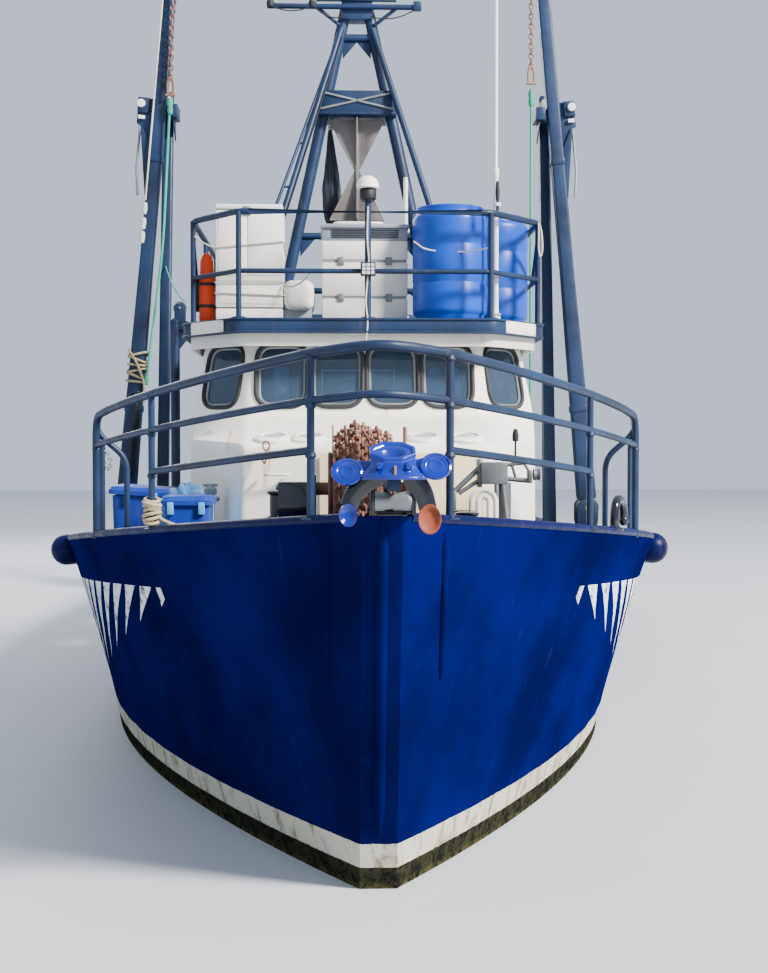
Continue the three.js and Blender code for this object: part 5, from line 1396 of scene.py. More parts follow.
@dataclass
class RoofGear(SubAssembly):
    """What stands on the wheelhouse roof."""

    roof: float = 3.3303
    drums: tuple[tuple[float, float], ...] = ((0.66, -4.02), (1.035, -3.585))
    raft: tuple[float, float, float] = (-0.497, -3.775, 3.55)
    raft_size: tuple[float, float, float] = (0.114, 0.275, 0.06)
    buoy: tuple[float, float] = (-1.212, -3.88)
    camera: tuple[float, float] = (0.02, -4.44)
    whip: tuple[float, float] = (0.99, -4.24)

    def build(self) -> None:
        """Make the roof gear."""
        self.locker()
        self.cabinet()
        self.barrels()
        self.life_raft()
        self.rescue_buoy()
        self.lamps()
        self.aerial()

    def locker(self) -> None:
        """Make the white locker: three tiers with raised panels, a lid and lashing lines."""
        x, y, front = (-1.13, -0.62), (-4.05, -3.48), -4.05
        levels = ((self.roof, 3.441), (3.449, 3.641), (3.649, 4.19), (4.196, 4.235))
        self.add("locker_tiers", [block(x, y, z) for z in levels], Finish.PLASTIC, "deck_locker", bevel=0.01)
        core = block((-1.122, -0.628), (-4.042, -3.488), (self.roof + 0.01, 4.22))
        self.add("locker_core", core, Finish.RUBBER, bevel=0.002)
        panels = blocks((-1.11, -0.895, front - 0.006, front + 0.01, 3.69, 4.15),
                        (-0.885, -0.64, front - 0.006, front + 0.01, 3.69, 4.15),
                        (-1.11, -0.64, front - 0.005, front + 0.01, 3.475, 3.62))
        self.add("locker_panels", panels, Finish.PLASTIC, bevel=0.005)
        hasp = block((-0.92, -0.86), (front - 0.018, front), (4.15, 4.215))
        pin = bar((-0.91, front - 0.02, 4.17), (-0.87, front - 0.02, 4.17), 0.007, 10)
        self.add("locker_latch", hasp + pin, Finish.GALVANISED, bevel=0.003)
        a, b, c, d = x[0] - 0.008, x[1] + 0.008, y[0] - 0.014, y[1] + 0.008
        lines = [slack((b, c, 3.62), (-0.4, -4.42, 3.68), 0.05), slack((a, c, 3.9), (-1.3, -3.96, 4.0), 0.01)]
        turns = [eased([(a, c, z), (b, c, z + lift), (b, d, z + 0.02), (a, d, z)], 0.03, 5, ring=True)
                 for z, lift in ((3.64, 0.0), (3.9, 0.05), (3.56, -0.02))]
        lashing = [*[tube(turn, 0.006, 7, loop=True) for turn in turns],
                   *[tube(way, 0.006, 7) for way in lines]]
        self.add("locker_lashing", lashing, Finish.WHITE_ROPE)

    def cabinet(self) -> None:
        """Make the tiered cabinet with its grey bands, the tray on top and the aerial."""
        x, y, front = (-0.32, 0.34), (-3.96, -3.40), -3.96
        tiers = [block(x, y, z) for z in ((self.roof, 3.53), (3.546, 3.808), (3.826, 3.975))]
        self.add("cabinet_tiers", tiers, Finish.PLASTIC, "roof_cabinet", bevel=0.012)
        bands = blocks((-0.312, 0.332, -3.952, -3.408, self.roof + 0.01, 3.98),
                       (-0.318, 0.338, -3.958, -3.402, 3.975, 4.072),
                       (-0.332, 0.352, -3.98, -3.38, 4.07, 4.1))
        self.add("cabinet_bands", bands, Finish.GREY, bevel=0.006)
        rim = hoop(0.37, 0.28, 0.03, 0.012, Axis.Z, 4.126, 10).moved((-0.04, -3.705, 0))
        tray = block((-0.23, 0.15), (-3.85, -3.56), (4.098, 4.112))
        self.add("cabinet_tray", tray + rim, Finish.PLASTIC, bevel=0.003)
        vents = blocks(*((-0.25, 0.27, front - 0.004, front + 0.004, z, z + 0.007)
                         for z in np.linspace(3.995, 4.05, 5)))
        self.add("cabinet_vents", vents, Finish.BLACK, bevel=0.001)
        hasps = blocks(*((a, a + 0.05, front - 0.014, front, z - 0.03, z + 0.03)
                         for a in (-0.2, 0.17) for z in (3.537, 3.817)))
        self.add("cabinet_hasps", hasps, Finish.GALVANISED, bevel=0.004)
        aerial = turned([(0, 4.1), (0.03, 4.1), (0.03, 4.125), (0.018, 4.14), (0.018, 4.5), (0.015, 4.535),
                         (0, 4.54)], (0.345, -3.56, 0), sides=20)
        self.add("cabinet_aerial", aerial, Finish.PLASTIC)

    def barrels(self) -> None:
        """Make the two blue plastic drums with their chimes, swages and bungs."""
        swages = [(0.2855 - dip, level + step) for level in (0.285, 0.575)
                  for dip, step in ((0, 0), (0.0045, 0.01), (0.0045, 0.02), (0, 0.03))]
        rows = [(0, 0), (0.235, 0), (0.252, 0.008), (0.262, 0.025), (0.264, 0.05), (0.27, 0.062),
                (0.282, 0.075),
                (0.2855, 0.1), *swages, (0.2855, 0.775), (0.282, 0.8), (0.272, 0.815), (0.262, 0.823),
                (0.2575, 0.84), (0.261, 0.858), (0.261, 0.876), (0.25, 0.88), (0.241, 0.876), (0.238, 0.858),
                (0, 0.855)]
        bung = turned([(0, 0), (0.036, 0), (0.036, 0.012), (0.028, 0.018), (0.022, 0.012), (0, 0.012)],
                      sides=16)
        for number, (x, y) in enumerate(self.drums, 1):
            self.add(f"drum_{number}_shell", turned(rows, (x, y, self.roof), sides=64), Finish.DRUM,
                     f"water_drum_{number}", angle=44)
            head = self.roof + 0.855
            bungs = bung.copies([(x + 0.17, y, head), (x - 0.17, y + 0.02, head)])
            self.add(f"drum_{number}_bungs", bungs, Finish.BLACK)
        line = [(0.36, -4.44, 3.9), (0.46, -4.255, 3.86), (0.76, -4.305, 3.84), (0.93, -4.44, 3.86)]
        self.add("drum_lashing", pipe(line, 0.12, 0.006, 7, 8), Finish.WHITE_ROPE)

    def life_raft(self) -> None:
        """Make the raft's canister, a rounded square turned about Y, with joint, straps and chocks."""
        x, y, z = self.raft
        r, half, nose = self.raft_size
        s = np.linspace(0, 1, 9)
        cap = np.stack([r * np.sqrt(np.clip(1 - (1 - s) ** 2.4, 0, 1)), -half + nose * s], -1)
        can = turned(np.vstack([cap, cap[::-1] * [1, -1]]), axis=Axis.Y, sides=64)
        share = unit(can.points[:, [0, 2]] + 1e-9)
        square = (np.abs(share) ** 4).sum(1) ** -0.25
        can = Form(can.points * np.stack([square, 1 + 0 * square, square], 1), can.faces).moved(self.raft)
        self.add("raft_canister", can, Finish.PLASTIC, "life_raft")
        a, b = r + 0.004, half - 0.02
        lip = eased([(x - a, y - b), (x + a, y - b), (x + a, y + b), (x - a, y + b)], 0.06, 6, ring=True)
        self.add("raft_joint", prism(lip, Axis.Z, z - 0.007, z + 0.007), Finish.GREY, bevel=0.002)
        belt = [(r - 0.004, -0.016), (r + 0.004, -0.016), (r + 0.004, 0.016), (r - 0.004, 0.016)]
        straps = [turned(belt, (x, place, z), Axis.Y, 40, loop=True) for place in (-3.93, -3.62)]
        self.add("raft_straps", straps, Finish.BLACK)
        chocks = blocks(*((x - 0.103, x + 0.097, place - 0.025, place + 0.025, self.roof, 3.462)
                          for place in (-3.93, -3.62)), (-0.56, -0.44, -3.94, -3.61, self.roof, 3.36))
        self.add("raft_cradle", chocks, Finish.GREY, bevel=0.006)

    def rescue_buoy(self) -> None:
        """Make the orange rescue buoy with its ribs, straps and bracket."""
        x, y = self.buoy
        base, roof = (x, y, self.roof), self.roof
        rows = [(0, 0), (0.042, 0.002), (0.05, 0.012), (0.06, 0.04), (0.062, 0.07), (0.059, 0.085),
                (0.062, 0.1), (0.062, 0.2), (0.059, 0.212), (0.062, 0.224), (0.062, 0.36), (0.055, 0.385),
                (0.052, 0.44), (0.05, 0.49), (0.036, 0.53), (0.016, 0.55), (0, 0.556)]
        self.add("buoy_body", turned(rows, base, sides=36), Finish.ORANGE, "rescue_buoy")
        forms = [turned([(0.059, z - 0.012), (0.0665, z - 0.012), (0.0665, z + 0.012), (0.059, z + 0.012)],
                        base, sides=32, loop=True) for z in (0.14, 0.31)]
        forms.append(block((x - 0.085, x - 0.06), (y - 0.02, y + 0.02), (roof + 0.1, roof + 0.37)))
        forms += [block((-1.31, x - 0.06), (y - 0.02, y + 0.02), (roof + z - 0.008, roof + z + 0.008))
                  for z in (0.14, 0.335)]
        self.add("buoy_straps", forms, Finish.BLACK)

    def lamps(self) -> None:
        """Make the camera with its dome, and the floodlight under it."""
        post = (*self.camera, 0)
        rows = [(0, 4.1905), (0.048, 4.1905), (0.05, 4.2), (0.06, 4.206), (0.062, 4.215), (0.062, 4.275),
                (0.056, 4.284), (0, 4.286)]
        self.add("camera_body", turned(rows, post, sides=32), Finish.BLACK)
        a = np.linspace(0, TAU / 4, 10)
        dome = zip(0.082 * np.cos(a) ** 0.8, 4.296 + 0.083 * np.sin(a))
        rows = [(0, 4.284), (0.07, 4.284), (0.082, 4.286), (0.084, 4.292), *dome]
        self.add("camera_bell", turned(rows, post, sides=40), Finish.PLASTIC, "camera_dome")
        case = block((-0.035, 0.075), (-4.505, -4.4645), (3.64, 3.74))
        fins = blocks(*((a, a + 0.006, -4.4765, -4.4645, 3.645, 3.735) for a in np.linspace(-0.03, 0.064, 8)))
        self.add("floodlight_case", case + fins, Finish.BLACK, "floodlight", bevel=0.004)
        cells = blocks(*((a, a + 0.026, -4.512, -4.504, b, b + 0.024)
                         for a in (-0.025, 0.007, 0.039) for b in (3.65, 3.678, 3.706)))
        self.add("floodlight_cells", cells, Finish.LAMP, bevel=0.003)

    def aerial(self) -> None:
        """Make the whip aerial: a ferrule, a stout base section and a thin tip."""
        rows = [(0, self.roof), (0.035, self.roof), (0.035, 3.38), (0.022, 3.4), (0.02, 3.5), (0.0195, 4.42),
                (0.022, 4.43), (0.022, 4.47), (0.0135, 4.49), (0.011, 6.46), (0.008, 6.495), (0, 6.5)]
        self.add("whip_rod", turned(rows, (*self.whip, 0), sides=20), Finish.PLASTIC, "whip_aerial")
        brackets = blocks(*((0.955, 1.025, -4.275, -4.2, z, z + 0.02) for z in (3.37, 3.66)))
        self.add("whip_brackets", brackets, Finish.GALVANISED, bevel=0.003)


# Mast


@dataclass
class Mast(SubAssembly):
    """Two stout legs and two light ones with platform, yard, lights, radome and signals."""

    y: float = -1.1
    foot: tuple[float, float] = (1.38, 0.7503)
    head: tuple[float, float] = (0.1, 6.65)
    leg: float = 0.058
    bars: tuple[tuple[float, float], ...] = ((3.9, 0.03), (4.43, 0.034), (6.34, 0.04))

    def reach(self, z: float) -> float:
        """Return how far a stout leg stands from the centreline at a height."""
        return float(np.interp(z, [self.foot[1], self.head[1]], [self.foot[0], self.head[0]]))

    def light_leg(self, share: float, out: float = 0.0) -> Array:
        """Return a point of the starboard light leg, moved outboard at its foot."""
        return np.array([-1.06 - out + (0.91 + out) * share, -1.95 + 0.81 * share, 3.346 + 3.074 * share])

    def build(self) -> None:
        """Make the mast and what it carries."""
        y, leg = self.y, self.light_leg
        pair = [bar((self.foot[0], y, self.foot[1]), (self.head[0], y, self.head[1]), self.leg, 24),
                flange(0.12, (self.foot[0], y, self.foot[1]), self.leg, 0.022),
                bar(leg(0) * [-1, 1, 1], leg(1) * [-1, 1, 1], 0.03, 16),
                flange(0.06, (1.06, -1.95, 3.3305), 0.03),
                bar((self.reach(4.43), y, 4.43), (self.reach(5.0), y, 4.98), 0.02, 12),
                bar((0.4, y - 0.09, 6.62), (0.17, y - 0.06, 6.45), 0.018, 12)]
        forms = [gather(pair).both(), bar(leg(0.02, 0.15), leg(0.985, 0.15), 0.016, 12),
                 *[bar(leg(share), leg(share, 0.15), 0.011, 10)
                   for share in (0.06, 0.2, 0.34, 0.48, 0.62, 0.76)],
                 *[bar((-self.reach(z), y, z), (self.reach(z), y, z), radius, 18) for z, radius in self.bars],
                 bar((-0.86, y - 0.11, 6.61), (0.6, y - 0.11, 6.61), 0.026, 18),
                 turned([(0, 6.7), (0.12, 6.7), (0.12, 6.728), (0.1, 6.74), (0, 6.74)], (0, y, 0), sides=32)]
        self.add("mast_pipes", forms, Finish.NAVY, "mast")
        plates = blocks((-0.38, 0.38, y - 0.17, y + 0.32, 5.57, 5.6),
                        (-0.15, 0.15, y - 0.09, y + 0.09, 6.5, 6.72),
                        (-0.4, 0.38, y - 0.11, y - 0.06, 6.67, 6.7),
                        (0.54, 0.62, y - 0.15, y - 0.07, 6.58, 6.66),
                        (-0.38, 0.38, y - 0.17, y - 0.15, 5.59, 5.8),
                        (-0.38, 0.38, y + 0.3, y + 0.32, 5.59, 5.8))
        gussets = []
        for z, _ in self.bars:
            edge = self.reach(z) - 0.03
            outline = [(edge, z - 0.2), (edge, z), (edge - 0.17, z)]
            gussets.append(prism(outline, Axis.Y, y - 0.007, y + 0.007).both())
        self.add("mast_plates", [plates, *gussets], Finish.NAVY, bevel=0.005)
        cross = [bar((-a, y - 0.175, 5.62), (a, y - 0.175, 5.78), 0.012, 10) for a in (0.35, -0.35)]
        self.add("platform_cross", cross, Finish.GALVANISED)
        self.lights()
        self.signals()

    def lights(self) -> None:
        """Make the masthead lights, the cables to them and the radome."""
        y = self.y - 0.11
        rows = [(0, 6.6), (0.034, 6.6), (0.038, 6.61), (0.038, 6.65), (0.033, 6.655), (0.033, 6.735),
                (0.038, 6.74), (0.038, 6.775), (0.028, 6.79), (0, 6.79)]
        glass = [(0.0335, 6.662), (0.0355, 6.665), (0.0355, 6.728), (0.0335, 6.731)]
        spots = [(-0.83, y, 0), (-0.43, y, 0)]
        self.add("masthead_lights", turned(rows, sides=24).copies(spots), Finish.BLACK)
        self.add("masthead_lenses", turned(glass, sides=24, loop=True).copies(spots), Finish.LAMP)
        cables = [slack((-0.81, y - 0.02, 6.6), (-0.45, y - 0.02, 6.6), 0.04),
                  slack((-0.41, y - 0.02, 6.6), (-0.12, y, 6.52), 0.05),
                  slack((0.56, y, 6.59), (0.13, y, 6.52), 0.05),
                  np.array([self.light_leg(s) + [0.035, -0.02 + 0.006 * math.sin(30 * s), 0]
                            for s in np.linspace(0.97, 0.03, 26)])]
        self.add("mast_cables", [tube(cable, 0.006, 8) for cable in cables], Finish.BLACK)
        a = np.linspace(0, TAU / 4, 12)
        crown = zip(0.206 * np.cos(a) ** 0.62, 6.86 + 0.0895 * np.sin(a))
        rows = [(0, 6.7405), (0.17, 6.7405), (0.196, 6.748), (0.208, 6.765), (0.213, 6.79), (0.214, 6.83),
                (0.2115, 6.835), (0.2115, 6.842), (0.214, 6.847), *crown]
        self.add("radome_shell", turned(rows, (0, self.y, 0), sides=56), Finish.PLASTIC, "radome")

    def signals(self) -> None:
        """Make the hour-glass day shape on its pole and the pleated bag of signals."""
        y = self.y
        half = [(-0.265, 5.555), (0.265, 5.555), (0.014, 5.065), (0.265, 4.58), (-0.265, 4.58),
                (-0.014, 5.065)]
        across = prism(half, Axis.Y, y - 0.006, y + 0.006)
        along = prism([(u * 0.55 + y, z) for u, z in half], Axis.X, -0.006, 0.006)
        self.add("day_shape_plates", across + along, Finish.WEATHERED, "day_shape", bevel=0.002)
        edges = [bar((0.262, y, z), (0.016, y, 5.065), 0.008, 8).both() for z in (5.55, 4.585)]
        rims = [bar((-0.262, y, z), (0.262, y, z), 0.009, 8) for z in (5.548, 4.587)]
        pole = bar((0, y, 4.475), (0, y, 5.5695), 0.024, 16)
        self.add("day_shape_frame", [pole, *edges, *rims], Finish.WEATHERED)
        z, a = np.linspace(0, 1, 60)[:, None], around(72)[None]
        swell = np.interp(z, [0, 0.03, 0.08, 0.2, 0.38, 0.55, 0.75, 0.9, 0.97, 1.0],
                          [0.02, 0.055, 0.078, 0.1, 0.096, 0.068, 0.045, 0.028, 0.016, 0.02])
        pleats = 0.1 * np.cos(9 * a + 5 * z) + 0.06 * np.cos(5 * a - 9 * z + 1)
        pleats = pleats + 0.05 * np.cos(17 * a + 3 * np.sin(7 * z))
        radius = swell * (0.93 + pleats * np.clip(1.6 * z, 0.25, 1))
        middle = -0.255 + 0.012 * np.sin(3.1 * z + 0.6)
        grid = np.stack([middle + radius * np.cos(a), y + 0.24 + radius * np.sin(a),
                         4.56 + 0.985 * z + 0 * a], -1)
        bag = self.add("signal_bag_cloth", surface(grid), Finish.CANVAS, "signal_bag", angle=80)
        turns = [hoop(0.042, 0.042, 0.02, 0.006, Axis.Z, level) for level in (0, 0.011, 0.022)]
        hook = pipe([(0, 0, 0.01), (0.006, 0, 0.03), (0, 0, 0.054)], 0.02, 0.006)
        self.add("bag_tie", gather([*turns, hook]).moved((-0.252, y + 0.24, 5.512)), Finish.WHITE_ROPE)


# Rig


@dataclass
class Rig(SubAssembly):
    """Columns, boom heels, booms with their lines, and the short davit by the wheelhouse."""

    heel: tuple[float, float, float] = (2.2, -1.45, 1.8)
    lean: float = 5.2
    deck: float = 0.7503
    column_y: float = -1.25
    column_x: tuple[float, float] = (1.895, 1.805)
    column_top: float = 5.76
    davit: tuple[float, float] = (-1.665, -2.0)

    def build(self) -> None:
        """Make both sides of the rig and the davit."""
        for side, name in ((1, "port"), (-1, "starboard")):
            self.column(side, name)
            self.heel_block(side, name)
            self.boom(side, name)
        self.boom_lines()
        self.lashings()
        self.side_post()

    def column_at(self, z: float) -> float:
        """Return a column's distance from the centreline at a height."""
        low = float(np.interp(z, [0.75, 5.5], self.column_x))
        return low if z < 5.5 else self.column_x[1] - 0.019 * (z - 5.5)

    def column(self, side: int, name: str) -> None:
        """Make a column with its brace, rungs, boom rest and pad."""
        y, top, deck = self.column_y, self.column_top, self.deck
        shaft = box_tube([(self.column_at(deck), y, deck), (self.column_at(top), y, top - 0.03),
                          (self.column_at(top), y, top)], np.array([0.0575, 0.05, 0.036]))
        foot, upper = np.array([2.0, -0.3, 0.75]), np.array([self.column_at(4.35), y + 0.03, 4.35])
        forms = [shaft, bar((2.0, -0.3, deck + 0.016), upper, 0.045, 18),
                 flange(0.09, (2.0, -0.3, deck), 0.045, 0.018)]
        for z in (1.4, 2.0, 2.6, 3.2, 3.8):
            place = foot + (upper - foot) * (z - 0.75) / 3.6
            forms.append(bar((self.column_at(z), y, z), place, 0.016, 12))
        self.add(f"column_{name}_pipes", gather(forms).on(side), Finish.NAVY, f"column_{name}")
        plates = blocks((1.69, 1.78, self.heel[1] - 0.06, y, 5.48, 5.6),
                        (1.8, 1.99, y - 0.11, y + 0.11, deck, deck + 0.016))
        stay = prism([(-1.5, 5.49), (y, 5.49), (y, 5.3)], Axis.X, 1.73, 1.742)
        self.add(f"column_{name}_plates", (plates + stay).on(side), Finish.NAVY, bevel=0.006)
        rows = both_ways([(0.046, 0.07), (0.042, 0.075), (0, 0.075)])
        disc = turned(rows, (side * 1.802, y, 5.67), Axis.Y, 30)
        self.add(f"column_{name}_pad", disc, Finish.PLASTIC)

    def heel_block(self, side: int, name: str) -> None:
        """Make a boom's heel block with its cheeks, pin and bolts."""
        x, y, z = self.heel
        solid = blocks((x - 0.11, x + 0.09, y - 0.125, y + 0.095, self.deck, 1.64),
                       (x - 0.16, x + 0.12, y - 0.17, y + 0.14, self.deck, self.deck + 0.02))
        cheeks = [plate((x - 0.11, x + 0.09), (1.62, 1.88), 0.07, (y + off, y + off + 0.02), 6)
                  for off in (-0.125, 0.075)]
        self.add(f"heel_{name}_block", gather([solid, *cheeks]).on(side), Finish.NAVY, f"boom_heel_{name}",
                 bevel=0.006)
        pin = turned([(0, -0.135), (0.03, -0.135), (0.038, -0.13), (0.038, 0.1), (0.03, 0.105), (0, 0.105)],
                     (side * x, y, z), Axis.Y, 26)
        spots = [(side * (x + a), y - 0.125, b) for a in (-0.08, 0.06) for b in (1.0, 1.5)]
        self.add(f"heel_{name}_pin", pin + heads(spots, 0.014, Axis.Y, -1), Finish.GALVANISED)

    def aloft(self, form: Form, side: int) -> Form:
        """Put a form of the boom's own axes, Z along the boom, at the heel of one side."""
        if side < 0:
            form = form.moved((0, -0.03, 0), turn_about(Axis.Z, 180))
        x, y, z = self.heel
        return form.moved((side * x, y, z), turn_about(Axis.Y, -side * self.lean))

    def aloft_front(self, form: Form) -> Form:
        """Put a form on the starboard boom, its Y still towards the bow."""
        x, y, z = self.heel
        return form.moved((-x, y, z), turn_about(Axis.Y, self.lean))

    def boom(self, side: int, name: str) -> None:
        """Make a boom with its eye, bracket, head plate and sheaves."""
        body = f"boom_{name}"
        marks = [(0.11, 0.088), (0.9, 0.078), (2.3, 0.063), (6.3, 0.06)]
        shaft = box_tube([(0, -0.015, z) for z, _ in marks], np.array([half for _, half in marks]))
        eye = turned([(0.0394, -0.095), (0.094, -0.095), (0.1, -0.089), (0.1, 0.059), (0.094, 0.065),
                      (0.0394, 0.065)], axis=Axis.Y, sides=36, loop=True)
        web = block((-0.08, 0.08), (-0.095, 0.065), (0.085, 0.14))
        bands = [box_tube([(0, -0.015, z - 0.03), (0, -0.015, z + 0.03)], half + 0.008)
                 for z, half in ((0.95, 0.078), (3.3, 0.062), (5.2, 0.061))]
        self.add(f"{body}_shaft", self.aloft(gather([shaft, eye, web, *bands]), side), Finish.NAVY, body,
                 body=body, bevel=0.003)
        lower = [(0.05, 2.95), (0.07, 2.95), (0.165, 3.6)]
        arm = prism([*lower, (0.205, 3.62), (0.205, 3.86), (0.05, 3.86)], Axis.Y, -0.03, 0.0)
        ribs = [prism([*lower, (0.16, 3.62), (0.05, 3.4)], Axis.Y, low, low + 0.008)
                for low in (-0.055, 0.017)]
        eyes = block((0.1, 0.205), (-0.055, 0.025), (3.72, 3.86))
        head = plate((-0.17, 0.1), (6.13, 6.34), 0.05, (-0.035, 0.005))
        self.add(f"{body}_plates", self.aloft(gather([arm, *ribs, eyes, head]), side), Finish.NAVY, body=body,
                 bevel=0.004)
        wheels = [sheave(0.085, 0.05, (0, y, 6.28), Axis.Y) for y in (-0.06, 0.03)]
        link = pipe([(0.172, -0.015, 3.72), (0.172, -0.015, 3.2), (0.14, -0.015, 2.95)], 0.05, 0.012, 10)
        self.add(f"{body}_sheaves", self.aloft(gather([*wheels, link]), side), Finish.GALVANISED, body=body)
        rows = [(0, -0.08), (0.034, -0.08), (0.038, -0.076), (0.038, 0.041), (0.034, 0.045), (0, 0.045)]
        disc = turned(rows, (0.172, 0, 3.8), Axis.Y, 26)
        guard = block((0.13, 0.19), (-0.06, 0.03), (3.66, 3.69))
        self.add(f"{body}_disc", self.aloft(disc + guard, side), Finish.PLASTIC, body=body, bevel=0.002)

    def boom_lines(self) -> None:
        """Make the chain with its shackle and the green rope that ride on each boom."""
        y = self.heel[1] - 0.13
        ways = (("port", (1.632, y, 8.0), (1.632, y, 5.96),
                 [(1.632, y, 5.73), (1.632, y, 3.0), (1.632, y - 0.01, 1.35)]),
                ("starboard", (-1.66, y, 8.0), (-1.747, y, 5.82),
                 [(-1.75, y, 5.62), (-1.822, y, 4.24), (-1.985, y + 0.03, 3.02)]))
        bow = [(-0.025, 0, -0.17), (-0.03, 0, -0.05), (0, 0, 0.01), (0.03, 0, -0.05), (0.025, 0, -0.17)]
        shackle = pipe(bow, 0.05, 0.011, 10) + bar((-0.045, 0, -0.16), (0.045, 0, -0.16), 0.013, 12)
        hanger = pipe([(0, 0, -0.02), (0, 0, 0.04), (0, 0.09, 0.05)], 0.03, 0.014, 10)
        knot = turned([(0, -0.15), (0.02, -0.14), (0.028, -0.1), (0.022, -0.07), (0.03, -0.03), (0.018, 0.01),
                       (0, 0.02)], sides=14)
        tail = turned([(0, -0.06), (0.018, -0.05), (0.026, -0.01), (0.018, 0.03), (0, 0.035)], sides=14)
        for name, top, bottom, way in ways:
            body = f"boom_{name}"
            links = [chain(np.array([top, bottom]), 0.0075, 0.07), shackle.moved(bottom), hanger.moved(top)]
            self.add(f"{body}_chain", links, Finish.RUST, body=body)
            line = [rope(eased(way, 0.3, 8), 0.013, 0.09), knot.moved(way[0]), tail.moved(way[-1])]
            self.add(f"{body}_rope", line, Finish.GREEN_ROPE, body=body)

    def lashings(self) -> None:
        """Make the starboard boom's white line, lashing and hose, and the line to the davit."""
        body = "boom_starboard"
        white = rope(np.array([(-0.052, -0.088, z) for z in (6.2, 5.2, 4.2, 2.9)]), 0.009, 0.07)
        knot = turned([(0, -0.06), (0.02, -0.05), (0.026, 0.0), (0.02, 0.05), (0, 0.06)], sides=12)
        knots = knot.copies([(-0.05, -0.1, z) for z in (2.82, 2.68, 2.55)])
        self.add(f"{body}_line", self.aloft_front(white + knots), Finish.WHITE_ROPE, body=body)
        turns = []
        for number in range(6):
            low = 1.2 + 0.052 * number
            tilt = 0.03 * math.sin(2.1 * number)
            ring = [(-0.085, -0.1, low + tilt), (0.085, -0.1, low - tilt), (0.085, 0.07, low),
                    (-0.085, 0.07, low + 0.02)]
            turns.append(tube(eased(ring, 0.03, 5, ring=True), 0.012, 10, loop=True))
        end = [(-0.09, -0.1, 1.5), (0, -0.118, 1.38), (0.08, -0.118, 1.22), (0.1, -0.11, 1.1),
               (0.095, -0.1, 1.0)]
        turns.append(pipe(end, 0.05, 0.011, 9))
        self.add(f"{body}_lashing", self.aloft_front(gather(turns)), Finish.BEIGE_ROPE, body=body)
        share = np.linspace(0, 1, 150)[:, None]
        hose = np.array([0.02, -0.135, 0.28]) * (1 - share) + np.array([0.035, -0.125, 1.12]) * share
        ribs = 0.023 + 0.004 * np.sin(TAU * 36 * share[:, 0])
        self.add(f"{body}_hose", self.aloft_front(tube(hose, ribs, 16)), Finish.RUBBER, body=body)
        thin = slack((-1.83, -1.31, 4.1), (-1.58, -2.0, 3.705), 0.05)
        self.add("davit_line", rope(thin, 0.007, 0.05), Finish.GREEN_ROPE)

    def side_post(self) -> None:
        """Make the davit with its foot, arm, gusset, cheeks and sheave."""
        x, y = self.davit
        post = bar((x, y, 1.3005), (x, y, 3.53), 0.042, 22) + flange(0.095, (x, y, 1.3003), 0.042, 0.018)
        cap = turned([(0, 3.5), (0.046, 3.5), (0.046, 3.53), (0.03, 3.545), (0, 3.55)], (x, y, 0), sides=22)
        self.add("side_post_pipe", post + cap, Finish.NAVY, "side_post")
        arm = block((x - 0.03, -1.4), (y - 0.028, y + 0.028), (3.44, 3.52))
        gusset = prism([(x + 0.02, 3.24), (x + 0.02, 3.45), (x + 0.18, 3.45)], Axis.Y, y - 0.008, y + 0.008)
        cheeks = [plate((x - 0.005, x + 0.095), (3.5, 3.68), 0.04, (y + off, y + off + 0.012))
                  for off in (-0.034, 0.022)]
        self.add("side_post_plates", [arm, gusset, *cheeks], Finish.NAVY, bevel=0.004)
        x += 0.045
        self.add("side_post_sheave", sheave(0.062, 0.036, (x, y, 3.64), Axis.Y), Finish.GALVANISED)
        pin = bar((x, y - 0.045, 3.64), (x, y + 0.045, 3.64), 0.012, 12)
        self.add("side_post_pin", pin, Finish.GALVANISED)


# Foredeck


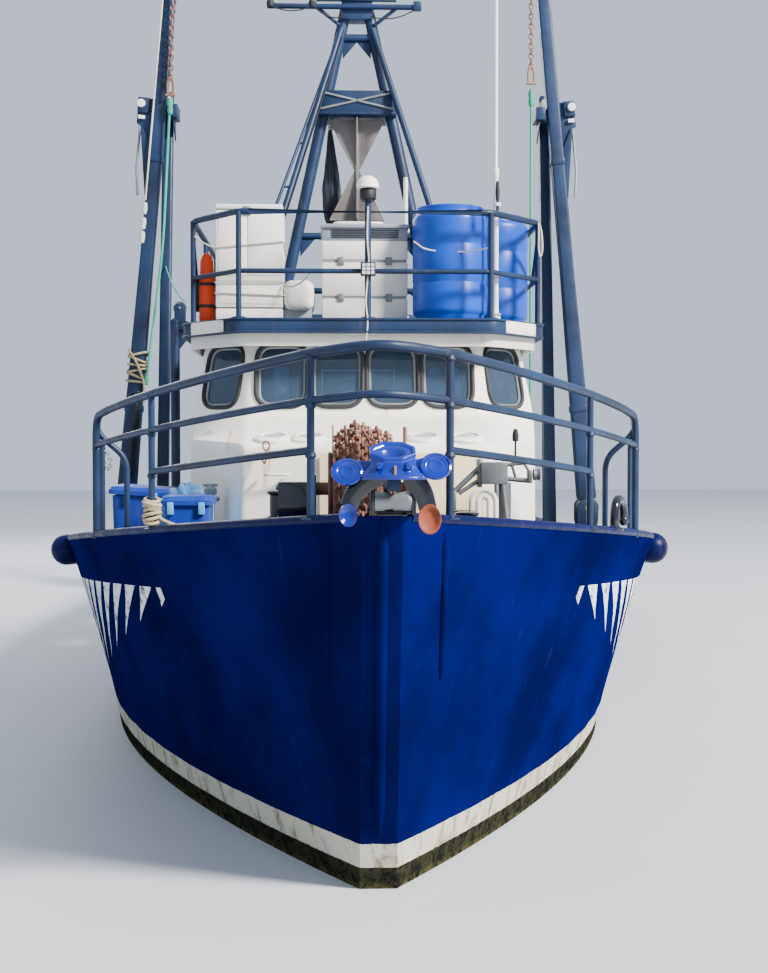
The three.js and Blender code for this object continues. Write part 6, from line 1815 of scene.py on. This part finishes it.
@dataclass
class ForedeckGear(SubAssembly):
    """Anchor and its roller, winch with wound chain, bitts, hauler, bins and loose gear."""

    anchor_x: float = 0.036
    drum: tuple[float, float, float] = (-0.08, -6.78, 2.15)
    deck: float = 1.3003
    wraps: tuple[float, ...] = (0.308, 0.342, 0.368, 0.352, 0.33, 0.338, 0.316)
    bitts: tuple[tuple[int, str, float], ...] = ((1, "port", 2.0), (-1, "starboard", 2.13))
    bins: tuple[tuple[str, float, float, float, float, float], ...] = (
        ("fish_bin_1", -1.64, -4.22, 0.22, 0.3, 2.09), ("fish_bin_2", -1.19, -5.52, 0.15, 0.19, 2.07))

    def build(self) -> None:
        """Make the foredeck gear."""
        self.roller()
        self.anchor()
        self.winch()
        self.mooring_bitts()
        self.hauler()
        self.fish_bins()
        self.loose_gear()

    def roller(self) -> None:
        """Make the bow roller between its cheeks."""
        cheeks = blocks((-0.065, -0.045, -8.13, -7.56, 2.062, 2.2), (0.135, 0.155, -8.13, -7.56, 2.062, 2.2),
                        (-0.065, 0.155, -7.99, -7.56, 2.062, 2.08), (-0.03, 0.12, -7.999, -7.9, 2.051, 2.07))
        self.add("roller_cheeks", cheeks, Finish.POLISHED_NAVY, "bow_roller", bevel=0.006)
        rows = [(0, -0.055), (0.03, -0.055), (0.048, -0.088), (0.048, -0.07), (0.036, 0), (0.048, 0.07),
                (0.048, 0.088), (0.03, 0.115), (0, 0.115)]
        self.add("roller_wheel", turned(rows, (0.045, -8.08, 2.13), Axis.X, 30), Finish.GALVANISED)

    def anchor(self) -> None:
        """Make the anchor: cup and skirt, two palms, two arms with spoon tips, and the shank."""
        self.add("anchor_crown", self.crown() + self.palms(), Finish.ANCHOR, "anchor", angle=44)
        x, y = self.anchor_x, -8.275
        slot = block((x + 0.002, x + 0.014), (y - 0.083, y - 0.06), (2.245, 2.305))
        self.add("anchor_slot", slot, Finish.RUST, bevel=0.003)
        bowl = turned([(0, -0.024), (0.036, -0.021), (0.05, -0.008), (0.054, 0.004), (0.051, 0.011),
                       (0.045, 0.009), (0.036, -0.002), (0.018, -0.008), (0, -0.009)], sides=40)
        arms = []
        for name, finish, tip, size, way in (
                ("starboard", Finish.ANCHOR, (-0.208, 2.072), 0.8,
                 [(-0.06, 2.26), (-0.13, 2.225), (-0.185, 2.17), (-0.205, 2.11)]),
                ("port", Finish.RUSTED_TIP, (0.172, 2.052), 1.02,
                 [(0.08, 2.26), (0.115, 2.225), (0.15, 2.17), (0.166, 2.1)])):
            line = eased([(x + u, y + 0.03, z) for u, z in way], 0.05, 6)
            thick = np.linspace(0.05, 0.043, len(line))
            arms.append(tube(line, thick, section=circle(20, 1, 0.36), up=(1, 0, 0.4)))
            spoon = Form(bowl.points * [size, 1.3 * size, size], bowl.faces)
            spoon = spoon.moved((x + tip[0], y - 0.005, tip[1]), turn_about(Axis.X, 82))
            self.add(f"anchor_tip_{name}", spoon, finish, angle=60)
        # The arms take the near-black polished navy instead of the crown's blue: painted shade under the
        # skirt.
        self.add("anchor_arms", arms, Finish.POLISHED_NAVY, angle=60)
        shank = box_tube([(0.045, -8.23, 2.214), (0.045, -7.36, 2.214)], 0.033, (0, 0, 1))
        ring = turned([(0.044, -0.014), (0.072, -0.014), (0.072, 0.014), (0.044, 0.014)],
                      (0.045, -7.29, 2.215), Axis.X, 30, loop=True)
        self.add("anchor_shank", shank + ring, Finish.NAVY, bevel=0.002)
        lead = [(0.045, -7.25, 2.2), (0.03, -7.22, 2.3), (-0.02, -7.18, 2.38), (-0.06, -7.14, 2.45)]
        self.add("anchor_chain", chain(eased(lead, 0.05, 6), 0.009, 0.075), Finish.RUST)

    def crown(self) -> Form:
        """Return the anchor's cup on its skirt.

        Returns:
            Rings from the hole's floor over the lip and down to the skirt. Each is an ellipse,
            drawn towards an octagon by its last number and tilted by the one before.
        """
        rows = np.array([
            (0.03, 0.016, 0.02, 0.45, 0), (0.05, 0.028, 0.024, 0.5, 0), (0.056, 0.032, 0.064, 0.58, 0.3),
            (0.066, 0.04, 0.072, 0.58, 0.6), (0.094, 0.06, 0.07, 0.58, 1), (0.1, 0.065, 0.082, 0.58, 1),
            (0.113, 0.072, 0.083, 0.58, 1), (0.1175, 0.075, 0.074, 0.56, 1), (0.115, 0.073, 0.06, 0.5, 1),
            (0.113, 0.074, 0.034, 0.4, 0.9), (0.121, 0.08, 0.01, 0.3, 0.6), (0.143, 0.09, -0.012, 0.2, 0.3),
            (0.164, 0.1, -0.026, 0.1, 0), (0.171, 0.104, -0.04, 0.05, 0), (0.165, 0.1, -0.055, 0, 0),
            (0.12, 0.08, -0.05, 0, 0)])
        wide, deep, level, tilt, eightness = rows.T[:, :, None]
        angle = around(64)
        octagon = math.cos(TAU / 16) / np.cos((angle + TAU / 16) % (TAU / 8) - TAU / 16)
        reach = 1 + (octagon[None] - 1) * eightness
        px, py = wide * reach * np.cos(angle), deep * reach * np.sin(angle)
        cup = surface(np.stack([px, py, level + tilt * py], -1)).moved((self.anchor_x, -8.265, 2.294))
        knob = turned([(0, -0.022), (0.011, -0.02), (0.013, -0.008), (0.022, 0.0), (0, 0.004)], axis=Axis.Y,
                      sides=18)
        return cup + knob.copies([(self.anchor_x + a, -8.338 + abs(a) * 0.12, 2.3) for a in (-0.066, 0.068)])

    def palms(self) -> Form:
        """Return the anchor's two dished palms, webbed to the skirt."""
        disc = turned([(0, -0.022), (0.058, -0.022), (0.071, -0.012), (0.075, 0.0), (0.073, 0.009),
                       (0.066, 0.012), (0.06, 0.005), (0.05, 0.007), (0.042, 0.002), (0.032, 0.005),
                       (0.022, 0.0), (0, 0.002)], sides=48)
        disc = Form(disc.points * [1, 0.93, 1], disc.faces)
        forms = []
        for reach, height in ((-0.214, 2.274), (0.2, 2.3)):
            place = np.array([self.anchor_x + reach, -8.285, height])
            forms.append(disc.moved(place, turn_about(Axis.X, 62)))
            root = np.array([self.anchor_x + reach * 0.42, -8.255, 2.29])
            web = np.linspace(0, 1, 8)[:, None] * (place + [0, 0.022, 0] - root) + root
            thick = np.linspace(0.04, 0.056, 8)
            forms.append(tube(web, thick, section=circle(24, 1, 0.32), up=(0, 0.4, 1)))
        return gather(forms)

    def winch(self) -> None:
        """Make the anchor winch and, on its own body, the drum with chain wound on it."""
        self.eased_copy("anchor_winch", Finish.POLISHED_NAVY, 0.008)
        x, y, z = self.drum
        levers = [bar((-0.241, -6.34, self.deck), (-0.241, -6.34, 2.52), 0.006, 8),
                  bar((0.2, -6.34, self.deck), (0.194, -6.34, 2.51), 0.012, 10)]
        self.add("winch_levers", levers, Finish.RUST)
        spots = [(x - 0.47, y + a, b) for a in (-0.09, 0.09) for b in (1.98, 2.16)]
        self.add("winch_bolts", heads(spots, 0.014, Axis.X, -1), Finish.GALVANISED)
        half = [(0.26, 0.15), (0.2, 0.165), (0.21, 0.175), (0.21, 0.185), (0.2, 0.19), (0.037, 0.19),
                (0.037, 0.298), (0, 0.298)]
        core = turned(both_ways(half), (x, y, z), Axis.X, 44)
        self.add("chain_drum_core", core, Finish.RUST, "chain_drum", body="chain_drum")
        rings = []
        for number, radius in enumerate(self.wraps):
            a = around(90) + 0.3 * number
            reach = radius + 0.006 * np.sin(3 * a + number) + 0.004 * np.sin(7 * a)
            across = x - 0.13 + 0.045 * number + 0.008 * np.sin(2 * a + 1.7 * number)
            way = np.stack([across, y + reach * np.cos(a), z + reach * np.sin(a)], -1)
            rings.append(chain(way, 0.0085, 0.072))
        self.add("wound_chain", rings, Finish.RUST, body="chain_drum")

    def mooring_bitts(self) -> None:
        """Make both pairs of bitts with their heads, horns and cross bar, and the rope on them."""
        deck, y = self.deck, -6.33
        horn = both_ways([(0.024, 0.085), (0.027, 0.1), (0.02, 0.108), (0, 0.11)])
        for side, name, top in self.bitts:
            x = side * 0.56
            rows = [(0, deck), (0.075, deck + 0.012), (0.06, deck + 0.04), (0.057, deck + 0.06),
                    (0.057, top - 0.03), (0.068, top - 0.022), (0.075, top - 0.015), (0.075, top - 0.005),
                    (0.06, top), (0, top)]
            forms = [bar((x, y - 0.13, top - 0.12), (x, y + 0.13, top - 0.12), 0.03, 18),
                     block((x - 0.11, x + 0.11), (y - 0.23, y + 0.23), (deck, deck + 0.018))]
            for off in (-0.13, 0.13):
                forms.append(turned(rows, (x, y + off, 0), sides=30))
                forms.append(turned(horn, (x, y + off, top - 0.25), Axis.X, 18))
            self.add(f"bitts_{name}_posts", forms, Finish.POLISHED_NAVY, f"bitts_{name}")
        turns = []
        for number in range(4):
            ring = lifted(ring_outline(0.16, 0.42, 0.08, 6), Axis.Z, 1.95 - 0.026 * number) + [-0.56, y, 0]
            turns.append(rope(np.vstack([ring, ring[:1]]), 0.013, 0.08))
        post = LINES.rail(1.75) * [-1, 1, 1]
        lead = [(-0.64, -6.3, 1.92), (-0.8, -6.29, 1.93), (-1.05, -6.27, 1.86), post + [0.05, -0.02, 0.06],
                post + [0.03, 0.03, 0.1]]
        turns.append(rope(eased(lead, 0.1, 8), 0.013, 0.08))
        a = np.linspace(0, TAU, 25)
        for number in range(7):
            r = 0.042 + 0.004 * (number % 3)
            rise = 0.05 + 0.022 * number + 0.012 * np.sin(a + number)
            turns.append(rope(np.stack([r * np.cos(a), r * np.sin(a), rise], -1) + post, 0.0125, 0.08))
        self.add("bitts_rope", turns, Finish.BEIGE_ROPE)

    def hauler(self) -> None:
        """Make the line hauler and the white hoses beside it."""
        deck = self.deck
        rows = [(0, deck), (0.13, deck), (0.13, deck + 0.016), (0.06, deck + 0.024), (0.05, deck + 0.05),
                (0.05, 2.16), (0, 2.16)]
        post = turned(rows, (0.85, -5.87, 0), sides=26)
        self.add("hauler_post", post, Finish.GALVANISED, "line_hauler")
        box = blocks((0.7, 0.87, -5.95, -5.79, 2.15, 2.29), (0.68, 0.71, -5.93, -5.81, 2.13, 2.31),
                     (0.49, 0.545, -5.92, -5.87, 1.98, 2.11), (1.0, 1.03, -5.92, -5.86, 2.155, 2.24))
        self.add("hauler_box", box, Finish.GALVANISED, bevel=0.008)
        arms = [bar(start, end, radius, 12) for start, end, radius in (
            ((0.7, -5.89, 2.26), (0.53, -5.9, 2.1), 0.018), ((0.7, -5.89, 2.18), (0.56, -5.9, 2.09), 0.014),
            ((0.86, -5.89, 2.27), (1.02, -5.89, 2.29), 0.012),
            ((0.86, -5.89, 2.185), (1.02, -5.89, 2.17), 0.016),
            ((0.9, -5.89, 2.28), (0.93, -5.89, 2.18), 0.01),
            ((0.98, -5.89, 2.285), (1.015, -5.89, 2.23), 0.01),
            ((0.8, -5.93, 2.16), (0.79, -6.0, 1.32), 0.016),
            ((0.84, -5.93, 2.16), (0.92, -6.0, 1.32), 0.016))]
        arms.append(sheave(0.04, 0.04, (1.06, -5.89, 2.21), Axis.X))
        self.add("hauler_arms", arms, Finish.GALVANISED)
        knob = turned([(0, 2.42), (0.02, 2.425), (0.022, 2.46), (0.014, 2.5), (0, 2.505)], (0.93, -5.85, 0),
                      sides=18)
        self.add("hauler_lever", knob + bar((0.93, -5.85, 2.3), (0.93, -5.85, 2.43), 0.007, 10), Finish.BLACK)
        hoses = []
        near, far = np.array([0, 0, 0.2]), np.array([0, 0, 0.7])
        a = np.linspace(0, math.pi, 20)
        for radius in (0.075, 0.034):
            arch = np.stack([0.69 + radius * np.cos(a), -6.18 + 0.02 * np.sin(a), 2.045 + radius * np.sin(a)],
                            -1)
            way = np.vstack([arch[0] - far, arch[0] - near, arch, arch[-1] - near, arch[-1] - far])
            hoses.append(tube(way, 0.017, 16))
        self.add("white_hoses", hoses, Finish.PLASTIC)
        self.add("hose_stand", block((0.59, 0.79), (-6.24, -6.12), (deck, 1.36)), Finish.NAVY, bevel=0.006)

    def fish_bins(self) -> None:
        """Make the bins: tapered walls with ribs, a rolled lid and clips, and a heap of net on a crate."""
        for number, (node, x, y, a, b, top) in enumerate(self.bins):
            levels = [(self.deck, 0.88), (self.deck + 0.012, 0.9), (1.6, 0.94), (1.615, 0.955), (1.66, 0.958),
                      (1.675, 0.945), (top - 0.075, 0.985), (top - 0.06, 0.985)]
            walls = [lifted(ring_outline(2 * a * k, 2 * b * k, 0.035, 5), Axis.Z, z) for z, k in levels]
            self.add(f"{node}_walls", surface(np.array(walls) + [x, y, 0]), Finish.BIN, node)
            levels = [(-0.062, 0.016), (-0.06, 0.02), (-0.03, 0.02), (-0.024, 0.012), (-0.012, 0.008),
                      (-0.004, 0.0), (0, -0.02)]
            lid = [lifted(ring_outline(2 * (a + grow), 2 * (b + grow), 0.04, 5), Axis.Z, z)
                   for z, grow in levels]
            tilt = turn_about(Axis.Y, 4.0) if number == 0 else None
            self.add(f"{node}_lid", surface(np.array(lid)).moved((x, y, top), tilt), Finish.BIN)
            clips = [block((x + c - 0.02, x + c + 0.02), (y - b - 0.026, y - b + 0.01),
                           (top - 0.12, top - 0.04)) for c in (-0.1, 0.1)]
            self.add(f"{node}_clips", clips, Finish.PALE_BIN, bevel=0.004)
        a, s = np.meshgrid(around(40), np.linspace(0.02, 1, 24))
        lump = 0.75 + 0.16 * np.sin(3 * a + 5 * s) + 0.09 * np.sin(7 * a - 9 * s)
        spread, rise = np.sin(s * 1.5) * lump, np.cos(s * 1.5) * lump
        heap = np.stack([0.17 * spread * np.cos(a), 0.12 * spread * np.sin(a), 0.14 * rise - 0.06], -1)
        self.add("net_heap", surface(heap + [-1.24, -5.2, 2.07]), Finish.PALE_NET, angle=80)
        crate = block((-1.42, -1.06), (-5.32, -5.08), (self.deck, 2.04))
        self.add("pale_crate", crate, Finish.PALE_BIN, bevel=0.02)

    def loose_gear(self) -> None:
        """Make the fairlead, the plywood board and a vent post with its handle."""
        spots = [(2.21, 0.003), (2.21, 0.12), (2.235, 0.185), (2.31, 0.215), (2.385, 0.195), (2.43, 0.14),
                 (2.43, 0.075)]
        way = np.array([LINES.rail(distance, height) for distance, height in spots])
        tip = turned(both_ways([(0.036, 0.01), (0.022, 0.03), (0, 0.036)]), way[-1], sides=20)
        horn = [pipe(way, 0.08, 0.031, 18, 7), tip, flange(0.06, way[0] - [0, 0, 0.001], 0.031)]
        self.add("fairlead_horn", horn, Finish.POLISHED_NAVY, "fairlead_port")
        self.eased_copy("plywood_board", Finish.PLYWOOD, 0.002)
        x, y, deck = -1.1, -4.92, self.deck
        post = turned([(0, deck), (0.06, deck), (0.06, deck + 0.015), (0.028, deck + 0.03), (0.028, 2.04),
                       (0.045, 2.06), (0.045, 2.09), (0.02, 2.12), (0, 2.12)], (x, y, 0), sides=22)
        cross = bar((x - 0.05, y, 2.118), (x + 0.05, y, 2.118), 0.01, 12)
        self.add("vent_post", post + cross, Finish.GREY)
        ball = turned([(0, -0.018), (0.012, -0.014), (0.018, 0), (0.012, 0.014), (0, 0.018)],
                      (x + 0.05, y - 0.02, 2.02), sides=18)
        stalk = bar((x + 0.02, y, 2.02), (x + 0.05, y - 0.02, 2.02), 0.006, 8)
        self.add("vent_knob", ball + stalk, Finish.GALVANISED)


# Working deck


@dataclass
class WorkingDeck(SubAssembly):
    """Trawl winch, hatch, net drum, gantry, trawl doors and exhaust."""

    winch: tuple[float, float] = (0.8, 1.35)
    net: tuple[float, float] = (4.9, 1.8)
    gantry: tuple[float, float, float] = (1.95, 7.3, 4.45)
    deck: float = 0.7503

    def build(self) -> None:
        """Make the gear of the working deck."""
        self.trawl_winch()
        self.hatch()
        self.net_drum()
        self.stern_gantry()
        self.exhaust()

    def trawl_winch(self) -> None:
        """Make the winch frame and its drums, wound with wire as a wave on the radius."""
        self.eased_copy("winch_frame", Finish.NAVY, 0.008)
        y, z = self.winch
        wire = [(0.262 + 0.011 * abs(math.sin(math.pi * (w - 0.2) / 0.0223)), w)
                for w in np.linspace(0.2, 0.96, 240)]
        half = [(0.046, 0.17), (0.355, 0.17), (0.36, 0.175), (0.36, 0.19), (0.355, 0.195), *wire,
                (0.355, 0.965), (0.36, 0.97), (0.36, 0.985), (0.355, 0.99), (0.046, 0.99), (0.046, 1.14),
                (0.112, 1.145), (0.08, 1.19), (0.075, 1.23), (0.085, 1.27), (0.115, 1.31), (0, 1.31)]
        self.add("winch_drum_wire", turned(both_ways(half), (0, y, z), Axis.X, 40), Finish.WIRE,
                 "winch_drums", body="winch_drums")
        places = (-0.3, -0.2, 0.2, 0.3)
        levers = [bar((a, y + 0.38, 0.86), (a + 0.02, y + 0.44, 1.52), 0.012, 10) for a in places]
        self.add("winch_levers_aft", levers, Finish.GALVANISED)
        knob = turned([(0, -0.025), (0.02, -0.015), (0.022, 0.01), (0, 0.028)], sides=14)
        knobs = knob.copies([(a + 0.02, y + 0.44, 1.53) for a in places])
        self.add("winch_knobs", knobs, Finish.BLACK)

    def hatch(self) -> None:
        """Make the hatch coaming with its toggles, and the lid on its own body."""
        self.eased_copy("hatch_coaming", Finish.NAVY, 0.006)
        self.eased_copy("hatch_lid", Finish.CREAM, 0.008, body="hatch_lid")
        bead = hoop(0.9, 0.84, 0.05, 0.007, Axis.Z, 1.2405).moved((0, 2.82, 0))
        self.add("lid_bead", bead, Finish.CREAM, body="hatch_lid")
        toggles = [block((a - 0.015, a + 0.015), (3.292, 3.312), (1.06, 1.15)) for a in (-0.35, 0.35)]
        self.add("hatch_toggles", toggles, Finish.GALVANISED, bevel=0.004)

    def net_drum(self) -> None:
        """Make the stands and the drum: flanges, and net wound on it in uneven folds with floats."""
        y, z = self.net
        for name in ("net_stand_port", "net_stand_starboard"):
            self.eased_copy(name, Finish.NAVY, 0.008)
        rim = [(0.05, 1.225), (0.672, 1.225), (0.68, 1.232), (0.68, 1.253), (0.672, 1.26), (0.06, 1.27),
               (0.05, 1.28)]
        side = [turned(rim, (0, y, z), Axis.X, 56, loop=True)]
        for c, d in circle(8):
            inner, outer = ((1.262, y + reach * c, z + reach * d) for reach in (0.08, 0.66))
            side.append(bar(inner, outer, 0.012, 8))
        shaft = turned(both_ways([(0.05, 1.44), (0, 1.44)]), (0, y, z), Axis.X, 24)
        self.add("net_drum_flanges", gather(side).both() + shaft, Finish.NAVY, "net_drum", body="net_drum")
        w, a = np.meshgrid(np.linspace(-1.222, 1.222, 150), around(120), indexing="ij")
        base = np.interp(np.abs(w), [0, 0.5, 1.0, 1.15, 1.222], [0.455, 0.44, 0.385, 0.32, 0.22])
        folds = 0.5 + 0.5 * np.sin(23 * w + 2.2 * np.sin(2 * a + 3 * w)) * np.cos(3 * a + 9 * w)
        cords = np.abs(np.sin(5 * a + 31 * w)) ** 3
        radius = base * (0.92 + 0.07 * folds + 0.025 * cords)
        grid = np.stack([w, y + radius * np.cos(a), z + radius * np.sin(a)], -1)
        self.add("wound_net", surface(grid), Finish.NET, body="net_drum", angle=70)
        bead = turned([(0, -0.06), (0.03, -0.055), (0.052, -0.03), (0.058, 0), (0.052, 0.03), (0.03, 0.055),
                       (0, 0.06)], sides=18)
        a = 0.9 + 2.4 * np.arange(13)
        spots = np.stack([np.linspace(-0.8, 0.8, 13), y + 0.44 * np.cos(a), z + 0.44 * np.sin(a)], -1)
        self.add("net_floats", bead.copies(spots), Finish.ORANGE, body="net_drum")

    def stern_gantry(self) -> None:
        """Make the gantry with its braces, hanging blocks and lamps, and the doors on its sides."""
        x, y, top = self.gantry
        deck = self.deck
        side = [box_tube([(x, y, deck), (x, y, top - 0.003)], 0.075),
                bar((x, y - 1.3, deck + 0.02), (x, y, 3.3), 0.055, 18),
                bar((x, y, 3.7), (x - 0.65, y, top - 0.04), 0.045, 16),
                flange(0.11, (x, y - 1.3, deck), 0.055, 0.02),
                blocks((x - 0.13, x + 0.13, y - 0.13, y + 0.13, deck, deck + 0.02),
                       (1.41, 1.49, y - 0.09, y - 0.065, top - 0.47, top - 0.1),
                       (1.41, 1.49, y + 0.065, y + 0.09, top - 0.47, top - 0.1))]
        beam = box_tube([(-x - 0.07, y, top - 0.075), (x + 0.07, y, top - 0.075)], 0.0745, (0, 0, 1))
        crown = block((-0.3, 0.3), (y - 0.06, y + 0.06), (top - 0.01, top + 0.09))
        self.add("gantry_frame", [gather(side).both(), beam, crown], Finish.NAVY, "stern_gantry", bevel=0.003)
        wheels = sheave(0.15, 0.06, (1.45, y, top - 0.38), Axis.X).both()
        self.add("gantry_sheaves", wheels, Finish.GALVANISED)
        pad = block((2.022, 2.1), (y - 0.03, y + 0.03), (3.26, 3.34))
        for side, name in ((1, "port"), (-1, "starboard")):
            self.eased_copy(f"trawl_door_{name}", Finish.RUST, 0.008)
            hang = chain(np.array([(side * 2.09, y, 2.72), (side * 2.06, y, 3.3)]), 0.009, 0.075)
            self.add(f"door_chain_{name}", hang, Finish.GALVANISED)
            self.add(f"door_lug_{name}", pad.on(side), Finish.NAVY, bevel=0.005)
        lamp = block((0.84, 0.96), (y - 0.13, y - 0.078), (top - 0.12, top - 0.03))
        self.add("gantry_lamps", lamp.both(), Finish.LAMP, bevel=0.008)

    def exhaust(self) -> None:
        """Make the exhaust casing and its pipe with a swept end."""
        casing = block((-1.18, -0.7), (-0.62, -0.06), (self.deck, 1.65))
        self.add("exhaust_casing", casing, Finish.WEATHERED, "exhaust_stack", bevel=0.02)
        way = eased([(-0.94, -0.34, 1.6), (-0.94, -0.34, 3.85), (-0.94, -0.24, 4.0)], 0.2, 8)
        band = turned([(0.083, -0.02), (0.094, -0.018), (0.094, 0.018), (0.083, 0.02)], sides=28, loop=True)
        bands = band.copies([(-0.94, -0.34, height) for height in (1.7, 2.6, 3.4)])
        self.add("exhaust_pipe", tube(spaced(way, 0.05), 0.085, 28) + bands, Finish.SOOT)
        grille = [block((-1.1, -0.78), (-0.626, -0.615), (low, low + 0.012))
                  for low in np.linspace(1.1, 1.5, 9)]
        self.add("casing_grille", grille, Finish.BLACK, bevel=0.002)


# Stern gear


@dataclass
class SternGear(SubAssembly):
    """Propeller and rudder."""

    hub: tuple[float, float, float] = (0.0, 6.36, -1.25)
    radius: float = 0.56
    pitch: float = 0.13

    def blade(self) -> Form:
        """Return one blade.

        Returns:
            Rings outwards from the hub. Each is a lens whose chord lies at the angle
            atan(pitch / radius), with its middle swept aft as the square of the radius.
        """
        s = np.linspace(0.06, 1, 30)[:, None]
        r = s * self.radius
        chord = np.interp(s, [0.06, 0.25, 0.5, 0.72, 0.9, 0.97, 1.0],
                          [0.07, 0.112, 0.142, 0.142, 0.1, 0.055, 0.012])
        thick = np.interp(s, [0, 0.3, 1], [0.03, 0.02, 0.004])
        a = around(24)[None]
        u, v = chord * np.cos(a), thick * np.sin(a) * (1 + 0.3 * np.cos(a))
        turn = np.arctan(self.pitch / r)
        across = u * np.cos(turn) - v * np.sin(turn)
        aft = u * np.sin(turn) + v * np.cos(turn) + 0.04 * s**2
        return surface(np.stack([across, aft, r + 0 * a], -1))

    def build(self) -> None:
        """Make the propeller and the rudder."""
        rows = [(0, -0.2295), (0.042, -0.2295), (0.046, -0.215), (0.088, -0.215), (0.098, -0.19),
                (0.11, -0.06), (0.105, 0.12), (0.085, 0.16), (0.06, 0.2), (0.056, 0.24), (0.03, 0.265),
                (0, 0.27)]
        x, y, z = self.hub
        blades = [self.blade().moved((x, y - 0.02, z), turn_about(Axis.Y, 90 * k)) for k in range(4)]
        self.add("propeller_blades", [turned(rows, self.hub, Axis.Y, 40), *blades], Finish.BRONZE,
                 "propeller", body="propeller", angle=50)
        s = np.linspace(0, 1, 22)[None]
        z = np.array([-1.83, -1.8, -1.4, -1.0, -0.6, -0.56])[:, None]
        full = np.array([0.4, 1, 1, 1, 1, 0.4])[:, None]
        thick = 0.156 * np.sqrt(s) * (1 - s) + 0.004 * s
        port = np.stack([np.clip(thick, 0, 0.06) * full, 6.962 + 0.806 * s + 0 * z, z + 0 * s], -1)
        ring = np.concatenate([port, port[:, ::-1] * [-1, 1, 1]], 1)
        forms = [surface(ring, ends=Ends.ZIP), bar((0, 7.15, -0.6), (0, 7.15, -0.4303), 0.055, 22),
                 bar((0, 7.15, -1.8797), (0, 7.15, -1.8), 0.045, 20)]
        self.add("rudder_blade", forms, Finish.ANTIFOULING, "rudder", body="rudder", bevel=0.002)


# Light, floor and camera


@dataclass
class Studio:
    """A pale floor at the waterline, soft lights and the camera ahead of the bow."""

    eye: tuple[float, float, float] = (-0.25, -14.8, 2.4)
    yaw: float = 2.15
    pitch: float = 1.7
    focal_pixels: float = 1400.0
    picture_height: float = 973.0
    sensor: float = 36.0
    floor_half: float = 60.0
    sky: tuple[float, float, float, float] = (0.72, 0.84, 1.0, 1)
    sky_strength: float = 0.95

    def floor(self) -> None:
        """Make the floor, a flat grid at z = 0."""
        side = np.linspace(-self.floor_half, self.floor_half, 3)
        x, y = np.meshgrid(side, side, indexing="ij")
        grid = surface(np.stack([x, y, 0 * x], -1), around=False, ends=Ends.OPEN)
        obj = new_object("floor", mesh_of(grid, "floor"))
        shader = Shader("studio_floor")
        tones = tone((178, 184, 190)), tone((188, 193, 197))
        shader.put("Base Color", shader.mix(shader.noise(0.4, 2), *tones))
        shader.put("Roughness", 0.75)
        obj.data.materials.append(shader.material)

    def light(self, name: str, place: Point, target: Point, size: float, watts: float, colour: Point) -> None:
        """Add a square soft light.

        Args:
            name: its name.
            place: where it stands.
            target: the point that it faces.
            size: its side.
            watts: its power.
            colour: its colour.
        """
        lamp = bpy.data.lights.new(name, "AREA")
        lamp.size, lamp.energy, lamp.color = size, watts, colour
        z = unit(np.subtract(place, target).astype(float))
        x = unit(np.cross([0, 0, 1.0], z))
        rows = np.eye(4)
        rows[:3] = np.stack([x, np.cross(z, x), z, place], -1)
        new_object(name, lamp).matrix_world = Matrix(rows.tolist())

    def build(self) -> None:
        """Make the floor, the lights, the sky and the camera."""
        self.floor()
        world = bpy.data.worlds.new("studio")
        world.use_nodes = True
        background = world.node_tree.nodes["Background"]
        background.inputs[0].default_value = self.sky
        background.inputs[1].default_value = self.sky_strength
        bpy.context.scene.world = world
        self.light("key", (38, -31, 36), (0, -3, 1.5), 10.0, 128000.0, (1.0, 0.96, 0.9))
        self.light("fill", (-18, -10, 9), (0, -2, 1.5), 14.0, 300.0, (0.85, 0.92, 1.0))
        self.light("back", (-8, 18, 12), (0, 2, 2), 10.0, 2500.0, (1.0, 0.98, 0.95))
        camera = bpy.data.cameras.new("camera")
        camera.sensor_width = self.sensor
        camera.lens = self.focal_pixels * self.sensor / self.picture_height
        camera.clip_end = 300.0
        obj = new_object("camera", camera)
        obj.location = self.eye
        obj.rotation_euler = (math.radians(90 - self.pitch), 0, math.radians(-self.yaw))
        bpy.context.scene.camera = obj


def main() -> None:
    """Build the studio, then the boat's sub-assemblies in order."""
    logging.basicConfig(level=logging.INFO, format="%(message)s")
    Studio().build()
    for assembly in (Hull(), House(), BowRail(), UpperRail(), RoofGear(), Mast(), Rig(),
                     ForedeckGear(), WorkingDeck(), SternGear()):
        assembly.build()


if __name__ == "__main__":
    main()
